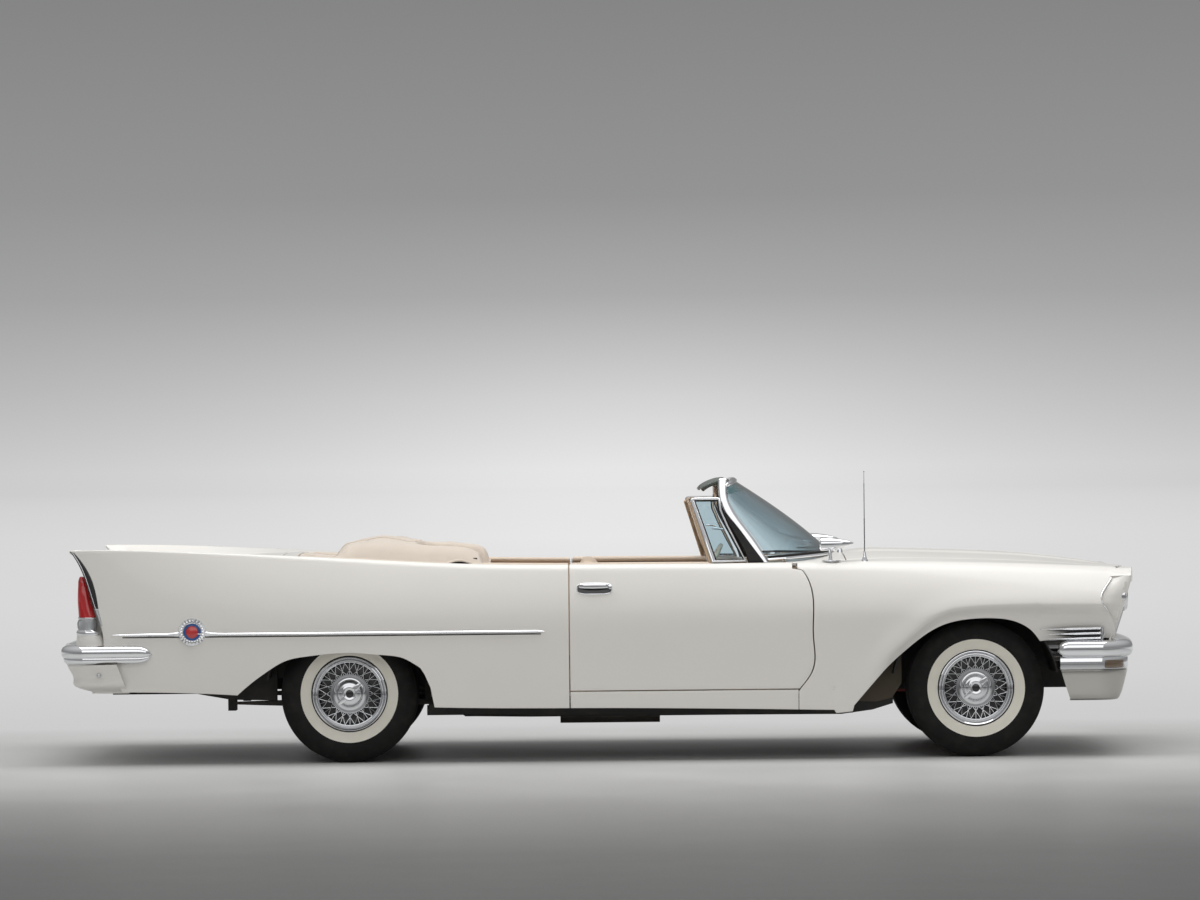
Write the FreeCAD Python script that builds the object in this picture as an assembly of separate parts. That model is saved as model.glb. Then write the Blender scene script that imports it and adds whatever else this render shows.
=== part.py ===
import FreeCAD, Part
import math
import os

# A 1950s two-door convertible with its top folded, standing level on its wheels.
# Millimetres. X runs towards the nose, Y towards the left side, Z up. The origin
# is on the ground, at mid-length, on the centre plane.

os.makedirs("parts", exist_ok=True)
Vector = FreeCAD.Vector

# Overall sizes and wheels
overall_length = 5568.0
overall_width = 2002.0
fin_height = 1107.0
half_length = overall_length / 2
half_width = overall_width / 2
wheelbase = 0.57471 * overall_length
front_overhang = 0.15481 * overall_length
front_track = 0.77622 * overall_width
rear_track = 0.76124 * overall_width
tyre_radius = 352.0
tyre_width = 226.0
rim_radius = 190.0
rim_width = 165.0
rim_well = 18.0
rim_lip = 6.0
wheel_face_shares = (
    (0.820, 0.050), (0.850, -0.880), (0.9052, -0.900), (0.9052, -0.640), (0.9052, 0.640), (0.9052, 0.900),
    (1.000, 0.985), (0.985, 1.040), (0.900, 0.960), (0.840, 0.500), (0.560, 0.270), (0.520, 0.530),
    (0.330, 0.640), (0.305, 0.800), (0.180, 0.880), (0.000, 0.880), (0.000, 0.0036))
tyre_wall_shares = (
    (1.000, 0.560), (0.960, 0.640), (0.840, 0.800), (0.700, 0.940), (0.540, 1.000), (0.380, 1.000),
    (0.230, 0.955), (0.120, 0.890), (0.045, 0.790), (0.000, 0.600))

front_hub_x = half_length - front_overhang
rear_hub_x = front_hub_x - wheelbase
hub_z = tyre_radius

# Clearances
shut_gap = 6.0
seat_gap = 0.3
pin_gap = 0.05
overrun = 60.0

# Wall thicknesses
skin = 14.0
door_thickness = 0.10490 * half_width
door_edge = 0.02597 * half_width
inner_setback = 20.0
glass_thickness = 8.0
sheet = 8.0

# The long lines of the body side, as shares of the half length against shares of the
# fin height or of the half width. The tail comes first.
crest_height_shares = (
    (-1.000, 1.000), (-0.875, 0.998), (-0.765, 0.987), (-0.590, 0.964), (-0.363, 0.933),
    (-0.180, 0.915), (0.000, 0.912), (0.259, 0.909), (0.503, 0.904), (0.700, 0.894),
    (0.850, 0.881), (1.000, 0.863))
crest_width_shares = (
    (-1.000, 0.930), (-0.765, 0.915), (-0.470, 0.905), (-0.150, 0.918), (0.150, 0.922),
    (0.400, 0.900), (0.650, 0.860), (0.850, 0.822), (1.000, 0.790))
waist_width_shares = (
    (-1.000, 0.930), (-0.850, 0.954), (-0.600, 0.990), (-0.300, 1.000), (0.000, 1.000),
    (0.300, 1.000), (0.550, 0.997), (0.750, 0.982), (0.900, 0.955), (1.000, 0.925))
waist_height_shares = ((-1.000, 0.600), (0.000, 0.620), (0.500, 0.640), (1.000, 0.660))
sill_width_shares = (
    (-1.000, 0.900), (-0.600, 0.950), (0.000, 0.965), (0.500, 0.960), (1.000, 0.900))
sill_height_shares = (
    (-1.000, 0.338), (-0.663, 0.320), (-0.500, 0.285), (-0.305, 0.257), (0.000, 0.246),
    (0.475, 0.224))
nose_bottom_height_shares = (
    (0.300, 0.230), (0.475, 0.224), (0.560, 0.300), (0.640, 0.430), (0.740, 0.500),
    (0.810, 0.531), (1.000, 0.531))
shelf_width_shares = (
    (-1.000, 0.720), (-0.800, 0.715), (-0.600, 0.700), (-0.500, 0.740), (-0.400, 0.800),
    (-0.200, 0.815), (0.200, 0.815), (0.350, 0.790), (0.450, 0.745), (0.700, 0.660),
    (0.900, 0.585), (1.000, 0.560))
shelf_height_shares = (
    (-1.000, 0.780), (-0.940, 0.826), (-0.860, 0.885), (-0.720, 0.932), (-0.600, 0.943),
    (-0.450, 0.930), (-0.300, 0.908), (-0.150, 0.898), (0.250, 0.896), (0.400, 0.906),
    (0.500, 0.916), (0.700, 0.908), (0.850, 0.888), (1.000, 0.856))

# Rows of a side section: from the crest to the waist, and from the waist to the lower edge
crown_row_shares = (0.0, 0.30, 0.65)
side_row_shares = (0.0, 0.5, 1.0)
crest_inset_share = 0.7
belt_fall = 4.0

# Wheel openings, round each hub in shares of the tyre's radius
front_arch_shares = (
    (-1.705, -0.136), (-1.341, 0.278), (-1.006, 0.580), (-0.727, 0.795), (-0.452, 0.935),
    (-0.148, 1.000), (0.241, 1.014), (0.517, 0.977), (0.710, 0.895), (0.847, 0.781),
    (0.957, 0.628))
rear_arch_shares = (
    (-1.602, 0.014), (-1.341, 0.227), (-1.159, 0.355), (-0.938, 0.486), (-0.673, 0.554),
    (-0.452, 0.580), (0.000, 0.611), (0.435, 0.580), (0.653, 0.560), (0.830, 0.514),
    (0.986, 0.423), (1.094, 0.313), (1.170, 0.133), (1.210, -0.043), (1.224, -0.200))

# Doors
door_rear_x = -0.05316 * half_length
door_front_x = 0.39080 * half_length
door_bottom_z = 0.32701 * fin_height
belt_z = 0.91147 * fin_height
door_outline_shares = (
    (0.943, 0.000), (0.989, 0.119), (0.999, 0.400), (1.000, 0.703), (0.981, 0.859),
    (0.931, 0.977), (0.880, 1.040))
sill_front_x = 0.36351 * half_length

# Hood and trunk lid
hood_rear_x = 0.45797 * half_length
hood_skin = 18.0
hood_crown_shares = (
    (0.300, 0.930), (0.440, 0.944), (0.500, 0.952), (0.580, 0.948), (0.658, 0.941),
    (0.768, 0.927), (0.850, 0.907), (0.902, 0.890), (0.953, 0.872), (1.000, 0.855))
lid_front_x = -0.58908 * half_length
lid_rear_x = -0.94468 * half_length
deck_front_x = -0.56034 * half_length
lid_crown_shares = (
    (-1.000, 0.700), (-0.955, 0.800), (-0.900, 0.868), (-0.800, 0.925), (-0.700, 0.950),
    (-0.589, 0.962), (-0.520, 0.962), (-0.480, 0.955))
lid_gap = 9.0

# Nose and lamps
nose_sweep = 175.0
nose_line_shares = (
    (0.515, 0.9638), (0.567, 0.9695), (0.631, 0.9781), (0.690, 0.9849), (0.752, 0.9907),
    (0.812, 0.9960), (0.870, 0.9950))
nose_top_z = 0.83559 * fin_height
nose_bottom_z = 0.53117 * fin_height
nose_half_width = 0.90410 * half_width
nose_thickness = 24.0
brow_y = 0.84915 * half_width
lamp_edge_shares = ((0.960, 0.905), (0.936, 0.802), (0.919, 0.722), (0.936, 0.654), (0.944, 0.500))
lamp_radius = 0.07193 * half_width
lamp_z = 0.73351 * fin_height
lamp_ys = (0.67532 * half_width, 0.82917 * half_width)
lamp_depth = 60.0
lamp_rim = 7.0
lens_share = 1.78
grille_top_half = 0.42957 * half_width
grille_low_half = 0.55944 * half_width
grille_top_z = 0.78410 * fin_height
grille_low_z = 0.54743 * fin_height
grille_bar = 7.0
grille_depth = 30.0
grille_columns = 15
grille_rows = 6

# Tail
tail_edge_shares = (
    (-0.9720, 1.020), (-0.9662, 0.995), (-0.9536, 0.944), (-0.9357, 0.837), (-0.9217, 0.723),
    (-0.9073, 0.603), (-0.9030, 0.470), (-0.8707, 0.330))
tail_rear_x = -0.97557 * half_length
tail_front_x = -0.86207 * half_length
tail_half_width = 0.94505 * half_width
tail_corner = 200.0
tail_bow = 5200.0
tail_skin = 12.0
tail_height = 0.48780 * fin_height
tail_low_z = 0.33604 * fin_height
tail_line_shares = (
    (0.720, 0.000), (0.340, 0.037), (0.165, 0.131), (0.000, 0.274), (0.060, 0.360),
    (0.200, 0.459), (0.310, 0.589), (0.370, 0.763), (0.410, 0.933))
niche_y = 0.86713 * half_width
tail_lamp_x = -0.93822 * half_length
tail_lamp_y = 0.91908 * half_width
tail_lamp_low_z = 0.62331 * fin_height
tail_lamp_top_z = 0.86992 * fin_height
tail_lamp_radius = 40.0

# Bumpers
bumper_height = 100.0
bumper_depth = 34.0
front_bumper_z = 0.47967 * fin_height
front_bumper_rear_x = 0.84231 * half_length
front_bumper_half = 0.99101 * half_width
front_corner_radius = 320.0
front_bumper_bow = 2200.0
rear_bumper_bow = 5200.0
bar_round_shares = (
    (0.00, -0.18), (0.00, 0.18), (0.10, 0.36), (0.36, 0.49), (0.62, 0.50), (1.00, 0.40),
    (1.00, -0.40), (0.62, -0.50), (0.36, -0.49), (0.10, -0.36))
front_apron_low_z = 0.26558 * fin_height
apron_slope = 40.0
apron_thickness = 12.0
apron_inset = 26.0
apron_edge_shares = ((0.832, 0.52), (0.850, 0.386), (0.869, 0.266))
rear_bumper_z = 0.51310 * fin_height
rear_bumper_front_x = -0.82256 * half_length
rear_bumper_half = 0.99301 * half_width
rear_corner_radius = 260.0
bracket_width = 70.0
bracket_height = 60.0

# Windshield, in shares of its own width and height
screen_half_width = 0.75125 * half_width
screen_top_half_width = 0.65435 * half_width
screen_base_front_x = 0.44037 * half_length
screen_base_side_x = 0.30963 * half_length
screen_top_front_x = 0.25144 * half_length
screen_top_side_x = 0.23527 * half_length
screen_base_z = 0.93948 * fin_height
screen_base_side_z = 0.91780 * fin_height
screen_top_z = 1.29359 * fin_height
screen_top_side_z = 1.26649 * fin_height
screen_bow = 26.0
screen_frame = 26.0
screen_corner_power = 2.6
frame_reach_share = 0.975
pane_reach_share = 0.93
pane_low_share = 0.035
pane_top_share = 0.955

# Vent windows, drawn in side view on the door and leaned inwards
vent_outline_shares = ((0.622, 0.0), (0.505, 0.956), (0.570, 1.0), (0.640, 1.0), (0.832, 0.0))
vent_height = 0.29991 * fin_height
vent_y = 0.90410 * half_width
vent_sink = 2.1
vent_lean = 27.0
vent_bar = 14.0
vent_depth = 16.0

# Cabin
floor_z = 0.28726 * fin_height
floor_front_x = 0.45330 * half_length
toe_x = 0.40589 * half_length
toe_z = 0.38844 * fin_height
seat_riser_x = -0.29813 * half_length
rear_floor_z = 0.46251 * fin_height
trunk_step_x = -0.63937 * half_length
trunk_floor_z = 0.40831 * fin_height
trunk_rear_x = -0.91954 * half_length
firewall_top_z = 0.88166 * fin_height
house_radius = tyre_radius + 76.0
house_inner_rear = rear_track / 2 - tyre_width / 2 - 31.0
tunnel_radius = 120.0
dash_front_x = 0.34483 * half_length
dash_rear_x = 0.27658 * half_length
dash_low_z = 0.70108 * fin_height
front_seat_x = 0.03592 * half_length
front_seat_half_width = 0.68931 * half_width
rear_seat_x = -0.23527 * half_length
rear_seat_half_width = 0.63936 * half_width
front_cushion_length = 0.17960 * half_length
rear_cushion_length = 0.15445 * half_length
cushion_top_z = 0.55104 * fin_height
backrest_height = 0.38211 * fin_height
backrest_depth = 120.0
backrest_lean = 100.0
seat_round = 32.0
boot_mid_x = -0.32507 * half_length
boot_front_x = -0.21121 * half_length
boot_arm_width = 150.0
boot_depth = 70.0
boot_top_shares = (
    (-0.562, 0.960), (-0.500, 0.976), (-0.465, 1.008), (-0.421, 1.034), (-0.360, 1.022),
    (-0.298, 1.010), (-0.245, 1.000), (-0.222, 0.960), (-0.210, 0.905))
boot_round_shares = ((1.0, 0.0), (0.985, 0.35), (0.90, 0.80), (0.60, 0.97), (0.0, 1.0))
steering_y = 0.39461 * half_width
steering_radius = 208.0
steering_hub_x = 0.20115 * half_length
steering_hub_z = 0.80397 * fin_height
steering_rim = 12.0
ring_sides = 8
boss_share = 1.5
column_low_x = 0.42385 * half_length
column_low_z = 0.50587 * fin_height
column_radius = 26.0

# Chassis
rail_width = 88.0
rail_height = 100.0
rail_plan_shares = (
    (0.9575, 0.400), (0.540, 0.400), (0.400, 0.580), (-0.130, 0.580), (-0.230, 0.480),
    (-0.905, 0.480))
rail_line_shares = (
    (0.9575, 0.300), (0.560, 0.300), (0.470, 0.194), (-0.250, 0.194), (-0.345, 0.365),
    (-0.600, 0.365), (-0.690, 0.312), (-0.905, 0.312))
cross_place_shares = (0.820, 0.455, 0.170, -0.200, -0.650)
cross_width = 90.0
engine_length = 0.27299 * half_length
engine_width = 0.51948 * half_width
engine_top_z = 0.81301 * fin_height
engine_low_z = 0.22584 * fin_height
engine_rear_x = 0.47773 * half_length
shaft_radius = 38.0
shaft_z = hub_z + 20.0
axle_radius = 38.0
diff_radius = 125.0
spindle_radius = 22.0
drum_radius = 142.0
drum_depth = 70.0
kingpin_offset = 106.0
kingpin_radius = 14.0
arm_upper_z = hub_z + 126.0
arm_lower_z = hub_z - 126.0
arm_thickness = 26.0
arm_inner_y = 0.46154 * half_width
arm_spread = 105.0
arm_tip_half = 24.0
eye_radius = 30.0
spring_width = 62.0
spring_y = house_inner_rear - 52.0
spring_half_length = 0.21552 * half_length
spring_drop = 14.0
hanger_length = 40.0
spring_thickness = 36.0
exhaust_radius = 27.0
exhaust_y = 0.24975 * half_width
exhaust_z = 0.21319 * fin_height
muffler_length = 0.18678 * half_length
tank_length = 0.16523 * half_length
tank_half_width = 0.39960 * half_width
tank_low_z = 0.32069 * fin_height

# Trim
spear_rear_x = -0.89296 * half_length
spear_front_x = -0.09878 * half_length
spear_z = 0.60253 * fin_height
spear_height = 20.0
spear_depth = 10.0
medallion_x = -0.74318 * half_length
medallion_z = 0.61427 * fin_height
medallion_radius = 71.0
medallion_depth = 15.0
mirror_x = 0.43894 * half_length
mirror_z = 1.00994 * fin_height
mirror_y = 0.84416 * half_width
mirror_radius = 46.0
mirror_length = 175.0
mirror_stem_radius = 9.0
antenna_x = 0.48922 * half_length
antenna_y = 0.83716 * half_width
antenna_top_z = 1.32611 * fin_height
antenna_radius = 2.5
antenna_foot_radius = 17.0
antenna_foot_height = 44.0
antenna_share = 0.8


def track(shares, span, height):
    """A smooth line along the car: a natural cubic through shares of span and height."""
    xs = [a * span for a, _ in shares]
    ys = [b * height for _, b in shares]
    count = len(xs)
    steps = [xs[i + 1] - xs[i] for i in range(count - 1)]
    bends = [0.0] * count
    upper = [0.0] * count
    known = [0.0] * count
    for i in range(1, count - 1):
        slope = (ys[i + 1] - ys[i]) / steps[i] - (ys[i] - ys[i - 1]) / steps[i - 1]
        pivot = 2 * (steps[i - 1] + steps[i]) - steps[i - 1] * upper[i - 1]
        upper[i] = steps[i] / pivot
        known[i] = (6 * slope - steps[i - 1] * known[i - 1]) / pivot
    for i in range(count - 2, 0, -1):
        bends[i] = known[i] - upper[i] * bends[i + 1]

    def value(x):
        i = 0
        while i < count - 2 and x > xs[i + 1]:
            i += 1
        h = steps[i]
        a = (xs[i + 1] - x) / h
        b = 1 - a
        if a > 1 or b > 1:
            end = 0 if a > 1 else count - 1
            near = 1 if a > 1 else count - 2
            rate = (ys[near] - ys[end]) / (xs[near] - xs[end])
            return ys[end] + rate * (x - xs[end])
        bend = (a ** 3 - a) * bends[i] + (b ** 3 - b) * bends[i + 1]
        return a * ys[i] + b * ys[i + 1] + bend * h * h / 6

    return value


crest_z = track(crest_height_shares, half_length, fin_height)
crest_y = track(crest_width_shares, half_length, half_width)
waist_y = track(waist_width_shares, half_length, half_width)
waist_z = track(waist_height_shares, half_length, fin_height)
sill_y = track(sill_width_shares, half_length, half_width)
sill_z = track(sill_height_shares, half_length, fin_height)
nose_bottom = track(nose_bottom_height_shares, half_length, fin_height)
shelf_y = track(shelf_width_shares, half_length, half_width)
shelf_z = track(shelf_height_shares, half_length, fin_height)
hood_z = track(hood_crown_shares, half_length, fin_height)
lid_z = track(lid_crown_shares, half_length, fin_height)
nose_x = track(nose_line_shares, fin_height, half_length)


def section(x, bottom, wall):
    """Two lines of one side section, inset by the wall: the shelf, and crest to lower edge."""
    top_y, top_z = crest_y(x) - wall * crest_inset_share, crest_z(x) - wall
    wide_y, wide_z = waist_y(x) - wall, waist_z(x)
    in_y, in_z = shelf_y(x), shelf_z(x) - wall
    low_y, low_z = sill_y(x) - wall, bottom(x)
    mid = ((in_y + top_y) / 2, (in_z + top_z) / 2)
    shelf = [(in_y, in_z), mid, (top_y, top_z)]
    side = []
    for t in crown_row_shares:
        side.append((wide_y - (wide_y - top_y) * (1 - t) ** 2, top_z + (wide_z - top_z) * t))
    for t in side_row_shares:
        side.append((wide_y + (low_y - wide_y) * t * t, wide_z + (low_z - wide_z) * t))
    return shelf, side


def spline(points):
    """A smooth edge through points."""
    curve = Part.BSplineCurve()
    curve.interpolate(points)
    return curve.toShape()


def at(x, rows):
    """Points of a cross-section placed at a station."""
    return [Vector(x, y, z) for y, z in rows]


def wall_wire(x, bottom, wall):
    """The closed outline of the side wall's cross-section at a station."""
    shelf, side = section(x, bottom, 0.0)
    shelf_in, side_in = section(x, bottom, wall)
    return Part.Wire([
        spline(at(x, shelf)), spline(at(x, side)),
        Part.makeLine(*at(x, (side[-1], side_in[-1]))), spline(at(x, side_in[::-1])),
        spline(at(x, shelf_in[::-1])), Part.makeLine(*at(x, (shelf_in[0], shelf[0])))])


def door_wire(x, bottom):
    """The closed outline of a door's cross-section, with a flat inner face."""
    side = section(x, bottom, 0.0)[1]
    face_y = half_width - door_thickness
    crest = side[0]
    top = (face_y, crest[1] - belt_fall)
    low = (face_y, side[-1][1])
    return Part.Wire([
        Part.makeLine(*at(x, (top, crest))), spline(at(x, side)),
        Part.makeLine(*at(x, (side[-1], low))), Part.makeLine(*at(x, (low, top)))])


def spaced(start, end, count):
    """Evenly spaced values from start to end."""
    return [start + (end - start) * i / (count - 1) for i in range(count)]


def loft(wires):
    """A smooth solid through closed wires."""
    return Part.makeLoft(wires, True, False)


def side_wall(start, end, stations, bottom, wall):
    """The thin left body side between two stations."""
    return loft([wall_wire(x, bottom, wall) for x in spaced(start, end, stations)])


def surface(grid):
    """A smooth face through a grid of points."""
    face = Part.BSplineSurface()
    face.interpolate(grid)
    return face


def shell_between(outer, inner):
    """A closed solid between two grids of points with the same rows and columns."""
    skins = [surface(outer), surface(inner)]
    rims = [[s.uIso(0).toShape(), s.uIso(1).toShape(), s.vIso(0).toShape(), s.vIso(1).toShape()]
            for s in skins]
    faces = [s.toShape() for s in skins]
    faces += [Part.makeRuledSurface(a, b) for a, b in zip(*rims)]
    shape = Part.makeCompound(faces)
    shape.sewShape()
    solid = Part.Solid(shape.Shells[0])
    if solid.Volume < 0:
        solid.reverse()
    return solid


def prism(points, y_from, y_to, smooth=False, closing=()):
    """An outline in the XZ plane, extruded between two values of Y."""
    corners = [Vector(x, y_from, z) for x, z in points]
    if smooth:
        curve = Part.BSplineCurve()
        curve.interpolate(corners)
        edges = [curve.toShape()]
        corners = [corners[-1]] + [Vector(x, y_from, z) for x, z in closing] + [corners[0]]
    else:
        edges = []
        corners = corners + [corners[0]]
    edges += [Part.makeLine(a, b) for a, b in zip(corners, corners[1:])]
    return Part.Face(Part.Wire(edges)).extrude(Vector(0, y_to - y_from, 0))


def box(x0, x1, y0, y1, z0, z1):
    """A box between two corners."""
    return Part.makeBox(x1 - x0, y1 - y0, z1 - z0, Vector(x0, y0, z0))


def rod(start, end, radius):
    """A round bar between two points."""
    a, b = Vector(*start), Vector(*end)
    return Part.makeCylinder(radius, (b - a).Length, a, b - a)


def fuse(shapes):
    """One solid from overlapping shapes."""
    whole = shapes[0].fuse(shapes[1:]) if len(shapes) > 1 else shapes[0]
    return whole.removeSplitter()


def largest(shape):
    """The biggest solid of a cut shape."""
    return max(shape.Solids, key=lambda solid: solid.Volume)


def mirrored(shape):
    """The right-hand twin of a left-hand shape."""
    return shape.mirror(Vector(0, 0, 0), Vector(0, 1, 0))


def both_sides(shape):
    """A left-hand shape and its twin, as two solids."""
    return Part.makeCompound([shape, mirrored(shape)])


def save(name, shape):
    """Write one node."""
    shape.exportStep("parts/" + name + ".step")


def save_pair(name, shape):
    """Write a left-hand node and its right-hand twin."""
    save(name + "_left", shape)
    save(name + "_right", mirrored(shape))


def arch(shares, hub_x):
    """The cutter for one wheel opening, from below the body up to its curved edge."""
    points = [(hub_x + a * tyre_radius, hub_z + b * tyre_radius) for a, b in shares]
    low = 0.0
    closing = [(points[-1][0] + overrun, points[-1][1] - overrun),
               (points[-1][0] + overrun, low), (points[0][0] - overrun, low),
               (points[0][0] - overrun, points[0][1] - overrun)]
    return prism(points, half_width / 2, half_width + overrun, True, closing)


def door_outline(grow):
    """The door's outline in side view, grown or shrunk on every side."""
    length = door_front_x - door_rear_x
    height = belt_z - door_bottom_z
    front = [(door_rear_x + a * length + grow, door_bottom_z + b * height - grow * (1 - b))
             for a, b in door_outline_shares]
    top = fin_height + overrun
    closing = [(front[-1][0], top), (door_rear_x - grow, top),
               (door_rear_x - grow, door_bottom_z - grow)]
    return front, closing


def door_prism(grow, y_from, y_to):
    """The door's outline as a cutter."""
    front, closing = door_outline(grow)
    return prism(front, y_from, y_to, True, closing)


# Body shells

def front_fender():
    """The left front fender, open over the wheel, behind the door line and at the lamps."""
    start = screen_base_side_x
    wall = side_wall(start, half_length, 8, nose_bottom, skin)
    wall = wall.cut(arch(front_arch_shares, front_hub_x))
    wall = wall.cut(door_prism(shut_gap, half_width / 2, half_width + overrun))
    below = box(start - overrun, sill_front_x + seat_gap, half_width / 2, half_width + overrun,
                0, door_bottom_z)
    wall = wall.cut(below)
    edge = [(a * half_length, b * fin_height) for a, b in lamp_edge_shares]
    ahead = [(half_length + overrun, edge[-1][1]), (half_length + overrun, edge[0][1])]
    wall = wall.cut(prism(edge + ahead, brow_y, half_width + overrun))
    return wall.cut(nose_trimmer(nose_thickness + seat_gap * 3))


def nose_grid(setback):
    """Points of the nose's face, swept back towards the sides."""
    rows = []
    for z in spaced(nose_bottom_z, nose_top_z, 5):
        row = []
        for y in spaced(-nose_half_width, nose_half_width, 5):
            sweep = nose_sweep * (y / nose_half_width) ** 2
            row.append(Vector(nose_x(z) - sweep - setback, y, z))
        rows.append(row)
    return rows


def nose_trimmer(setback):
    """All that lies ahead of the nose's face."""
    low, high = nose_bottom_z - overrun, fin_height
    reach = nose_half_width + 2 * overrun
    front = half_length + 2 * overrun
    wires = []
    for z in (low, nose_bottom_z, (nose_bottom_z + nose_top_z) / 2, nose_top_z, high):
        line = [Vector(nose_x(z) - setback - nose_sweep * (y / nose_half_width) ** 2, y, z)
                for y in spaced(-reach, reach, 7)]
        ends = [line[-1], Vector(front, reach, z), Vector(front, -reach, z), line[0]]
        edges = [spline(line)] + [Part.makeLine(a, b) for a, b in zip(ends, ends[1:])]
        wires.append(Part.Wire(edges))
    return loft(wires)


def lamp_places():
    """The centres of the four headlamps on the nose's face."""
    places = []
    for side in (1, -1):
        for y in lamp_ys:
            x = nose_x(lamp_z) - nose_sweep * (y / nose_half_width) ** 2
            places.append(Vector(x, side * y, lamp_z))
    return places


def grille_outline(grow, x0, x1):
    """The grille's opening, wider below, as a block along the car."""
    top_half, low_half = grille_top_half + grow, grille_low_half + grow
    top, low = grille_top_z + grow, grille_low_z - grow
    corners = [(top_half, top), (low_half, low), (-low_half, low), (-top_half, top)]
    points = [Vector(x0, y, z) for y, z in corners]
    return Part.Face(Part.makePolygon(points + points[:1])).extrude(Vector(x1 - x0, 0, 0))


def nose_panel():
    """The painted panel round the grille and the lamps."""
    panel = shell_between(nose_grid(0), nose_grid(nose_thickness))
    panel = panel.cut(grille_outline(0, half_length / 2, half_length + overrun))
    for place in lamp_places():
        hole = Part.makeCylinder(lamp_radius + seat_gap, 2 * overrun + lamp_depth,
                                 place - Vector(overrun + lamp_depth, 0, 0), Vector(1, 0, 0))
        panel = panel.cut(hole)
    return panel


def crown_wire(x, height, edge, half, thickness):
    """A crowned cross-section: an arc over the car with a skin below it."""
    def line(drop):
        return [Vector(x, half * t, height - (height - edge) * t * t - drop) for t in spaced(-1, 1, 5)]
    over, under = line(0), line(thickness)
    return Part.Wire([spline(over), Part.makeLine(over[-1], under[-1]), spline(under[::-1]),
                      Part.makeLine(under[0], over[0])])


def crown_loft(start, end, stations, height, gap, thickness):
    """A crowned panel between the two shelves of the body."""
    return loft([crown_wire(x, height(x), shelf_z(x), shelf_y(x) - gap, thickness)
                 for x in spaced(start, end, stations)])


def hood():
    """The hood, from the cowl to the nose."""
    panel = crown_loft(hood_rear_x, half_length, 8, hood_z, shut_gap, hood_skin)
    return panel.cut(nose_trimmer(nose_thickness + shut_gap))


def cowl():
    """The cowl's top between the dashboard and the hood."""
    return crown_loft(dash_front_x + seat_gap, hood_rear_x - shut_gap, 4, hood_z, seat_gap, hood_skin)


def trunk_lid():
    """The trunk lid between the fins."""
    return crown_loft(lid_rear_x, lid_front_x, 8, lid_z, lid_gap, hood_skin)


def rear_deck():
    """The fixed deck between the folded top and the trunk lid."""
    return crown_loft(lid_front_x + shut_gap, deck_front_x, 4, lid_z, seat_gap, hood_skin)


def rear_quarter():
    """The left rear quarter with its fin, thick beside the rear seat."""
    wall = side_wall(-half_length, door_rear_x - shut_gap, 7, sill_z, skin)
    wall = wall.cut(arch(rear_arch_shares, rear_hub_x))
    edge = [(a * half_length, b * fin_height) for a, b in tail_edge_shares]
    behind = [(edge[-1][0], 0), (-half_length - overrun, 0), (-half_length - overrun, edge[0][1])]
    wall = wall.cut(prism(edge + behind, half_width / 2, half_width + overrun))
    return wall


def tail_panel():
    """The painted panel below the trunk lid, wrapped round behind the bumper."""
    outer = [(a * tail_corner, tail_low_z + b * tail_height) for a, b in tail_line_shares]
    inner = [(a + tail_skin, z + tail_skin * (i == 0)) for i, (a, z) in enumerate(outer)]
    shell = bent_bar(outer + inner[::-1], tail_rear_x, tail_front_x, tail_half_width, tail_corner, tail_bow)
    edge = [(a * half_length - seat_gap, b * fin_height) for a, b in tail_edge_shares]
    ahead = [(tail_front_x + overrun, edge[-1][1] - overrun), (tail_front_x + overrun, edge[0][1])]
    shell = shell.cut(prism(edge + ahead, -half_width, half_width))
    niche = box(-half_length, tail_front_x, niche_y, half_width, tail_lamp_low_z, fin_height)
    return shell.cut(niche).cut(mirrored(niche))


def door():
    """The left door: its outer skin to the full outline, its body set back inside it."""
    ends = spaced(door_rear_x - overrun, door_front_x + overrun, 6)
    whole = loft([door_wire(x, sill_z) for x in ends])
    inside = half_width - 2 * door_thickness
    face = whole.common(door_prism(0, inside, half_width + overrun))
    far = half_width - door_edge
    trim = door_prism(overrun * 4, inside, far).cut(door_prism(-inner_setback, inside, far))
    return face.cut(trim)


def rockers():
    """The painted sills below the doors, one on each side."""
    ends = spaced(door_rear_x - overrun, door_front_x + overrun, 6)
    whole = loft([door_wire(x, sill_z) for x in ends])
    keep = box(door_rear_x - shut_gap + seat_gap, sill_front_x, 0, half_width + overrun, 0,
               door_bottom_z - shut_gap)
    return both_sides(whole.common(keep))


# Nose, tail and trim

def grille():
    """A plain grid of bars in the nose's opening."""
    x1 = nose_x(grille_low_z) - nose_thickness
    x0 = x1 - grille_depth
    bars = []
    for y in spaced(-grille_low_half, grille_low_half, grille_columns):
        bars.append(box(x0, x1, y - grille_bar / 2, y + grille_bar / 2, grille_low_z, grille_top_z))
    for z in spaced(grille_low_z + grille_bar / 2, grille_top_z - grille_bar / 2, grille_rows):
        bars.append(box(x0, x1, -grille_low_half, grille_low_half, z - grille_bar / 2, z + grille_bar / 2))
    frame = grille_outline(-seat_gap, x0, x1).cut(grille_outline(-grille_bar * 2, x0, x1))
    grid = fuse(bars).common(grille_outline(-seat_gap - grille_bar, x0, x1))
    return fuse([frame, grid])


def headlamps():
    """Four round lamps seated in the nose."""
    lamps = []
    for place in lamp_places():
        x1 = place.x - lamp_rim
        body = Part.makeCylinder(lamp_radius, lamp_depth, Vector(x1 - lamp_depth, place.y, place.z),
                                 Vector(1, 0, 0))
        lens = Part.makeSphere(lamp_radius * 2, Vector(x1 - lamp_radius * lens_share, place.y, place.z))
        lamps.append(body.common(lens))
    return Part.makeCompound(lamps)


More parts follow.
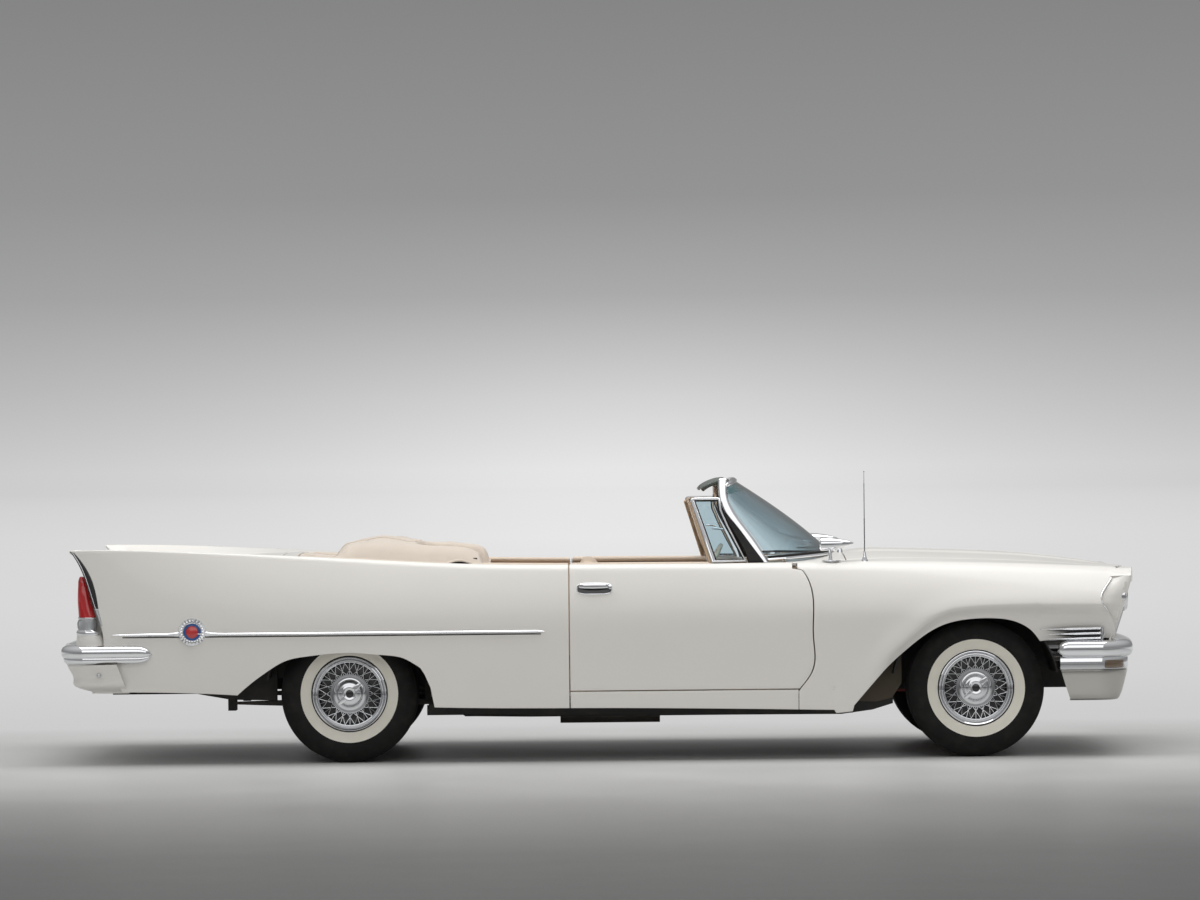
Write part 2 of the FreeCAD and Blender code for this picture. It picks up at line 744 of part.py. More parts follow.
def bent_bar(outline, front_x, rear_x, half, corner, bow):
    """A bar along a bumper's line: a bowed middle, round corners and straight ends.

    The outline holds insets from the line's outer face against heights.
    """
    turn = 1 if front_x > rear_x else -1
    front, rear = turn * front_x, turn * rear_x
    bend_x = front - bow + math.sqrt((bow - corner) ** 2 - (half - corner) ** 2)
    angle = math.degrees(math.atan2(half - corner, bend_x - (front - bow)))
    side = [Vector(bend_x, half - a, z) for a, z in outline]
    end = Part.Face(Part.makePolygon(side + side[:1]))
    middle = [Vector(front - a, 0, z) for a, z in outline]
    centre = Part.Face(Part.makePolygon(middle + middle[:1]))
    straight = end.extrude(Vector(rear - bend_x, 0, 0))
    bend = end.revolve(Vector(bend_x, half - corner, 0), Vector(0, 0, 1), angle - 90)
    bowed = centre.revolve(Vector(front - bow, 0, 0), Vector(0, 0, 1), angle)
    whole = fuse([straight, bend, bowed])
    whole = fuse([whole, mirrored(whole)])
    if turn < 0:
        whole = whole.mirror(Vector(0, 0, 0), Vector(1, 0, 0))
    return whole


def bar_outline(z):
    """The rounded cross-section of a bumper bar, as insets and heights."""
    return [(bumper_depth * a, z + bumper_height * b) for a, b in bar_round_shares]


def front_bumper():
    """The chromed bar and the apron under it."""
    bar = bent_bar(bar_outline(front_bumper_z), half_length, front_bumper_rear_x, front_bumper_half,
                   front_corner_radius, front_bumper_bow)
    top = front_bumper_z - bumper_height / 4
    wall = [(apron_inset, top), (apron_inset + apron_slope, front_apron_low_z),
            (apron_inset + apron_slope + apron_thickness, front_apron_low_z),
            (apron_inset + apron_thickness, top)]
    apron = bent_bar(wall, half_length, front_bumper_rear_x - overrun, front_bumper_half,
                     front_corner_radius, front_bumper_bow)
    edge = [(a * half_length, b * fin_height) for a, b in apron_edge_shares]
    far = front_bumper_rear_x - 3 * overrun
    behind = [(edge[-1][0], 0), (far, 0), (far, edge[0][1])]
    return fuse([bar, apron.cut(prism(edge + behind, -half_width, half_width))])


def rear_bumper():
    """The chromed bar that wraps round the tail."""
    bar = bent_bar(bar_outline(rear_bumper_z), -half_length, rear_bumper_front_x, rear_bumper_half,
                   rear_corner_radius, rear_bumper_bow)
    y = rail_plan_shares[-1][1] * half_width
    block = box(bumper_depth - half_length, tail_rear_x + tail_skin * 4, y - bracket_width / 2,
                y + bracket_width / 2, rear_bumper_z - bracket_height / 2, rear_bumper_z + bracket_height / 2)
    return largest(fuse([bar, block, mirrored(block)]).cut(tail_panel()))


def tail_lamps():
    """A tall red lamp in the niche behind each fin."""
    low = Vector(tail_lamp_x - tail_lamp_radius / 2, tail_lamp_y, tail_lamp_low_z)
    tall = tail_lamp_top_z - tail_lamp_low_z
    lamp = Part.makeCone(tail_lamp_radius, tail_lamp_radius / 2, tall, low, Vector(0, 0, 1))
    return both_sides(lamp.cut(tail_panel()).cut(rear_quarter()))


def spear_wire(x):
    """The strip's cross-section, from inside the skin to its rounded face."""
    low, high = spear_z - spear_height / 2, spear_z + spear_height / 2
    inner = waist_at(x, spear_z) - skin / 2
    outer = waist_at(x, spear_z) + spear_depth
    points = [Vector(x, inner, low), Vector(x, outer - spear_depth / 2, low),
              Vector(x, outer, spear_z), Vector(x, outer - spear_depth / 2, high), Vector(x, inner, high)]
    return Part.makePolygon(points + points[:1])


def spears():
    """The bright strip and its round medallion on each rear quarter."""
    strip = loft([spear_wire(x) for x in spaced(spear_rear_x, spear_front_x, 7)])
    start = Vector(medallion_x, waist_at(medallion_x, medallion_z) - skin / 2, medallion_z)
    disc = Part.makeCylinder(medallion_radius, skin / 2 + medallion_depth, start, Vector(0, 1, 0))
    return both_sides(fuse([strip, disc]).cut(rear_quarter()))


def waist_at(x, z):
    """How wide the body side is at a station and a height below the crest."""
    top, wide, low = crest_z(x), waist_z(x), sill_z(x)
    if z > wide:
        t = (top - z) / (top - wide)
        return waist_y(x) - (waist_y(x) - crest_y(x)) * (1 - t) ** 2
    t = (wide - z) / (wide - low)
    return waist_y(x) + (sill_y(x) - waist_y(x)) * t * t


def mirrors():
    """A bullet-shaped mirror on a leaning stem, one on each fender."""
    tail = Vector(mirror_x - mirror_length / 2, mirror_y, mirror_z)
    body = Part.makeCone(mirror_radius, mirror_radius / 4, mirror_length, tail, Vector(1, 0, 0))
    foot = (mirror_x - mirror_length / 2, mirror_y + mirror_radius / 2, crest_z(mirror_x) - skin / 2)
    stem = rod(foot, (mirror_x - mirror_length / 4, mirror_y, mirror_z), mirror_stem_radius)
    return both_sides(fuse([body, stem]).cut(front_fender()))


def antenna():
    """The mast on the right fender."""
    base_z = shelf_z(antenna_x) + (crest_z(antenna_x) - shelf_z(antenna_x)) * antenna_share - skin
    mast = rod((antenna_x, antenna_y, base_z), (antenna_x, antenna_y, antenna_top_z), antenna_radius)
    foot = Part.makeCone(antenna_foot_radius, antenna_radius * 2, antenna_foot_height + skin,
                         Vector(antenna_x, antenna_y, base_z), Vector(0, 0, 1))
    return mirrored(fuse([mast, foot]).cut(front_fender()))


def mirrors_antenna():
    """Both mirrors and the mast, all on the front fenders."""
    return Part.makeCompound([mirrors(), antenna()])


# Windshield and vents

def screen_point(u, v, out):
    """A point of the windshield: u across from -1 to 1, v up from 0 to 1, out from its face."""
    base_x, top_x = screen_base_front_x, screen_top_front_x
    front = base_x + (top_x - base_x) * v + screen_bow * math.sin(math.pi * v)
    side = screen_base_side_x + (screen_top_side_x - screen_base_side_x) * v
    half = screen_half_width + (screen_top_half_width - screen_half_width) * v
    turn = math.pi / 2 * u
    power = 2 / screen_corner_power
    forward = abs(math.cos(turn)) ** power
    across = math.copysign(abs(math.sin(turn)) ** power, u)
    edge_z = screen_base_side_z + (screen_top_side_z - screen_base_side_z) * v
    mid_z = screen_base_z + (screen_top_z - screen_base_z) * v
    slope = (base_x - top_x) / (screen_top_z - screen_base_z)
    return Vector(side + (front - side + out) * forward, (half + out) * across,
                  edge_z + (mid_z - edge_z) * forward + out * slope * forward / 2)


def screen_patch(u0, u1, v0, v1, out, thickness):
    """A piece of the windshield's shell."""
    rows = []
    for depth in (out, out - thickness):
        rows.append([[screen_point(u, v, depth) for u in spaced(u0, u1, 13)]
                     for v in spaced(v0, v1, 5)])
    return shell_between(rows[0], rows[1])


def windshield_glass():
    """The curved pane."""
    pane = screen_patch(-pane_reach_share, pane_reach_share, pane_low_share, pane_top_share,
                        -glass_thickness / 2, glass_thickness)
    return pane.cut(windshield_frame())


def windshield_frame():
    """The header, posts and lower moulding round the pane."""
    whole = screen_patch(-frame_reach_share, frame_reach_share, 0.0, 1.0, screen_frame / 2, screen_frame)
    hole = screen_patch(-pane_reach_share, pane_reach_share, pane_low_share, pane_top_share,
                        screen_frame, screen_frame * 3)
    return largest(whole.cut(hole).cut(cowl()).cut(front_fender()).cut(mirrored(front_fender())))


def vent_shape(grow, y_shift, depth):
    """The vent window's outline, leaned inwards with the screen's post."""
    length = door_front_x - door_rear_x
    points = [(door_rear_x + a * length, belt_z + seat_gap - vent_sink + b * vent_height)
              for a, b in vent_outline_shares]
    centre_x = sum(x for x, _ in points) / len(points)
    centre_z = sum(z for _, z in points) / len(points)
    shrunk = [(x + grow * math.copysign(1, x - centre_x), z + grow * math.copysign(1, z - centre_z))
              for x, z in points]
    plate = prism(shrunk, vent_y + y_shift - depth / 2, vent_y + y_shift + depth / 2)
    plate.rotate(Vector(0, vent_y, belt_z), Vector(1, 0, 0), vent_lean)
    return plate


def vent_frame():
    """The chromed frame of the left vent window."""
    return vent_shape(0, 0, vent_depth).cut(vent_shape(-vent_bar, 0, vent_depth * 3))


def vent_glass():
    """The left vent window's pane."""
    return vent_shape(-vent_bar - seat_gap, 0, glass_thickness)


# Cabin

def wheelhouse(hub_x, inner_y, radius):
    """A half-round tub over the left wheel."""
    outer_y = waist_y(hub_x) - skin * 8
    tub = Part.makeCylinder(radius, outer_y - inner_y, Vector(hub_x, inner_y, hub_z), Vector(0, 1, 0))
    hollow = Part.makeCylinder(radius - sheet, outer_y - inner_y, Vector(hub_x, inner_y + sheet, hub_z),
                               Vector(0, 1, 0))
    below = box(hub_x - radius - overrun, hub_x + radius + overrun, 0, half_width, hub_z - radius - overrun,
                hub_z + axle_radius * 2)
    return tub.cut(hollow).cut(below)


def wheel_space(hub_x, inner_y, radius):
    """The space inside a wheelhouse, with its wall."""
    outer_y = waist_y(hub_x)
    return Part.makeCylinder(radius, outer_y - inner_y, Vector(hub_x, inner_y, hub_z), Vector(0, 1, 0))


def cabin_reach():
    """How far the floor's sheets reach to each side, inside the doors."""
    return half_width - door_thickness - seat_gap


def bent_sheet(line, sides):
    """A bent sheet across the cabin: its upper line, and the way its wall goes at each corner."""
    back = [(x + sheet * dx, z + sheet * dz) for (x, z), (dx, dz) in zip(line, sides)]
    return prism(line + back[::-1], -cabin_reach(), cabin_reach())


def tunnel(start, end, grow):
    """The half-round tunnel over the drive shaft as a solid bar, grown on its outside."""
    low = floor_z - sheet
    tube = Part.makeCylinder(tunnel_radius + grow, end - start, Vector(start, 0, low), Vector(1, 0, 0))
    reach = tunnel_radius + overrun
    return tube.common(box(start, end, -reach, reach, low - grow, firewall_top_z))


def tunnel_hollow():
    """The space inside the tunnel, on through the riser behind it."""
    start = seat_riser_x - 2 * sheet
    return Part.makeCylinder(tunnel_radius - sheet, floor_front_x - start, Vector(start, 0, floor_z - sheet),
                             Vector(1, 0, 0))


def firewall():
    """The upright firewall with the sloping toe board, notched for the tunnel."""
    wall = bent_sheet([(floor_front_x, firewall_top_z), (floor_front_x, toe_z), (toe_x, floor_z)],
                      ((1, 0), (1, 0), (0, -1)))
    wall = wall.cut(tunnel(toe_x - overrun, floor_front_x + overrun, seat_gap))
    corner = box(toe_x - overrun, floor_front_x + overrun, shelf_y(floor_front_x) - overrun, half_width,
                 toe_z, firewall_top_z + overrun)
    return wall.cut(corner).cut(mirrored(corner)).cut(side_rails(seat_gap)).cut(cross_members(seat_gap))


def floor_pan():
    """The two flat floors beside the tunnel, and the tunnel itself."""
    start, end = seat_riser_x + seat_gap, toe_x - seat_gap
    frame = side_rails(seat_gap).fuse(cross_members(seat_gap))
    plate = box(start, end, tunnel_radius + seat_gap, cabin_reach(), floor_z - sheet, floor_z)
    hump = tunnel(start, floor_front_x - seat_gap, 0).cut(tunnel_hollow())
    return Part.makeCompound([plate.cut(frame), mirrored(plate).cut(frame), hump.cut(frame)])


def trunk_floor():
    """The raised floor behind the rear seat and the lower floor of the trunk."""
    line = [(seat_riser_x, floor_z), (seat_riser_x, rear_floor_z), (trunk_step_x, rear_floor_z),
            (trunk_step_x - overrun, trunk_floor_z), (trunk_rear_x, trunk_floor_z)]
    pan = bent_sheet(line, ((-1, -1), (-1, -1), (-1, -1), (0, -1), (0, -1)))
    for turn in (lambda s: s, mirrored):
        pan = pan.cut(turn(wheel_space(rear_hub_x, house_inner_rear - seat_gap, house_radius + sheet)))
    pan = pan.cut(tunnel_hollow()).cut(side_rails(seat_gap)).cut(cross_members(seat_gap))
    return largest(pan.cut(tail_panel()))


def wheelhouses():
    """The four half-round tubs over the wheels, slotted in front for the wishbones."""
    beside_rail = rail_plan_shares[0][1] * half_width + rail_width / 2 + seat_gap
    arm_slot = box(front_hub_x - arm_spread - arm_thickness, front_hub_x + arm_spread + arm_thickness, 0,
                   beside_rail + 2 * sheet, 0, arm_upper_z + 2 * arm_thickness)
    front = wheelhouse(front_hub_x, beside_rail, house_radius).cut(arm_slot)
    rear = wheelhouse(rear_hub_x, house_inner_rear, house_radius).cut(side_rails(seat_gap))
    return Part.makeCompound([front, mirrored(front), rear, mirrored(rear)])


def rounded(shape, radius):
    """A soft block: every edge that can be is rounded."""
    return shape.makeFillet(radius, shape.Edges)


def bench(x, half, length):
    """A bench's cushion, arched over the tunnel, and its leaning backrest."""
    base = floor_z + seat_gap
    cushion = rounded(box(x, x + length, -half, half, base, cushion_top_z), seat_round)
    start = x - backrest_depth - overrun
    arch_over = Part.makeCylinder(tunnel_radius + seat_gap, length + overrun + x - start,
                                  Vector(start, 0, floor_z - sheet), Vector(1, 0, 0))
    low_x = x - seat_gap
    low_z = base + seat_round * 2
    high_z = cushion_top_z + backrest_height
    lean = [(low_x, low_z), (low_x - backrest_depth, low_z),
            (low_x - backrest_lean - backrest_depth, high_z), (low_x - backrest_lean, high_z)]
    back = rounded(prism(lean, -half, half), seat_round)
    return Part.makeCompound([cushion.cut(arch_over), back.cut(arch_over)])


def dashboard():
    """The instrument panel across the cabin, its top carrying on the cowl's."""
    high = fin_height
    outline = [(dash_front_x, high), (dash_front_x, dash_low_z + overrun),
               (dash_rear_x + overrun, dash_low_z),
               (dash_rear_x, dash_low_z + overrun), (dash_rear_x, belt_z - overrun / 2),
               (dash_rear_x + overrun / 2, belt_z + overrun / 4), (dash_rear_x + overrun, high)]
    block = prism(outline, -half_width, half_width)
    return block.common(crown_loft(dash_rear_x - overrun, dash_front_x, 4, hood_z, skin + seat_gap,
                                   fin_height - dash_low_z))


def steering_axis():
    """Where the steering column points."""
    run = Vector(steering_hub_x - column_low_x, 0, steering_hub_z - column_low_z)
    return run / run.Length


def steering_column():
    """The tube from the firewall to the wheel, cut where the dashboard holds it."""
    axis = steering_axis()
    top = Vector(steering_hub_x, steering_y, steering_hub_z) - axis * (column_radius * 2)
    base = Vector(column_low_x, steering_y, column_low_z) - axis * (column_radius * 5)
    ahead = box(floor_front_x - seat_gap, half_length, 0, half_width, 0, fin_height)
    return rod(base, top, column_radius).cut(ahead)


def ring(radius, thickness):
    """A ring about Z with a many-sided section."""
    corners = []
    for i in range(ring_sides):
        turn = 2 * math.pi * i / ring_sides
        corners.append(Vector(radius + thickness * math.cos(turn), 0, thickness * math.sin(turn)))
    return Part.Face(Part.makePolygon(corners + corners[:1])).revolve(Vector(0, 0, 0), Vector(0, 0, 1), 360)


def steering_wheel():
    """The thin-rimmed wheel with two spokes and a boss."""
    rim = ring(steering_radius, steering_rim)
    boss = Part.makeCone(column_radius, column_radius * boss_share, column_radius * 2 - seat_gap,
                         Vector(0, 0, -column_radius * 2 + seat_gap), Vector(0, 0, 1))
    spoke = box(-steering_rim, steering_rim, -steering_radius, steering_radius, -steering_rim / 2, 0)
    wheel = fuse([rim, boss, spoke])
    tilt = math.degrees(math.atan2(steering_hub_x - column_low_x, steering_hub_z - column_low_z))
    wheel.rotate(Vector(0, 0, 0), Vector(0, 1, 0), tilt)
    wheel.translate(Vector(steering_hub_x, steering_y, steering_hub_z))
    return wheel


def boot_wire(x, height):
    """The folded top's cross-section under its cover, flat below."""
    half = shelf_y(x) - seat_gap * 8
    edge = shelf_z(x)
    right = [Vector(x, half * a, edge + (height - edge) * b) for a, b in boot_round_shares]
    line = right + [Vector(v.x, -v.y, v.z) for v in right[-2::-1]]
    low = edge - boot_depth
    ends = [line[-1], Vector(x, -half, low), Vector(x, half, low), line[0]]
    return Part.Wire([spline(line)] + [Part.makeLine(a, b) for a, b in zip(ends, ends[1:])])


def top_boot():
    """The folded top under its cover: a U round the rear seat."""
    height = track(boot_top_shares, half_length, fin_height)
    rear = deck_front_x + seat_gap * 2
    whole = loft([boot_wire(x, height(x)) for x in spaced(rear, boot_front_x, 9)])
    inside = shelf_y(boot_mid_x) - boot_arm_width
    well = box(boot_mid_x, boot_front_x + overrun, -inside, inside, 0, fin_height + overrun)
    return whole.cut(well)


# Chassis and running gear

def rail_band(shares, length, size, grow, low):
    """A rail's outline in one view: a line of shares with a width on one side of it."""
    first = [(a * half_length, b * size - (low + grow)) for a, b in shares]
    second = [(a * half_length, b * size + length + grow) for a, b in shares]
    return first + second[::-1]


def side_rails(grow=0.0):
    """The two kicked-up side rails of the ladder frame, with the hangers of the springs."""
    high = prism(rail_band(rail_line_shares, rail_height, fin_height, grow, 0), -half_width, half_width)
    plan = rail_band(rail_plan_shares, rail_width / 2, half_width, grow, rail_width / 2)
    face = Part.Face(Part.makePolygon([Vector(x, y, 0) for x, y in plan + plan[:1]]))
    parts = [face.extrude(Vector(0, 0, fin_height)).common(high)]
    for start, low, top in spring_hangers():
        y = rail_plan_shares[-1][1] * half_width
        parts.append(box(start - grow, start + hanger_length + grow, y, spring_y + spring_width / 2 + grow,
                         low - grow, top))
    return both_sides(fuse(parts))


def cross_members(grow=0.0):
    """The cross members between the side rails, in the upper half of their height."""
    bars = []
    for share in cross_place_shares:
        x = share * half_length
        z = cross_low(x)
        half = cross_reach(x)
        bar = box(x - cross_width / 2 - grow, x + cross_width / 2 + grow, -half, half,
                  z + rail_height / 2 - grow, z + rail_height + grow)
        bars.append(bar if grow else bar.cut(side_rails(seat_gap)))
    return Part.makeCompound(bars)


def spring_low():
    """The underside of the springs at the axle."""
    return hub_z - axle_radius - spring_thickness - seat_gap


def spring_hangers():
    """Where the frame carries the springs: start along the car, lowest and highest point."""
    low = spring_low() - spring_thickness / 2
    front = rear_hub_x + spring_half_length + seat_gap
    rear = rear_hub_x - spring_half_length - seat_gap - hanger_length
    rear_rail = along(rail_line_shares, rear, half_length, fin_height)
    return ((front, low, floor_z - sheet - seat_gap), (rear, low, rear_rail + rail_height))


def along(shares, x, span, size):
    """The straight-run value of a line of shares at a place."""
    points = sorted((a * span, b * size) for a, b in shares)
    for (x0, z0), (x1, z1) in zip(points, points[1:]):
        if x <= x1:
            return z0 + (z1 - z0) * (x - x0) / (x1 - x0)
    return points[-1][1]


def cross_low(x):
    """The underside of the frame at a cross member."""
    half = cross_width / 2
    return max(along(rail_line_shares, x + d, half_length, fin_height) for d in (-half, half))


def cross_reach(x):
    """How far a cross member reaches from the centre plane into the rail."""
    half = cross_width / 2
    return min(along(rail_plan_shares, x + d, half_length, half_width) for d in (-half, half))


def engine():
    """The engine as one plain block."""
    return box(engine_rear_x, engine_rear_x + engine_length, -engine_width / 2, engine_width / 2,
               engine_low_z + overrun, engine_top_z)


def rear_axle():
    """The axle tube with its round housing, a stub for each wheel, and the drive shaft ahead of it."""
    reach = rear_track / 2
    inner = reach - drum_depth
    tube = rod((rear_hub_x, -inner, hub_z), (rear_hub_x, inner, hub_z), axle_radius)
    stub = rod((rear_hub_x, -reach, hub_z), (rear_hub_x, reach, hub_z), spindle_radius)
    ball = Part.makeSphere(diff_radius, Vector(rear_hub_x, 0, hub_z))
    shaft = rod((toe_x - overrun, 0, shaft_z), (rear_hub_x, 0, hub_z), shaft_radius)
    return fuse([tube, stub, ball, shaft])


def leaf_springs():
    """A bowed pack of leaves on each side, under the axle."""
    low = spring_low()
    mid = Vector(rear_hub_x, 0, low)
    ends = [Vector(rear_hub_x + d * spring_half_length, 0, low + spring_drop) for d in (-1, 1)]
    lower = Part.Arc(ends[0], mid, ends[1]).toShape()
    up = Vector(0, 0, spring_thickness)
    thin = Vector(0, 0, spring_thickness / 3)
    upper = Part.Arc(ends[0] + thin, mid + up, ends[1] + thin).toShape()
    wire = Part.Wire([lower, Part.makeLine(ends[1], ends[1] + thin), upper,
                      Part.makeLine(ends[0] + thin, ends[0])])
    spring = Part.Face(wire).extrude(Vector(0, spring_width, 0))
    spring.translate(Vector(0, spring_y - spring_width / 2, 0))
    return both_sides(spring)


def exhaust():
    """A pipe with its muffler along each side of the shaft."""
    start, end = toe_x - 2 * overrun, rear_hub_x + 3 * diff_radius
    pipe = rod((end, exhaust_y, exhaust_z), (start, exhaust_y, exhaust_z), exhaust_radius)
    radius = floor_z - sheet - seat_gap - exhaust_z
    middle = (start + end) / 2
    muffler = rod((middle - muffler_length / 2, exhaust_y, exhaust_z),
                  (middle + muffler_length / 2, exhaust_y, exhaust_z), radius)
    return both_sides(fuse([pipe, muffler]))


def fuel_tank():
    """The tank under the trunk floor."""
    rear = trunk_rear_x + 3 * overrun
    top = trunk_floor_z - sheet - seat_gap
    tank = box(rear, rear + tank_length, -tank_half_width, tank_half_width, tank_low_z, top)
    return tank.makeFillet(overrun / 2, [e for e in tank.Edges if e.Length > top - tank_low_z + 1])


def kingpin_y():
    """How far out the left steering axis stands."""
    return front_track / 2 - kingpin_offset


def arm(z):
    """One wishbone of the left front suspension, with an eye for the kingpin."""
    y1 = kingpin_y()
    inner = arm_inner_y - overrun
    corners = [(front_hub_x - arm_spread, inner), (front_hub_x + arm_spread, inner),
               (front_hub_x + arm_tip_half, y1), (front_hub_x - arm_tip_half, y1)]
    plate = Part.Face(Part.makePolygon([Vector(x, y, z) for x, y in corners + corners[:1]]))
    plate = plate.extrude(Vector(0, 0, arm_thickness))
    eye = Part.makeCylinder(eye_radius, arm_thickness, Vector(front_hub_x, y1, z))
    hole = Part.makeCylinder(kingpin_radius + pin_gap, arm_thickness + overrun,
                             Vector(front_hub_x, y1, z - overrun / 2))
    return fuse([plate, eye]).cut(hole)


def front_suspension():
    """The cross member under the engine with two wishbones each side."""
    tower_y = arm_inner_y - overrun
    parts = [box(front_hub_x - cross_width, front_hub_x + cross_width, -tower_y, tower_y,
                 arm_lower_z - overrun / 4, engine_low_z + overrun - seat_gap)]
    for turn in (lambda s: s, mirrored):
        parts += [turn(arm(arm_lower_z)), turn(arm(arm_upper_z))]
        tower = box(front_hub_x - arm_spread, front_hub_x + arm_spread, tower_y - rail_width / 4,
                    tower_y + sheet, arm_lower_z, arm_upper_z + arm_thickness)
        parts.append(turn(tower))
    return fuse(parts).cut(side_rails(seat_gap)).cut(cross_members(seat_gap))


def knuckle():
    """The left steering knuckle: kingpin, upright and spindle."""
    y1 = kingpin_y()
    low = arm_lower_z + arm_thickness + seat_gap
    high = arm_upper_z - seat_gap
    post = Part.makeCylinder(eye_radius, high - low, Vector(front_hub_x, y1, low))
    pin = Part.makeCylinder(kingpin_radius, arm_upper_z + arm_thickness - arm_lower_z,
                            Vector(front_hub_x, y1, arm_lower_z))
    spindle = rod((front_hub_x, y1, hub_z), (front_hub_x, front_track / 2, hub_z), spindle_radius)
    return fuse([post, pin, spindle])


def wheel_at(hub_x, track_half):
    """A left wheel with its drum, rim, dished cover and hub bore."""
    bore = spindle_radius + pin_gap
    back = seat_gap - drum_depth
    half = rim_width / 2
    profile = [(bore, back), (drum_radius, back), (drum_radius, -rim_lip)]
    profile += [(a * rim_radius, b * half) for a, b in wheel_face_shares]
    profile += [(bore, seat_gap)]
    points = [Vector(a, b, 0) for a, b in profile]
    face = Part.Face(Part.makePolygon(points + points[:1]))
    wheel = face.revolve(Vector(0, 0, 0), Vector(0, 1, 0), 360)
    wheel.translate(Vector(hub_x, track_half, hub_z))
    return wheel


def tyre_at(hub_x, track_half):
    """A left tyre: bowed walls, round shoulders and a flat tread."""
    half = tyre_width / 2
    points = [Vector(tyre_radius - a * wall_height(), b * half, 0) for a, b in tyre_wall_shares]
    points += [Vector(v.x, -v.y, 0) for v in points[::-1]]
    tyre = Part.Face(Part.makePolygon(points + points[:1])).revolve(Vector(0, 0, 0), Vector(0, 1, 0), 360)
    tyre.translate(Vector(hub_x, track_half, hub_z))
    return tyre


def wall_height():
    """The tyre's height above the rim's well."""
    return tyre_radius - rim_radius + rim_well - seat_gap


for name, maker in (("front_fender", front_fender), ("rear_quarter", rear_quarter), ("door", door),
                    ("vent_frame", vent_frame), ("vent_glass", vent_glass), ("knuckle", knuckle)):
    save_pair(name, maker())
for end, hub_x, half_track in (("front", front_hub_x, front_track / 2), ("rear", rear_hub_x, rear_track / 2)):
    save_pair("wheel_" + end, wheel_at(hub_x, half_track))
    save_pair("tyre_" + end, tyre_at(hub_x, half_track))
for name, maker in (("floor_pan", floor_pan), ("firewall", firewall), ("trunk_floor", trunk_floor),
                    ("wheelhouses", wheelhouses), ("hood", hood), ("cowl", cowl), ("trunk_lid", trunk_lid),
                    ("rear_deck", rear_deck), ("nose_panel", nose_panel),
                    ("tail_panel", tail_panel), ("rocker_sills", rockers), ("grille", grille),
                    ("headlamps", headlamps), ("front_bumper", front_bumper),
                    ("rear_bumper", rear_bumper), ("tail_lamps", tail_lamps),
                    ("side_spears", spears), ("mirrors_antenna", mirrors_antenna),
                    ("windshield_glass", windshield_glass), ("windshield_frame", windshield_frame),
                    ("dashboard", dashboard), ("steering_column", steering_column),
                    ("steering_wheel", steering_wheel), ("top_boot", top_boot),
                    ("frame_rails", side_rails), ("cross_members", cross_members), ("engine", engine),
                    ("rear_axle", rear_axle), ("leaf_springs", leaf_springs), ("exhaust", exhaust),
                    ("fuel_tank", fuel_tank), ("front_suspension", front_suspension)):
    save(name, maker())
save("front_seat", bench(front_seat_x, front_seat_half_width, front_cushion_length))
save("rear_seat", bench(rear_seat_x, rear_seat_half_width, rear_cushion_length))
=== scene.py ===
"""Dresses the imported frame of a 1950s convertible car with its looks."""

import logging
import math
from dataclasses import dataclass, field
from enum import Enum
from typing import Callable, Iterable, Sequence

import bpy
from mathutils import Matrix, Vector


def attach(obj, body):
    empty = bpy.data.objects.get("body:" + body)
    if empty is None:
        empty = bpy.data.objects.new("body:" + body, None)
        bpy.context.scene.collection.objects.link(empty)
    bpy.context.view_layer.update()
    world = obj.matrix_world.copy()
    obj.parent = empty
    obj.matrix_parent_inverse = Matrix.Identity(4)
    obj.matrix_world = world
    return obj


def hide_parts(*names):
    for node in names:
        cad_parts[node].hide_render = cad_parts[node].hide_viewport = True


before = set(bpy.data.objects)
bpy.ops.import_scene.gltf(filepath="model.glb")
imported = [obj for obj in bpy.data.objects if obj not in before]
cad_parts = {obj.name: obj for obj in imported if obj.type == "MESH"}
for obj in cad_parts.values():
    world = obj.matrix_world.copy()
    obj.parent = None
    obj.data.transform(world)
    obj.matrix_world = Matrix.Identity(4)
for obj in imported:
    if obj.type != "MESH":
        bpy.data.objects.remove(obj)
log = logging.getLogger("convertible")
Point = tuple[float, float]
Colour = tuple[float, float, float]


class Side(Enum):
    """The car's two sides, with the sign of their Y."""

    LEFT = 1
    RIGHT = -1

    @property
    def tag(self) -> str:
        """The side's name as it ends a node's name."""
        return self.name.lower()


class Grain(Enum):
    """The kinds of surface structure that a finish can carry."""

    SMOOTH = "smooth"
    LEATHER = "leather"
    WEAVE = "weave"
    PILE = "pile"
    CAST = "cast"


# Finishes

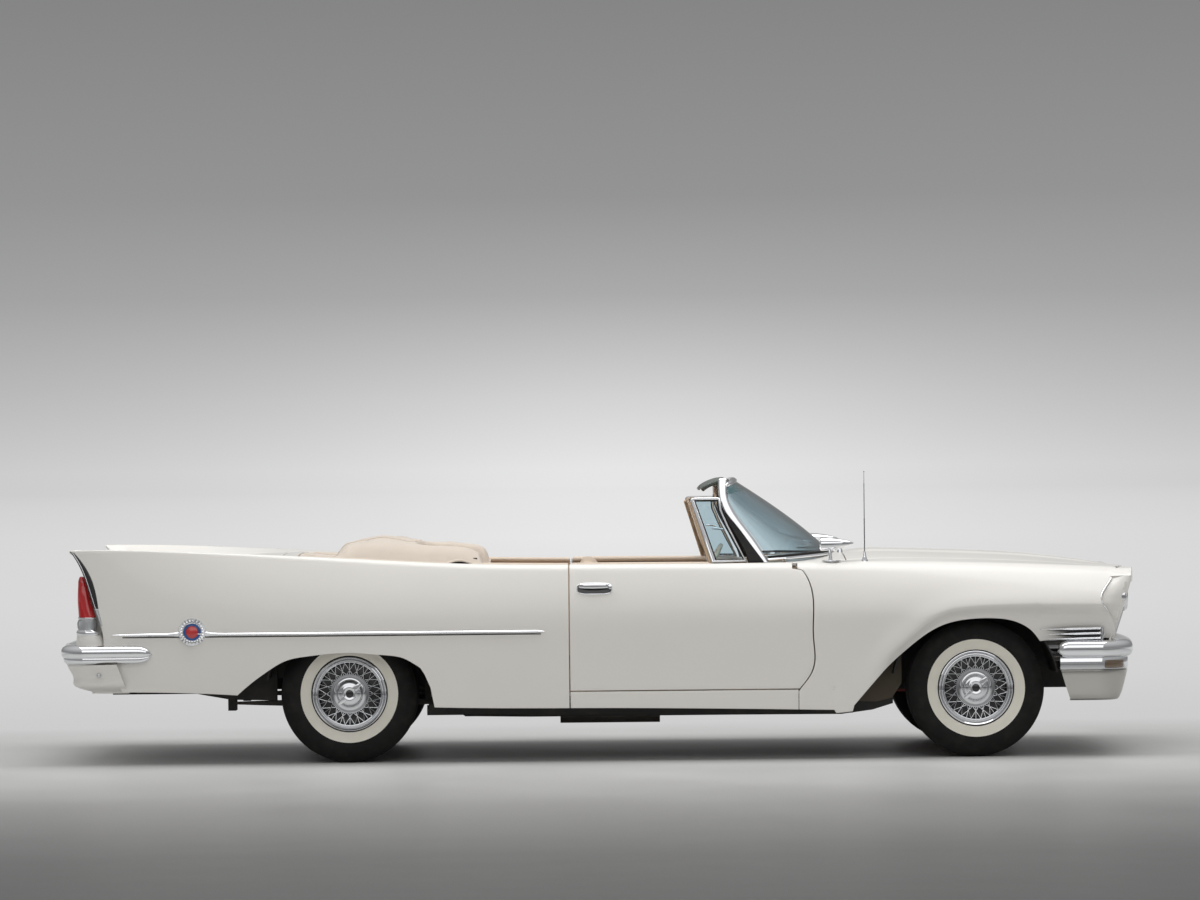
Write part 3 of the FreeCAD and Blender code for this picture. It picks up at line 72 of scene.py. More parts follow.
@dataclass(frozen=True)
class Finish:
    """One procedural finish: its colour, gloss and surface structure."""

    name: str
    colour: Colour
    rough: float = 0.4
    metal: float = 0.0
    coat: float = 0.0
    shine: float = 0.5
    sheen: float = 0.0
    tone: float = 0.04
    grain: Grain = Grain.SMOOTH
    scale: float = 40.0
    depth: float = 0.02
    dirt: float = 0.0
    dirt_colour: Colour = (0.10, 0.08, 0.06)

    def material(self) -> bpy.types.Material:
        """The Blender material of this finish, made once.

        Returns:
            The material.
        """
        known = bpy.data.materials.get(self.name)
        if known is not None:
            return known
        mat = bpy.data.materials.new(self.name)
        mat.use_nodes = True
        tree = mat.node_tree
        shader = tree.nodes["Principled BSDF"]
        shader.inputs["Metallic"].default_value = self.metal
        shader.inputs["Coat Weight"].default_value = self.coat
        shader.inputs["Specular IOR Level"].default_value = self.shine
        shader.inputs["Coat Roughness"].default_value = 0.04
        shader.inputs["Sheen Weight"].default_value = self.sheen
        place = tree.nodes.new("ShaderNodeTexCoord").outputs["Object"]
        cloud = self._noise(tree, place, self.scale * 0.12, 4.0)
        tint = tree.nodes.new("ShaderNodeMix")
        tint.data_type = "RGBA"
        low = tuple(c * (1 - self.tone) for c in self.colour)
        high = tuple(min(1.0, c * (1 + self.tone)) for c in self.colour)
        tint.inputs[6].default_value = (*low, 1)
        tint.inputs[7].default_value = (*high, 1)
        tree.links.new(cloud, tint.inputs[0])
        colour = tint.outputs[2]
        if self.dirt > 0:
            colour = self._soiled(tree, place, colour)
        tree.links.new(colour, shader.inputs["Base Color"])
        self._roughness(tree, cloud, shader)
        self._bump(tree, place, shader)
        return mat

    @staticmethod
    def _noise(tree: bpy.types.NodeTree, place: bpy.types.NodeSocket, scale: float,
               detail: float) -> bpy.types.NodeSocket:
        """A noise texture's factor at a scale."""
        noise = tree.nodes.new("ShaderNodeTexNoise")
        noise.inputs["Scale"].default_value = scale
        noise.inputs["Detail"].default_value = detail
        tree.links.new(place, noise.inputs["Vector"])
        return noise.outputs["Fac"]

    def _soiled(self, tree: bpy.types.NodeTree, place: bpy.types.NodeSocket,
                colour: bpy.types.NodeSocket) -> bpy.types.NodeSocket:
        """The colour with dust and stains laid over it."""
        patch = tree.nodes.new("ShaderNodeMapRange")
        patch.inputs["From Min"].default_value = 0.45
        patch.inputs["From Max"].default_value = 0.75
        patch.inputs["To Max"].default_value = self.dirt
        tree.links.new(self._noise(tree, place, self.scale * 0.3, 8.0), patch.inputs["Value"])
        soil = tree.nodes.new("ShaderNodeMix")
        soil.data_type = "RGBA"
        soil.inputs[7].default_value = (*self.dirt_colour, 1)
        tree.links.new(patch.outputs["Result"], soil.inputs[0])
        tree.links.new(colour, soil.inputs[6])
        return soil.outputs[2]

    def _roughness(self, tree: bpy.types.NodeTree, cloud: bpy.types.NodeSocket,
                   shader: bpy.types.Node) -> None:
        """Lets the gloss vary a little over the surface."""
        spread = tree.nodes.new("ShaderNodeMapRange")
        spread.inputs["To Min"].default_value = max(0.0, self.rough * 0.8)
        spread.inputs["To Max"].default_value = min(1.0, self.rough * 1.2)
        tree.links.new(cloud, spread.inputs["Value"])
        tree.links.new(spread.outputs["Result"], shader.inputs["Roughness"])

    def _bump(self, tree: bpy.types.NodeTree, place: bpy.types.NodeSocket,
              shader: bpy.types.Node) -> None:
        """Adds the surface structure of the grain."""
        nodes, links = tree.nodes, tree.links
        bump = nodes.new("ShaderNodeBump")
        bump.inputs["Strength"].default_value = 1.0 if self.grain != Grain.SMOOTH else 0.15
        bump.inputs["Distance"].default_value = self.depth * 0.01
        if self.grain == Grain.LEATHER:
            cells = nodes.new("ShaderNodeTexVoronoi")
            cells.feature = "DISTANCE_TO_EDGE"
            cells.inputs["Scale"].default_value = self.scale * 8
            links.new(place, cells.inputs["Vector"])
            height = cells.outputs["Distance"]
        elif self.grain == Grain.WEAVE:
            height = self._weave(tree, place)
        else:
            height = self._noise(tree, place, self.scale * 6, 6.0)
        links.new(height, bump.inputs["Height"])
        links.new(bump.outputs["Normal"], shader.inputs["Normal"])

    def _weave(self, tree: bpy.types.NodeTree, place: bpy.types.NodeSocket) -> bpy.types.NodeSocket:
        """Crossed threads as a height."""
        threads = []
        for axis in ("X", "Y"):
            wave = tree.nodes.new("ShaderNodeTexWave")
            wave.bands_direction = axis
            wave.inputs["Scale"].default_value = self.scale * 6
            wave.inputs["Distortion"].default_value = 0.6
            tree.links.new(place, wave.inputs["Vector"])
            threads.append(wave.outputs["Fac"])
        join = tree.nodes.new("ShaderNodeMath")
        join.operation = "MAXIMUM"
        tree.links.new(threads[0], join.inputs[0])
        tree.links.new(threads[1], join.inputs[1])
        return join.outputs["Value"]


@dataclass(frozen=True)
class GlassFinish:
    """A clear or tinted pane."""

    name: str
    colour: Colour
    rough: float = 0.0
    clear: float = 1.0
    # Painted shade: the darker colour that the pane takes where it is seen edge-on.
    edge: Colour | None = None

    def material(self) -> bpy.types.Material:
        """The Blender material of the pane, made once.

        Returns:
            The material.
        """
        known = bpy.data.materials.get(self.name)
        if known is not None:
            return known
        mat = bpy.data.materials.new(self.name)
        mat.use_nodes = True
        tree = mat.node_tree
        shader = tree.nodes["Principled BSDF"]
        shader.inputs["Transmission Weight"].default_value = self.clear
        shader.inputs["IOR"].default_value = 1.45
        place = tree.nodes.new("ShaderNodeTexCoord").outputs["Object"]
        cloud = Finish._noise(tree, place, 3.0, 2.0)
        tint = tree.nodes.new("ShaderNodeMix")
        tint.data_type = "RGBA"
        tint.inputs[6].default_value = (*self.colour, 1)
        tint.inputs[7].default_value = (*[min(1.0, c * 1.04) for c in self.colour], 1)
        tree.links.new(cloud, tint.inputs[0])
        colour = tint.outputs[2]
        # Painted shade: towards grazing views the colour mixes into the edge colour, in place of the longer path of
        # light through the glass.
        if self.edge is not None:
            slant = tree.nodes.new("ShaderNodeLayerWeight")
            slant.inputs["Blend"].default_value = 0.35
            thick = tree.nodes.new("ShaderNodeMix")
            thick.data_type = "RGBA"
            thick.inputs[7].default_value = (*self.edge, 1)
            tree.links.new(slant.outputs["Facing"], thick.inputs[0])
            tree.links.new(colour, thick.inputs[6])
            colour = thick.outputs[2]
        tree.links.new(colour, shader.inputs["Base Color"])
        haze = tree.nodes.new("ShaderNodeMapRange")
        haze.inputs["To Min"].default_value = self.rough
        haze.inputs["To Max"].default_value = self.rough + 0.02
        tree.links.new(cloud, haze.inputs["Value"])
        tree.links.new(haze.outputs["Result"], shader.inputs["Roughness"])
        return mat


PAINT = Finish("ivory_body_paint", (0.835, 0.813, 0.768), rough=0.42, coat=0.45, tone=0.012, scale=30, depth=0.004)
CHROME = Finish("bright_chrome", (0.83, 0.84, 0.86), rough=0.05, metal=1.0, tone=0.03, scale=25, depth=0.003)
# Painted shade: a darkened copy of chrome for the front bumper's apron, standing in for its reflection of the dark
# floor.
APRON_SHADED_CHROME = Finish("apron_bright_metal", (0.50, 0.49, 0.46), rough=0.22, metal=1.0, tone=0.05, scale=12, depth=0.004)
# Painted shade: a darker copy of chrome for the wheels' rim, dish and wires, standing in for their darker reflections.
SHADED_WHEEL_CHROME = Finish("wheel_chrome", (0.70, 0.71, 0.73), rough=0.04, metal=1.0, tone=0.05, scale=25, depth=0.003)
SATIN = Finish("satin_bright_metal", (0.62, 0.63, 0.64), rough=0.28, metal=1.0, tone=0.05, scale=30, depth=0.01)
RUBBER = Finish("tyre_rubber", (0.009, 0.0087, 0.0084), rough=0.70, shine=0.22, tone=0.2, grain=Grain.CAST, scale=60,
                depth=0.03, dirt=0.12, dirt_colour=(0.09, 0.08, 0.07))
WHITEWALL = Finish("cream_whitewall", (0.80, 0.77, 0.68), rough=0.55, tone=0.04, grain=Grain.CAST, scale=40,
                   depth=0.02, dirt=0.10, dirt_colour=(0.45, 0.38, 0.28))
BLACK = Finish("matt_black_underside", (0.020, 0.019, 0.018), rough=0.7, tone=0.25, grain=Grain.CAST, scale=30,
               depth=0.06, dirt=0.35, dirt_colour=(0.09, 0.075, 0.06))
# Painted shade with dust: the body-coloured wheelhouse wall in the front opening, in shadow, given this brown.
SPLASH_SHADE_AND_DUST = Finish("brown_splash_panel", (0.085, 0.068, 0.045), rough=0.7, tone=0.25, grain=Grain.CAST, scale=30)
GLOSS_BLACK = Finish("gloss_black", (0.012, 0.012, 0.013), rough=0.25, coat=0.5, tone=0.1, scale=40)
IRON = Finish("rough_iron", (0.06, 0.055, 0.05), rough=0.6, metal=0.6, tone=0.3, grain=Grain.CAST, scale=50,
              depth=0.08, dirt=0.4, dirt_colour=(0.11, 0.07, 0.045))
STEEL = Finish("dull_pipe_steel", (0.22, 0.20, 0.18), rough=0.5, metal=0.8, tone=0.25, grain=Grain.CAST,
               scale=40, depth=0.05, dirt=0.4, dirt_colour=(0.16, 0.09, 0.05))
ENGINE_RED = Finish("engine_enamel", (0.33, 0.045, 0.03), rough=0.4, coat=0.4, tone=0.08, grain=Grain.CAST,
                    scale=30, depth=0.04, dirt=0.2)
LEATHER = Finish("tan_leather", (0.60, 0.46, 0.34), rough=0.45, coat=0.15, tone=0.08, grain=Grain.LEATHER,
                 scale=26, depth=0.05)
PALE_LEATHER = Finish("pale_tan_leather", (0.70, 0.58, 0.47), rough=0.45, coat=0.1, tone=0.06,
                      grain=Grain.LEATHER, scale=26, depth=0.05)
CLOTH = Finish("tan_boot_cloth", (0.72, 0.63, 0.54), rough=0.85, sheen=0.25, tone=0.06, grain=Grain.WEAVE,
               scale=60, depth=0.04)
CARPET = Finish("tan_carpet", (0.34, 0.24, 0.15), rough=0.95, sheen=0.3, tone=0.15, grain=Grain.PILE,
                scale=80, depth=0.3)
DASH = Finish("tan_dash_enamel", (0.50, 0.36, 0.23), rough=0.3, coat=0.6, tone=0.03, scale=30)
IVORY_RESIN = Finish("ivory_resin", (0.74, 0.68, 0.54), rough=0.25, coat=0.6, tone=0.03, scale=30)
RED_ENAMEL = Finish("red_enamel", (0.55, 0.03, 0.03), rough=0.2, coat=1.0, tone=0.04, scale=30)
BLUE_ENAMEL = Finish("blue_enamel", (0.03, 0.10, 0.32), rough=0.2, coat=1.0, tone=0.04, scale=30)
RED_LENS = Finish("ruby_lens", (0.50, 0.012, 0.015), rough=0.12, coat=1.0, tone=0.08, scale=50, depth=0.02)
AMBER_LENS = Finish("smoked_lens", (0.16, 0.11, 0.07), rough=0.15, coat=1.0, tone=0.1, scale=50, depth=0.02)
CLEAR_LENS = GlassFinish("clear_lens", (0.93, 0.95, 0.97), rough=0.04, clear=0.85)
TINTED = GlassFinish("tinted_pane", (0.72, 0.82, 0.86), edge=(0.14, 0.25, 0.29))
SHADED = GlassFinish("shaded_glass", (0.42, 0.58, 0.59), edge=(0.12, 0.24, 0.26))
VISOR = Finish("grey_green_visor", (0.10, 0.115, 0.10), rough=0.5, coat=0.1, tone=0.06, grain=Grain.LEATHER,
               scale=30, depth=0.04)
MIRROR = Finish("mirror_face", (0.90, 0.91, 0.92), rough=0.02, metal=1.0, tone=0.01, scale=10, depth=0.0)


# Workshop

LEFTWARD = Vector((0, 1, 0)).freeze()
UP = Vector((0, 0, 1)).freeze()
AXIS = 0.0005  # the radius at which a turned outline closes on its axis


class Workshop:
    """Moves with Blender's own tools that every sub-assembly shares."""

    @staticmethod
    def clear() -> None:
        """Leaves nothing selected."""
        if bpy.context.object is not None and bpy.context.object.mode != "OBJECT":
            bpy.ops.object.mode_set(mode="OBJECT")
        bpy.ops.object.select_all(action="DESELECT")

    @staticmethod
    def pick(obj: bpy.types.Object) -> None:
        """Selects one object alone and makes it active."""
        Workshop.clear()
        obj.select_set(True)
        bpy.context.view_layer.objects.active = obj

    @staticmethod
    def grid(name: str, columns: int, rows: int, place: Callable[[float, float], Vector],
             outward: Vector) -> bpy.types.Object:
        """A sheet panel: a grid laid onto a shape.

        Args:
            name: The new object's name.
            columns: Quads along the first direction.
            rows: Quads along the second direction.
            place: Gives the point for a share of each direction.
            outward: A direction that the sheet's outside mostly faces.

        Returns:
            The panel.
        """
        Workshop.clear()
        bpy.ops.mesh.primitive_grid_add(x_subdivisions=columns, y_subdivisions=rows, size=2)
        obj = bpy.context.object
        obj.name = obj.data.name = name
        for vert in obj.data.vertices:
            vert.co = place((vert.co.x + 1) / 2, (vert.co.y + 1) / 2)
        obj.data.update()
        facing = sum((p.normal * p.area for p in obj.data.polygons), Vector())
        if facing.dot(outward) < 0:
            obj.data.flip_normals()
        return obj

    @staticmethod
    def ring(name: str, columns: int, rows: int, place: Callable[[float, float], Vector],
             angle: float = 40.0) -> bpy.types.Object:
        """A grid that closes on itself, its seam merged, shaded smooth up to the angle."""
        return Workshop.smooth(Workshop.tidy(Workshop.grid(name, columns, rows, place, UP)), angle)

    @staticmethod
    def modify(obj: bpy.types.Object, kind: str, **settings: object) -> bpy.types.Object:
        """Adds a modifier with its settings and applies it."""
        Workshop.pick(obj)
        mod = obj.modifiers.new(kind.lower(), kind)
        for key, value in settings.items():
            setattr(mod, key, value)
        bpy.ops.object.modifier_apply(modifier=mod.name)
        return obj

    @staticmethod
    def thicken(obj: bpy.types.Object, thickness: float, edge: float = 0.0015) -> bpy.types.Object:
        """Gives a sheet its wall, inwards, and softens its edges."""
        Workshop.modify(obj, "SOLIDIFY", thickness=thickness, offset=-1.0, use_even_offset=True)
        if edge > 0:
            Workshop.modify(obj, "BEVEL", width=edge, segments=2, limit_method="ANGLE",
                            angle_limit=math.radians(50))
        return Workshop.smooth(obj)

    @staticmethod
    def smooth(obj: bpy.types.Object, angle: float = 40.0) -> bpy.types.Object:
        """Shades smooth but for edges sharper than the angle."""
        Workshop.pick(obj)
        bpy.ops.object.shade_smooth_by_angle(angle=math.radians(angle))
        return obj

    @staticmethod
    def tidy(obj: bpy.types.Object, distance: float = 1e-5) -> bpy.types.Object:
        """Merges doubles and points every face outwards."""
        Workshop.pick(obj)
        bpy.ops.object.mode_set(mode="EDIT")
        bpy.ops.mesh.select_all(action="SELECT")
        bpy.ops.mesh.remove_doubles(threshold=distance)
        bpy.ops.mesh.normals_make_consistent(inside=False)
        bpy.ops.object.mode_set(mode="OBJECT")
        return obj

    @staticmethod
    def loop(name: str, points: Sequence[Vector], filled: bool = False) -> bpy.types.Object:
        """A closed outline: a circle whose corners are drawn to the points."""
        Workshop.clear()
        bpy.ops.mesh.primitive_circle_add(vertices=len(points), radius=1,
                                          fill_type="NGON" if filled else "NOTHING")
        obj = bpy.context.object
        obj.name = obj.data.name = name
        for vert, point in zip(obj.data.vertices, points):
            vert.co = point
        return obj

    @staticmethod
    def turned(name: str, profile: Sequence[Point], centre: Vector, steps: int = 96,
               axis: Vector = LEFTWARD) -> bpy.types.Object:
        """A lathed piece from a closed outline of radius against distance along its axis.

        Args:
            name: The new object's name.
            profile: Radius and distance along the axis of each corner.
            centre: Where the axis has its zero.
            steps: How many facets go round.
            axis: The direction of the axis.

        Returns:
            The closed piece.
        """
        along = axis.normalized()
        across = along.orthogonal().normalized()
        obj = Workshop.loop(name, [centre + across * r + along * d for r, d in profile])
        bpy.ops.object.mode_set(mode="EDIT")
        bpy.ops.mesh.select_all(action="SELECT")
        bpy.ops.mesh.spin(steps=steps, angle=math.tau, center=centre, axis=along)
        bpy.ops.object.mode_set(mode="OBJECT")
        Workshop.tidy(obj)
        return Workshop.smooth(obj, 32)

    @staticmethod
    def slab(name: str, outline: Sequence[Vector], push: Vector, edge: float = 0.0,
             segments: int = 2) -> bpy.types.Object:
        """A flat outline pushed into a block, its edges bevelled."""
        obj = Workshop.loop(name, outline, filled=True)
        bpy.ops.object.mode_set(mode="EDIT")
        bpy.ops.mesh.select_all(action="SELECT")
        bpy.ops.mesh.extrude_region_move(TRANSFORM_OT_translate={"value": push})
        bpy.ops.mesh.select_all(action="SELECT")
        bpy.ops.mesh.normals_make_consistent(inside=False)
        if edge > 0:
            bpy.ops.mesh.bevel(offset=edge, segments=segments, affect="EDGES")
        bpy.ops.object.mode_set(mode="OBJECT")
        return Workshop.smooth(obj, 35)

    @staticmethod
    def block(name: str, low: Vector, high: Vector, edge: float, segments: int = 3) -> bpy.types.Object:
        """A cube drawn to two corners, its edges bevelled."""
        corners = [Vector((low.x, low.y, low.z)), Vector((high.x, low.y, low.z)),
                   Vector((high.x, high.y, low.z)), Vector((low.x, high.y, low.z))]
        return Workshop.slab(name, corners, Vector((0, 0, high.z - low.z)), edge, segments)

    @staticmethod
    def rod(name: str, path: Sequence[Vector], radius: float, sides: int = 10,
            radii: Sequence[float] | None = None, cyclic: bool = False) -> bpy.types.Object:
        """A round bar along a smooth path."""
        curve = bpy.data.curves.new(name, "CURVE")
        curve.dimensions = "3D"
        curve.bevel_depth = radius
        curve.bevel_resolution = max(1, sides // 4)
        curve.use_fill_caps = True
        line = curve.splines.new("POLY")
        line.points.add(len(path) - 1)
        for i, (point, place) in enumerate(zip(line.points, path)):
            point.co = (*place, 1)
            point.radius = 1.0 if radii is None else radii[i]
        line.use_cyclic_u = cyclic
        made = bpy.data.objects.new(name, curve)
        bpy.context.scene.collection.objects.link(made)
        Workshop.pick(made)
        bpy.ops.object.convert(target="MESH")
        return Workshop.smooth(Workshop.tidy(bpy.context.object), 50)

    @staticmethod
    def join(name: str, pieces: Sequence[bpy.types.Object]) -> bpy.types.Object:
        """Several pieces as one object, materials kept."""
        Workshop.clear()
        for piece in pieces:
            piece.select_set(True)
        bpy.context.view_layer.objects.active = pieces[0]
        bpy.ops.object.join()
        obj = bpy.context.object
        obj.name = obj.data.name = name
        return obj

    @staticmethod
    def copy(obj: bpy.types.Object, name: str, change: Matrix) -> bpy.types.Object:
        """A copy with its own mesh, moved, turned or mirrored."""
        twin = obj.copy()
        twin.data = obj.data.copy()
        twin.name = twin.data.name = name
        bpy.context.scene.collection.objects.link(twin)
        twin.data.transform(change)
        if change.determinant() < 0:
            twin.data.flip_normals()
        return twin

    @staticmethod
    def mirror(obj: bpy.types.Object, name: str) -> bpy.types.Object:
        """The twin of a left-hand piece on the right."""
        return Workshop.copy(obj, name, Matrix.Scale(-1, 4, LEFTWARD))


class Rack:
    """Books every finished piece: its finish, its body and the nodes it stands for."""

    @staticmethod
    def dress(obj: bpy.types.Object, finish: Finish | GlassFinish) -> bpy.types.Object:
        """Gives a piece one finish all over."""
        obj.data.materials.clear()
        obj.data.materials.append(finish.material())
        return obj

    @staticmethod
    def book(obj: bpy.types.Object, body: str, slot: str, nodes: Iterable[str] = ()) -> bpy.types.Object:
        """Lets a piece ride on its body in place of CAD nodes.

        Args:
            obj: The finished piece.
            body: The body that it rides on.
            slot: The record's material slot; not used.
            nodes: CAD nodes that it stands for.

        Returns:
            The piece.
        """
        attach(obj, body)
        if list(nodes):
            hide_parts(*nodes)
        log.info("piece %s on %s", obj.name, body)
        return obj

    @staticmethod
    def pair(left: bpy.types.Object, body: str, slot: str, nodes: Sequence[str] = ()) -> None:
        """Books a left-hand piece and its twin, which takes the right-hand names.

        Args:
            left: The finished piece, with "left" in its name.
            body: The body that it rides on.
            slot: The record's material slot.
            nodes: CAD nodes that it stands for.
        """
        right = Workshop.mirror(left, left.name.replace("left", "right"))
        Rack.book(left, body, slot, nodes)
        Rack.book(right, body.replace("left", "right"), slot, [node.replace("left", "right") for node in nodes])


# Shape of the body

@dataclass(frozen=True)
class Track:
    """A natural cubic through points of a long line."""

    shares: tuple[Point, ...]
    span: float
    size: float

    def __call__(self, x: float) -> float:
        """The line's value at a place."""
        xs = [a * self.span for a, _ in self.shares]
        ys = [b * self.size for _, b in self.shares]
        bends = self._bends(tuple(xs), tuple(ys))
        i = 0
        while i < len(xs) - 2 and x > xs[i + 1]:
            i += 1
        h = xs[i + 1] - xs[i]
        a = (xs[i + 1] - x) / h
        b = 1 - a
        if a > 1 or b > 1:
            end, near = (0, 1) if a > 1 else (len(xs) - 1, len(xs) - 2)
            return ys[end] + (ys[near] - ys[end]) / (xs[near] - xs[end]) * (x - xs[end])
        bend = (a ** 3 - a) * bends[i] + (b ** 3 - b) * bends[i + 1]
        return a * ys[i] + b * ys[i + 1] + bend * h * h / 6

    def _bends(self, xs: tuple[float, ...], ys: tuple[float, ...]) -> list[float]:
        """Second slopes at the points, kept once worked out."""
        key = (xs, ys)
        if key in _BENDS:
            return _BENDS[key]
        count = len(xs)
        steps = [xs[i + 1] - xs[i] for i in range(count - 1)]
        upper, known, bends = [0.0] * count, [0.0] * count, [0.0] * count
        for i in range(1, count - 1):
            slope = (ys[i + 1] - ys[i]) / steps[i] - (ys[i] - ys[i - 1]) / steps[i - 1]
            pivot = 2 * (steps[i - 1] + steps[i]) - steps[i - 1] * upper[i - 1]
            upper[i] = steps[i] / pivot
            known[i] = (6 * slope - steps[i - 1] * known[i - 1]) / pivot
        for i in range(count - 2, 0, -1):
            bends[i] = known[i] - upper[i] * bends[i + 1]
        _BENDS[key] = bends
        return bends


_BENDS: dict[tuple, list[float]] = {}
HALF_LENGTH = 2.784
HALF_WIDTH = 1.001
FIN = 1.107
TYRE = 0.352
FRONT_HUB = Vector((1.922, 0.777, TYRE))
REAR_HUB = Vector((-1.278, 0.762, TYRE))
GAP = 0.006


def _height(*shares: Point) -> Track:
    """A long line in shares of the half length and the fin's height."""
    return Track(shares, HALF_LENGTH, FIN)


def _width(*shares: Point) -> Track:
    """A long line in shares of the half length and the half width."""
    return Track(shares, HALF_LENGTH, HALF_WIDTH)


class Lines:
    """The long lines of the body, the same as the frame's."""

    crest_z = _height((-1.000, 1.000), (-0.875, 0.998), (-0.765, 0.987), (-0.590, 0.964), (-0.363, 0.933),
                      (-0.180, 0.915), (0.000, 0.912), (0.259, 0.909), (0.503, 0.904), (0.700, 0.894),
                      (0.850, 0.881), (1.000, 0.863))
    crest_y = _width((-1.000, 0.930), (-0.765, 0.915), (-0.470, 0.905), (-0.150, 0.918), (0.150, 0.922),
                     (0.400, 0.900), (0.650, 0.860), (0.850, 0.822), (1.000, 0.790))
    waist_y = _width((-1.000, 0.930), (-0.850, 0.954), (-0.600, 0.990), (-0.300, 1.000), (0.000, 1.000),
                     (0.300, 1.000), (0.550, 0.997), (0.750, 0.982), (0.900, 0.955), (1.000, 0.925))
    waist_z = _height((-1.000, 0.600), (0.000, 0.620), (0.500, 0.640), (1.000, 0.660))
    sill_y = _width((-1.000, 0.900), (-0.600, 0.950), (0.000, 0.965), (0.500, 0.960), (1.000, 0.900))
    sill_z = _height((-1.000, 0.338), (-0.663, 0.320), (-0.500, 0.285), (-0.305, 0.257), (0.000, 0.246),
                     (0.475, 0.224))
    nose_bottom = _height((0.300, 0.230), (0.475, 0.224), (0.560, 0.300), (0.640, 0.430), (0.740, 0.500),
                          (0.810, 0.531), (1.000, 0.531))
    shelf_y = _width((-1.000, 0.720), (-0.800, 0.715), (-0.600, 0.700), (-0.500, 0.740), (-0.400, 0.800),
                     (-0.200, 0.815), (0.200, 0.815), (0.350, 0.790), (0.450, 0.745), (0.700, 0.660),
                     (0.900, 0.585), (1.000, 0.560))
    shelf_z = _height((-1.000, 0.780), (-0.940, 0.826), (-0.860, 0.885), (-0.720, 0.932), (-0.600, 0.943),
                      (-0.450, 0.930), (-0.300, 0.908), (-0.150, 0.898), (0.250, 0.896), (0.400, 0.906),
                      (0.500, 0.916), (0.700, 0.908), (0.850, 0.888), (1.000, 0.856))
    hood_z = _height((0.300, 0.930), (0.440, 0.944), (0.500, 0.952), (0.580, 0.948), (0.658, 0.941),
                     (0.768, 0.927), (0.850, 0.907), (0.902, 0.890), (0.953, 0.872), (1.000, 0.855))
    lid_z = _height((-1.000, 0.700), (-0.955, 0.800), (-0.900, 0.868), (-0.800, 0.925), (-0.700, 0.950),
                    (-0.589, 0.962), (-0.520, 0.962), (-0.480, 0.955))
    nose_x = Track(((0.515, 0.9638), (0.567, 0.9695), (0.631, 0.9781), (0.690, 0.9849), (0.752, 0.9907),
                    (0.812, 0.9960), (0.870, 0.9950)), FIN, HALF_LENGTH)
    flare_z = _height((0.430, 0.250), (0.475, 0.345), (0.521, 0.470), (0.563, 0.565), (0.598, 0.635),
                      (0.633, 0.680), (0.672, 0.698), (0.721, 0.705), (0.820, 0.706), (1.000, 0.700))
    tail_x = Track(((0.330, -0.8707), (0.470, -0.9030), (0.603, -0.9073), (0.723, -0.9217),
                    (0.837, -0.9357), (0.944, -0.9536), (0.995, -0.9662), (1.020, -0.9720)),
                   FIN, HALF_LENGTH)
    arch_front: tuple[Point, ...] = (
        (-1.790, -0.235), (-1.705, -0.136), (-1.341, 0.278), (-1.006, 0.580), (-0.727, 0.795), (-0.452, 0.935),
        (-0.148, 1.000), (0.241, 1.014), (0.517, 0.977), (0.710, 0.895), (0.847, 0.781), (0.957, 0.628))
    arch_rear: tuple[Point, ...] = (
        (-1.602, 0.014), (-1.341, 0.227), (-1.159, 0.355), (-0.938, 0.486), (-0.673, 0.554),
        (-0.452, 0.580), (0.000, 0.611), (0.435, 0.580), (0.653, 0.560), (0.830, 0.514),
        (0.986, 0.423), (1.094, 0.313), (1.170, 0.133), (1.210, -0.043), (1.224, -0.200))


def between(value: float, low: float, high: float) -> float:
    """The value kept between two limits."""
    return max(low, min(high, value))


def blunt(value: float, power: float) -> float:
    """A power that keeps the value's sign, for rounded boxes."""
    return math.copysign(abs(value) ** power, value)


def mix(start: float, end: float, share: float) -> float:
    """The value at a share of the way between two values."""
    return start + (end - start) * share


def ease(t: float) -> float:
    """A smooth step from 0 to 1."""
    t = between(t, 0.0, 1.0)
    return t * t * (3 - 2 * t)


def side_y(x: float, z: float, low: float) -> float:
    """How wide the plain body side is at a place, before its flare."""
    top, wide = Lines.crest_z(x), Lines.waist_z(x)
    if z > wide:
        t = (top - z) / (top - wide)
        return Lines.waist_y(x) - (Lines.waist_y(x) - Lines.crest_y(x)) * (1 - t) ** 2
    t = (wide - z) / (wide - low)
    return Lines.waist_y(x) + (Lines.sill_y(x) - Lines.waist_y(x)) * t * t


@dataclass(frozen=True)
class Flare:
    """The ridge that runs over the front wheel opening and on to the nose."""

    depth: float = 0.012
    reach: float = 0.062
    under: float = 0.040
    drop: float = 0.062
    fade_from: float = 1.25
    fade_to: float = 1.50

    def offset(self, x: float, z: float) -> float:
        """How far the ridge lifts or sinks the side at a place."""
        if x < self.fade_from - 0.05:
            return 0.0
        line = Lines.flare_z(x)
        slope = (Lines.flare_z(x + 0.01) - Lines.flare_z(x - 0.01)) / 0.02
        away = (z - line) / math.sqrt(1 + slope * slope)
        fade = ease((x - self.fade_from) / (self.fade_to - self.fade_from))
        if away >= 0:
            return self.depth * fade * math.exp(-(away / self.reach) ** 2)
        share = ease(-away / self.drop)
        late = ease((x - 1.34) / 0.22)
        return fade * (self.depth - (self.depth + self.under) * share * late)


FLARE = Flare()


# Body panels

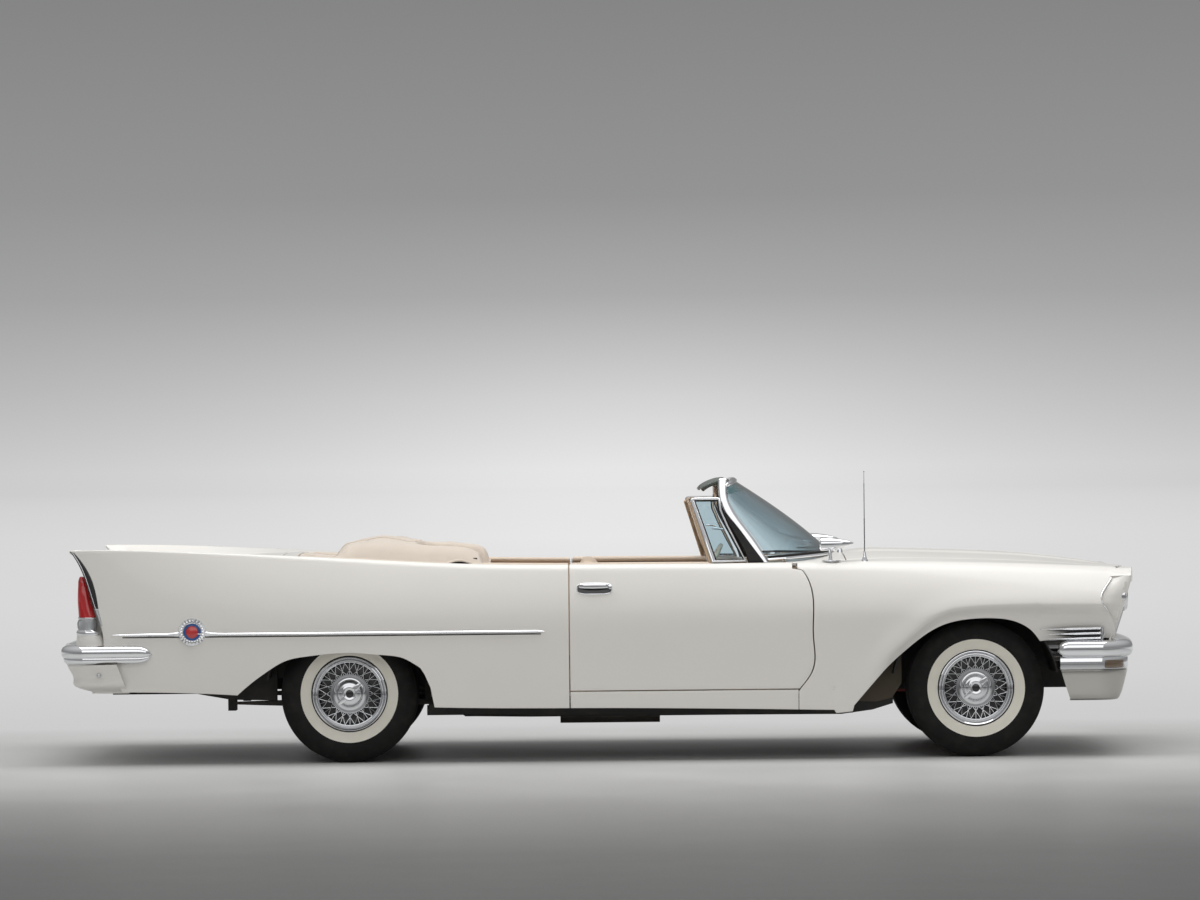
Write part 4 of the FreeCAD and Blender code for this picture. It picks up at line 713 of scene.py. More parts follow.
@dataclass
class BodySide:
    """Front fender, door and rear quarter of one side, modelled on the left and mirrored."""

    skin: float = 0.014
    door_rear_x: float = -0.148
    door_front_x: float = 1.088
    door_bottom_z: float = 0.362
    belt_z: float = 1.009
    door_shares: tuple[Point, ...] = (
        (0.943, 0.000), (0.989, 0.119), (0.999, 0.400), (1.000, 0.703), (0.981, 0.859), (0.931, 0.977),
        (0.880, 1.040))
    sill_front_x: float = 1.012
    lamp_shares: tuple[Point, ...] = (
        (0.960, 0.905), (0.936, 0.802), (0.919, 0.722), (0.936, 0.654), (0.944, 0.500))

    def door_edge(self, z: float) -> float:
        """Where the door's front edge stands at a height."""
        points = [(self.door_bottom_z + b * (self.belt_z - self.door_bottom_z), a)
                  for a, b in self.door_shares]
        line = Track(tuple(points), 1.0, self.door_front_x - self.door_rear_x)
        return self.door_rear_x + line(between(z, points[0][0], points[-1][0]))

    def arch_z(self, x: float, shares: tuple[Point, ...], hub: Vector) -> float | None:
        """The height of a wheel opening's edge at a station, or None beside it."""
        points = [(hub.x + a * TYRE, hub.z + b * TYRE) for a, b in shares]
        if not points[0][0] <= x <= points[-1][0]:
            return None
        return Track(tuple(points), 1.0, 1.0)(x)

    def bottom(self, x: float) -> float:
        """The lower edge of the side at a station, over the wheel openings too."""
        low = Lines.nose_bottom(x) if x > 1.2 else Lines.sill_z(x)
        for shares, hub in ((Lines.arch_front, FRONT_HUB), (Lines.arch_rear, REAR_HUB)):
            edge = self.arch_z(x, shares, hub)
            if edge is not None:
                low = max(low, edge)
        return low

    def crest_round(self, x: float) -> float:
        """The radius of the crest at a station: softer ahead of the fins."""
        return 0.016 + 0.026 * ease((x + 2.4) / 2.6)

    def point(self, x: float, z: float) -> Vector:
        """A point of the side below its crest."""
        low = Lines.nose_bottom(x) if x > 1.2 else Lines.sill_z(x)
        return Vector((x, side_y(x, z, low) + FLARE.offset(x, z), z))

    def top_point(self, x: float, share: float) -> Vector:
        """A point of the upper face between the inner shelf and the crest."""
        inner = Vector((x, Lines.shelf_y(x), Lines.shelf_z(x)))
        crest = Vector((x, Lines.crest_y(x), Lines.crest_z(x)))
        return inner.lerp(crest, share)

    def over_crest(self, x: float, turn: float) -> Vector:
        """A point of the rounded crest, from the upper face at 0 to the side at 1."""
        crest = Vector((x, Lines.crest_y(x), Lines.crest_z(x)))
        radius = self.crest_round(x)
        back = (Vector((x, Lines.shelf_y(x), Lines.shelf_z(x))) - crest).normalized() * radius
        start = crest + back
        end = self.point(x, crest.z - radius)
        a, b = start.lerp(crest, turn), crest.lerp(end, turn)
        return a.lerp(b, turn)

    def patch(self, name: str, columns: Sequence[float], top_rows: int, rows: int,
              left: Callable[[float], float], right: Callable[[float], float],
              bottom: Callable[[float], float]) -> bpy.types.Object:
        """A side panel from the inner shelf over the crest down to its lower edge.

        Args:
            name: The piece's name.
            columns: Shares of the length at which its columns stand.
            top_rows: Rows of the upper face, none for a panel that starts at its crest.
            rows: Rows of the side.
            left: Gives the rear edge at a height.
            right: Gives the front edge at a height.
            bottom: Gives the lower edge at a station.

        Returns:
            The panel as a sheet.
        """
        bend_rows = 8
        total = top_rows + bend_rows + rows

        def place(u: float, v: float) -> Vector:
            s = columns[round(u * (len(columns) - 1))]
            row = round(v * total)
            z = Lines.crest_z(left(1.0) + s * (right(1.0) - left(1.0)))
            x = left(z) + s * (right(z) - left(z))
            if row < top_rows:
                radius = self.crest_round(x)
                face = (self.top_point(x, 0) - self.top_point(x, 1)).length
                share = row / top_rows * (1 - radius / face)
                if x > -2.2:
                    return self.top_point(x, share)
                low = self.top_point(x, share).z
                x += (left(low) - left(z)) * (1 - s) * ease((-2.2 - x) / 0.4)
                return self.top_point(x, share)
            if row < top_rows + bend_rows:
                return self.over_crest(x, (row - top_rows) / bend_rows)
            t = (row - top_rows - bend_rows) / rows
            for _ in range(6):
                start = Lines.crest_z(x) - self.crest_round(x)
                z = start + t * (bottom(x) - start)
                x = left(z) + s * (right(z) - left(z))
            return self.point(x, z)

        return Workshop.grid(name, len(columns) - 1, total, place, Vector((0, 1, 0.2)))

    def stations(self, start: float, end: float, count: int) -> list[float]:
        """Shares of a panel's length, closer together where its lower edge is steep."""
        fine = 400
        lengths = [0.0]
        for i in range(fine):
            a = start + (end - start) * i / fine
            b = start + (end - start) * (i + 1) / fine
            rise = (self.bottom(b) - self.bottom(a)) * 0.8
            lengths.append(lengths[-1] + math.hypot(b - a, rise))
        shares, i = [], 0
        for k in range(count + 1):
            goal = lengths[-1] * k / count
            while i < fine - 1 and lengths[i + 1] < goal:
                i += 1
            step = lengths[i + 1] - lengths[i]
            shares.append((i + (goal - lengths[i]) / step if step else i) / fine)
        shares[0], shares[-1] = 0.0, 1.0
        return shares

    def front_end(self, z: float) -> float:
        """The fender's front edge round the lamps at a height."""
        points = sorted((b * FIN, a * HALF_LENGTH) for a, b in self.lamp_shares)
        return Track(tuple(points), 1.0, 1.0)(between(z, points[0][0], points[-1][0] + 0.02))

    def fender(self) -> list[bpy.types.Object]:
        """The front fender and its tongue beside the cowl."""
        def rear(z: float) -> float:
            low = self.sill_front_x + 0.003
            return max(low, self.door_edge(z) + GAP) if z > self.door_bottom_z - 0.002 else low

        shares = self.stations(1.015, 2.62, 120)
        main = self.patch("front_fender_left", shares, 10, 60, rear, self.front_end, self.bottom)
        Workshop.thicken(main, self.skin)

        def tongue(u: float, v: float) -> Vector:
            x = 0.862 + u * (self.door_edge(Lines.crest_z(0.98)) + GAP - 0.862)
            return self.top_point(x, v * 0.70)

        strip = Workshop.grid("fender_tongue_left", 12, 6, tongue, UP)
        Workshop.thicken(strip, self.skin)
        return [Workshop.join("fender_panel_left", [main, strip])]

    def door(self) -> bpy.types.Object:
        """The door's outer skin with its belt turned in."""
        shares = [i / 48 for i in range(49)]
        panel = self.patch("door_skin_left", shares, 0, 44, lambda z: self.door_rear_x, self.door_edge,
                           lambda x: self.door_bottom_z)
        return Workshop.thicken(panel, 0.020, 0.0025)

    def quarter(self) -> bpy.types.Object:
        """The rear quarter with its fin."""
        def rear(z: float) -> float:
            return Lines.tail_x(between(z, 0.365, 1.129))

        shares = self.stations(-2.70, self.door_rear_x - GAP, 150)
        panel = self.patch("rear_quarter_panel_left", shares, 12, 52, rear,
                           lambda z: self.door_rear_x - GAP, self.bottom)
        return Workshop.thicken(panel, self.skin)

    def rocker(self) -> bpy.types.Object:
        """The painted sill below the door."""
        def place(u: float, v: float) -> Vector:
            x = mix(self.door_rear_x, self.sill_front_x, u)
            top = self.door_bottom_z - GAP
            return self.point(x, top + v * (Lines.sill_z(x) - top))

        panel = Workshop.grid("sill_panel_left", 24, 8, place, LEFTWARD)
        return Workshop.thicken(panel, self.skin)

    def build(self) -> None:
        """Models the left side, mirrors it and books all panels."""
        made = [(self.fender()[0], "front_fender", "body"), (self.door(), "door", None),
                (self.quarter(), "rear_quarter", "body"), (self.rocker(), "rocker_sills", "body")]
        for piece, node, body in made:
            Rack.dress(piece, PAINT)
            for side in Side:
                own = piece if side is Side.LEFT else Workshop.mirror(piece, piece.name.replace("left", "right"))
                home = body or "door_" + side.tag
                Rack.book(own, home, "ivory_paint", [node if node == "rocker_sills" else f"{node}_{side.tag}"])


@dataclass
class Crowns:
    """Hood, cowl, deck and trunk lid: the crowned panels between the body's shelves."""

    skin: float = 0.014
    hood_rear_x: float = 1.275
    lid_front_x: float = -1.640
    lid_rear_x: float = -2.630
    deck_front_x: float = -1.560
    cowl_rear_x: float = 0.962

    def panel(self, name: str, start: Callable[[float], float], end: Callable[[float], float],
              height: Track, gap: float, columns: int, bulge: float = 0.0) -> bpy.types.Object:
        """A crowned panel whose ends may follow a line across the car.

        Args:
            name: The piece's name.
            start: Gives the rear end for a share of the half width.
            end: Gives the front end for a share of the half width.
            height: The centre line's height.
            gap: The clearance at each side.
            columns: Quads along the car.
            bulge: The height of a soft raised middle.

        Returns:
            The panel with its wall.
        """
        def place(u: float, v: float) -> Vector:
            t = 2 * v - 1
            x = start(t) + u * (end(t) - start(t))
            high, low = height(x), Lines.shelf_z(x)
            crease = bulge * ease((0.46 - abs(t)) / 0.10) * ease(u / 0.1) * ease((1 - u) / 0.15)
            return Vector((x, (Lines.shelf_y(x) - gap) * t, high - (high - low) * t * t + crease))

        made = Workshop.grid(name, columns, 48, place, UP)
        return Workshop.thicken(made, self.skin, 0.002)

    def nose_edge(self, t: float) -> float:
        """Where the hood meets the nose, for a share of the half width."""
        y = t * 0.62
        return Lines.nose_x(0.955) - 0.175 * (y / 0.905) ** 2 - 0.024 - GAP

    def build(self) -> None:
        """Builds and books the four panels."""
        hood = self.panel("hood_panel", lambda t: self.hood_rear_x, self.nose_edge, Lines.hood_z, GAP, 60, 0.007)
        cowl = self.panel("cowl_panel", lambda t: self.cowl_rear_x, lambda t: self.hood_rear_x - GAP,
                          Lines.hood_z, 0.0004, 20)
        lid = self.panel("trunk_lid_panel", lambda t: self.lid_rear_x, lambda t: self.lid_front_x,
                         Lines.lid_z, 0.009, 44)
        deck = self.panel("rear_deck_panel", lambda t: self.lid_front_x + GAP, lambda t: self.deck_front_x,
                          Lines.lid_z, 0.0004, 6)
        for piece, body, node in ((hood, "hood", "hood"), (cowl, "body", "cowl"),
                                  (lid, "trunk_lid", "trunk_lid"), (deck, "body", "rear_deck")):
            Rack.book(Rack.dress(piece, PAINT), body, "ivory_paint", [node])


# Wheels

@dataclass
class Wheel:
    """A whitewall tyre on a bright wheel with crossed wires, made once and set four times."""

    groups: int = 20
    wire: float = 0.0016
    tyre_profile: tuple[Point, ...] = (
        (0.176, 0.074), (0.180, 0.086), (0.188, 0.0935), (0.196, 0.0965), (0.199, 0.0995), (0.215, 0.1045),
        (0.232, 0.1085), (0.249, 0.1110), (0.2515, 0.1125), (0.256, 0.1130), (0.272, 0.1130), (0.290, 0.1105),
        (0.305, 0.1055), (0.319, 0.0980), (0.331, 0.0890), (0.339, 0.0805), (0.3405, 0.0805),
        (0.3455, 0.0745), (0.3495, 0.0660), (0.3505, 0.0600), (0.3445, 0.0580), (0.3445, 0.0540),
        (0.3510, 0.0520), (0.3515, 0.0340), (0.3445, 0.0320), (0.3445, 0.0280), (0.3515, 0.0260),
        (0.3518, 0.0080), (0.3448, 0.0060), (0.3448, 0.0020))
    rim_profile: tuple[Point, ...] = (
        (0.1750, 0.0700), (0.1855, 0.0790), (0.1880, 0.0850), (0.1900, 0.0920), (0.1895, 0.0950),
        (0.1860, 0.0962), (0.1820, 0.0930), (0.1800, 0.0870), (0.1765, 0.0850), (0.1750, 0.0880),
        (0.1720, 0.0890), (0.1690, 0.0870), (0.1675, 0.0820), (0.1645, 0.0800), (0.1625, 0.0820),
        (0.1600, 0.0815), (0.1585, 0.0770), (0.1575, 0.0600), (0.1540, 0.0300), (0.1540, -0.0500),
        (0.1680, -0.0680), (0.1760, -0.0820), (0.1860, -0.0900), (0.1905, -0.0915), (0.1900, -0.0840),
        (0.1850, -0.0780), (0.1745, -0.0700), (0.1640, -0.0450), (0.1640, 0.0450))
    bowl_profile: tuple[Point, ...] = (
        (0.1575, 0.0590), (0.1520, 0.0460), (0.1200, 0.0400), (0.0900, 0.0400), (0.0900, 0.0360),
        (0.1220, 0.0350), (0.1570, 0.0400))
    dish_profile: tuple[Point, ...] = (
        (0.0880, 0.0400), (0.1000, 0.0420), (0.1040, 0.0520), (0.1035, 0.0610), (0.1000, 0.0660),
        (0.0960, 0.0665), (0.0900, 0.0655), (0.0780, 0.0660), (0.0700, 0.0685), (0.0650, 0.0735),
        (0.0625, 0.0800), (0.0600, 0.0850), (0.0560, 0.0880), (0.0480, 0.0900), (0.0400, 0.0905),
        (0.0350, 0.0925), (0.0330, 0.0960), (0.0300, 0.0975), (0.0240, 0.0960), (0.0200, 0.0945),
        (0.0200, 0.0400))
    button_profile: tuple[Point, ...] = (
        (0.0200, 0.0930), (0.0190, 0.0965), (0.0120, 0.0985), (0.0010, 0.0990), (0.0010, 0.0900), (0.0200, 0.0900))
    drum_profile: tuple[Point, ...] = (
        (0.0240, -0.0680), (0.1380, -0.0680), (0.1420, -0.0620), (0.1420, -0.0520), (0.1450, -0.0500),
        (0.1450, -0.0450), (0.1420, -0.0430), (0.1420, -0.0100), (0.1350, 0.0000), (0.0800, 0.0100),
        (0.0240, 0.0300))

    def tyre(self) -> bpy.types.Object:
        """The tyre with its cream band on the outer side."""
        outer = list(self.tyre_profile)
        profile = outer + [(r, -d) for r, d in outer[::-1]]
        made = Workshop.turned("tyre_model", profile, REAR_HUB, 96)
        Rack.dress(made, RUBBER)
        made.data.materials.append(WHITEWALL.material())
        for face in made.data.polygons:
            place = face.center - REAR_HUB
            radius = math.hypot(place.x, place.z)
            if place.y > 0 and 0.1965 < radius < 0.2495:
                face.material_index = 1
        return made

    def wires(self) -> bpy.types.Object:
        """Groups of one straight and two crossed wires between the dish and the rim."""
        Workshop.clear()
        made = []
        for turn, near, far, depth in ((0.0, 0.0, 0.0, 0.004), (1.0, -0.5, 0.5, 0.0), (-1.0, 0.5, -0.5, 0.002)):
            ends = []
            for radius, share, out in ((0.0985, near, 0.0610 + depth), (0.1600, far, 0.0725 + depth)):
                angle = share * math.tau / self.groups
                ends.append(REAR_HUB + Vector((radius * math.sin(angle), out, radius * math.cos(angle))))
            first = Workshop.rod(f"wire_{turn:.0f}", ends, self.wire, 6)
            for k in range(1, self.groups):
                spin = (Matrix.Translation(REAR_HUB) @ Matrix.Rotation(math.tau * k / self.groups, 4, "Y")
                        @ Matrix.Translation(-REAR_HUB))
                made.append(Workshop.copy(first, "wire_copy", spin))
            made.append(first)
        return Workshop.join("wheel_wires", made)

    def spinner(self) -> bpy.types.Object:
        """The knock-off cap's two ears."""
        outline = []
        for x, z in ((0.012, -0.016), (0.040, -0.0135), (0.066, -0.0100), (0.078, -0.0050), (0.080, 0.0030),
                     (0.074, 0.0090), (0.060, 0.0125), (0.040, 0.0145), (0.012, 0.0160)):
            outline.append(Vector((x, 0, z)))
        ear = Workshop.slab("spinner_ear", outline, Vector((0, 0.010, 0)), 0.003, 3)
        ears = []
        for angle in (math.radians(-42), math.radians(138)):
            change = Matrix.Translation(REAR_HUB + Vector((0, 0.084, 0))) @ Matrix.Rotation(angle, 4, "Y")
            ears.append(Workshop.copy(ear, "spinner_part", change))
        bpy.data.objects.remove(ear)
        return Workshop.join("spinner_ears", ears)

    def metal(self) -> bpy.types.Object:
        """Rim, bowl, wires, dish and cap as one bright piece."""
        rim = Rack.dress(Workshop.turned("wheel_rim", self.rim_profile, REAR_HUB, 96), SHADED_WHEEL_CHROME)
        bowl = Rack.dress(Workshop.turned("wheel_bowl", self.bowl_profile, REAR_HUB, 64), GLOSS_BLACK)
        dish = Rack.dress(Workshop.turned("wheel_dish", self.dish_profile, REAR_HUB, 72), SHADED_WHEEL_CHROME)
        button = Rack.dress(Workshop.turned("wheel_button", self.button_profile, REAR_HUB, 40), GLOSS_BLACK)
        drum = Rack.dress(Workshop.turned("brake_drum", self.drum_profile, REAR_HUB, 64), IRON)
        wires = Rack.dress(self.wires(), SHADED_WHEEL_CHROME)
        ears = Rack.dress(self.spinner(), CHROME)
        return Workshop.join("wheel_model", [rim, bowl, dish, button, drum, wires, ears])

    def build(self) -> None:
        """Sets the wheel and tyre on all four hubs."""
        models = ((self.tyre(), "tyre", "whitewall_tyre"), (self.metal(), "wheel", "bright_trim"))
        for model, kind, slot in models:
            for end, hub in (("front", FRONT_HUB), ("rear", REAR_HUB)):
                left = Workshop.copy(model, f"{kind}_dressed_{end}_left", Matrix.Translation(hub - REAR_HUB))
                Rack.pair(left, f"wheel_{end}_left", slot, [f"{kind}_{end}_left"])
            bpy.data.objects.remove(model)


# Nose and bumpers

@dataclass(frozen=True)
class BumperLine:
    """A bumper's line in plan: a bowed middle, round corners and straight ends."""

    front: float
    rear: float
    half: float
    corner: float
    bow: float

    def stations(self, count: int) -> list[tuple[Vector, Vector]]:
        """Evenly spaced points with their outward directions, from the left end to the right end.

        Args:
            count: How many points.

        Returns:
            Pairs of place and direction in the ground plane.
        """
        turn = 1.0 if self.front > self.rear else -1.0
        front, rear = turn * self.front, turn * self.rear
        bend_x = front - self.bow + math.sqrt((self.bow - self.corner) ** 2 - (self.half - self.corner) ** 2)
        angle = math.atan2(self.half - self.corner, bend_x - (front - self.bow))
        straight = bend_x - rear
        corner = (math.pi / 2 - angle) * self.corner
        whole = straight + corner + angle * self.bow
        places = []
        for i in range(count):
            t = 2 * i / (count - 1) - 1
            s = (1 - abs(t)) * whole
            if s <= straight:
                place, way = Vector((rear + s, self.half, 0)), LEFTWARD.copy()
            elif s <= straight + corner:
                a = math.pi / 2 - (s - straight) / self.corner
                way = Vector((math.cos(a), math.sin(a), 0))
                place = Vector((bend_x, self.half - self.corner, 0)) + way * self.corner
            else:
                a = angle - (s - straight - corner) / self.bow
                way = Vector((math.cos(a), math.sin(a), 0))
                place = Vector((front - self.bow, 0, 0)) + way * self.bow
            if t > 0:
                place.y, way.y = -place.y, -way.y
            places.append((Vector((turn * place.x, place.y, 0)), Vector((turn * way.x, way.y, 0))))
        return places

    def sweep(self, name: str, profile: Sequence[Point], count: int, closed: bool = True,
              tip: float = 0.0, tip_z: float = 0.0,
              shift: Callable[[float], float] = lambda z: 0.0) -> bpy.types.Object:
        """A profile of insets and heights led along the line.

        Args:
            name: The new object's name.
            profile: Inset and height of each row.
            count: Stations along the line.
            closed: Whether the profile comes back to its start.
            tip: The length over which each end rounds to a point, or zero.
            tip_z: The height that the points aim at.
            shift: Moves each end along the car by height.

        Returns:
            The swept piece.
        """
        rows = list(profile) + ([profile[0]] if closed else [])
        stations = self.stations(count)
        sign = 1.0 if self.front > self.rear else -1.0

        def place(u: float, v: float) -> Vector:
            spot, way = stations[round(u * (count - 1))]
            inset, z = rows[round(v * (len(rows) - 1))]
            past = abs(spot.x - self.rear)
            lead = shift(z) * between(1 - past / 0.2, 0, 1) * sign
            if tip > 0 and past < tip:
                grow = math.sqrt(between(1 - (1 - past / tip) ** 2, 0, 1))
                middle = sum(a for a, _ in profile) / len(profile)
                inset = middle + (inset - middle) * grow
                z = tip_z + (z - tip_z) * grow
            point = spot - way * inset
            return Vector((point.x + lead, point.y, z))

        made = Workshop.grid(name, count - 1, len(rows) - 1, place, UP)
        if closed:
            Workshop.tidy(made)
        return Workshop.smooth(made, 40)


@dataclass
class FrontBumper:
    """The wrapped front bumper: a rounded bar, a recessed band with lamps, and the apron."""

    line: BumperLine = BumperLine(HALF_LENGTH, 2.330, 0.992, 0.200, 6.500)
    bar: tuple[Point, ...] = (
        (0.110, 0.586), (0.075, 0.5905), (0.040, 0.5910), (0.020, 0.5870), (0.008, 0.5780), (0.002, 0.5650),
        (0.000, 0.5500), (0.001, 0.5360), (0.005, 0.5230), (0.012, 0.5130), (0.024, 0.5065), (0.036, 0.5045),
        (0.040, 0.5015), (0.060, 0.5020), (0.090, 0.5300), (0.110, 0.5600))
    band: tuple[Point, ...] = (
        (0.050, 0.5030), (0.033, 0.5020), (0.030, 0.4980), (0.029, 0.4700), (0.031, 0.4480), (0.036, 0.4440),
        (0.046, 0.4430), (0.060, 0.4450))
    apron: tuple[Point, ...] = (
        (0.060, 0.4400), (0.042, 0.4395), (0.036, 0.4370), (0.035, 0.4310), (0.040, 0.4100), (0.050, 0.3700),
        (0.063, 0.3250), (0.075, 0.2980), (0.083, 0.2900), (0.095, 0.2880), (0.105, 0.2920))

    def build(self) -> None:
        """Builds the bumper's tiers, lamps, brackets and guards."""
        bar = self.line.sweep("front_bumper_bar", self.bar, 181, tip=0.060, tip_z=0.535)
        band = self.line.sweep("front_bumper_band", self.band, 161, closed=False, shift=lambda z: 0.016)
        Workshop.thicken(band, 0.003, 0.0)
        edge = Track(((0.286, 0.072), (0.36, 0.045), (0.44, 0.020)), 1.0, 1.0)
        apron = self.line.sweep("front_bumper_apron", self.apron, 161, closed=False, shift=edge)
        Workshop.thicken(apron, 0.003, 0.0)
        guards = [self.guard(y) for y in (0.245, -0.245)]
        for piece in (bar, band, *guards):
            Rack.dress(piece, CHROME)
        Rack.dress(apron, APRON_SHADED_CHROME)
        metal = Workshop.join("front_bumper_chrome", [bar, band, apron, *guards])
        Rack.book(metal, "body", "bright_trim", ["front_bumper"])
        Rack.pair(self.parking_lamp(), "body", "lamp_glass", ["front_bumper"])
        self.brackets()

    def guard(self, y: float) -> bpy.types.Object:
        """An upright bullet guard on the bar."""
        profile = [(AXIS, 0.030), (0.016, 0.026), (0.028, 0.014), (0.033, 0.000), (0.034, -0.030),
                   (0.030, -0.070), (AXIS, -0.070)]
        spot = Vector((HALF_LENGTH - y * y / (2 * self.line.bow) - 0.030, y, 0.545))
        return Workshop.turned("bumper_guard", profile, spot, 32, Vector((1, 0, 0)))

    def parking_lamp(self) -> bpy.types.Object:
        """The smoked lamp in its dark frame, set in the recessed band at the corner."""
        stations = self.line.stations(241)
        spots = [(p, w) for p, w in stations if p.y > 0 and 2.555 <= p.x <= 2.712]

        def shell(low: float, high: float, lift: float, trim: int) -> Callable[[float, float], Vector]:
            part = spots[trim:len(spots) - trim]

            def place(u: float, v: float) -> Vector:
                spot, way = part[round(u * (len(part) - 1))]
                swell = lift * (1 - (2 * v - 1) ** 4) * (1 - (2 * u - 1) ** 6)
                point = spot - way * (0.0295 - swell)
                return Vector((point.x, point.y, mix(low, high, v)))
            return place

        frame_ring = Workshop.grid("lamp_frame", len(spots) - 1, 8, shell(0.444, 0.499, 0.003, 0),
                                   Vector((0.5, 1, 0)))
        Rack.dress(Workshop.thicken(frame_ring, 0.004, 0.001), GLOSS_BLACK)
        lens = Workshop.grid("lamp_lens", len(spots) - 3, 8, shell(0.449, 0.494, 0.008, 1), Vector((0.5, 1, 0)))
        Rack.dress(Workshop.thicken(lens, 0.003, 0.001), AMBER_LENS)
        return Workshop.join("parking_lamp_left", [frame_ring, lens])

    def brackets(self) -> None:
        """Steel brackets from the frame to the bar."""
        made = []
        for y in (0.40, -0.40):
            made.append(Workshop.block("front_bracket", Vector((2.600, y - 0.022, 0.470)),
                                       Vector((2.735, y + 0.022, 0.530)), 0.004))
            made.append(Workshop.block("front_bracket_foot", Vector((2.560, y - 0.022, 0.345)),
                                       Vector((2.640, y + 0.022, 0.500)), 0.004))
        Rack.book(Rack.dress(Workshop.join("front_bumper_brackets", made), BLACK), "body",
                  "black_underbody", ["front_bumper"])


@dataclass
class RearBumper:
    """The wrapped rear bumper with its bullet ends and lower lip."""

    line: BumperLine = BumperLine(-HALF_LENGTH, -2.275, 0.994, 0.140, 11.000)
    bar: tuple[Point, ...] = (
        (0.090, 0.6080), (0.050, 0.6150), (0.026, 0.6140), (0.010, 0.6050), (0.002, 0.5920), (0.000, 0.5760),
        (0.003, 0.5620), (0.010, 0.5520), (0.014, 0.5500), (0.012, 0.5440), (0.014, 0.5320), (0.024, 0.5210),
        (0.040, 0.5180), (0.060, 0.5200), (0.085, 0.5400), (0.095, 0.5800))

    def build(self) -> None:
        """Builds the bar and its brackets."""
        bar = self.line.sweep("rear_bumper_bar", self.bar, 181, tip=0.085, tip_z=0.566)
        guards = []
        for y in (0.52, -0.52):
            profile = [(AXIS, 0.012), (0.026, 0.009), (0.040, -0.004), (0.044, -0.022), (0.044, -0.060),
                       (AXIS, -0.060)]
            spot = Vector((-HALF_LENGTH + y * y / (2 * self.line.bow) + 0.012, y, 0.572))
            guards.append(Workshop.turned("rear_guard", profile, spot, 32, Vector((-1, 0, 0))))
        metal = Workshop.join("rear_bumper_chrome", [bar, *guards])
        Rack.book(Rack.dress(metal, CHROME), "body", "bright_trim", ["rear_bumper"])
        made = [Workshop.block("rear_bracket", Vector((-2.700, y - 0.020, 0.530)), Vector((-2.560, y + 0.020, 0.590)),
                               0.004) for y in (0.48, -0.48)]
        Rack.book(Rack.dress(Workshop.join("rear_bumper_brackets", made), BLACK), "body", "black_underbody",
                  ["rear_bumper"])


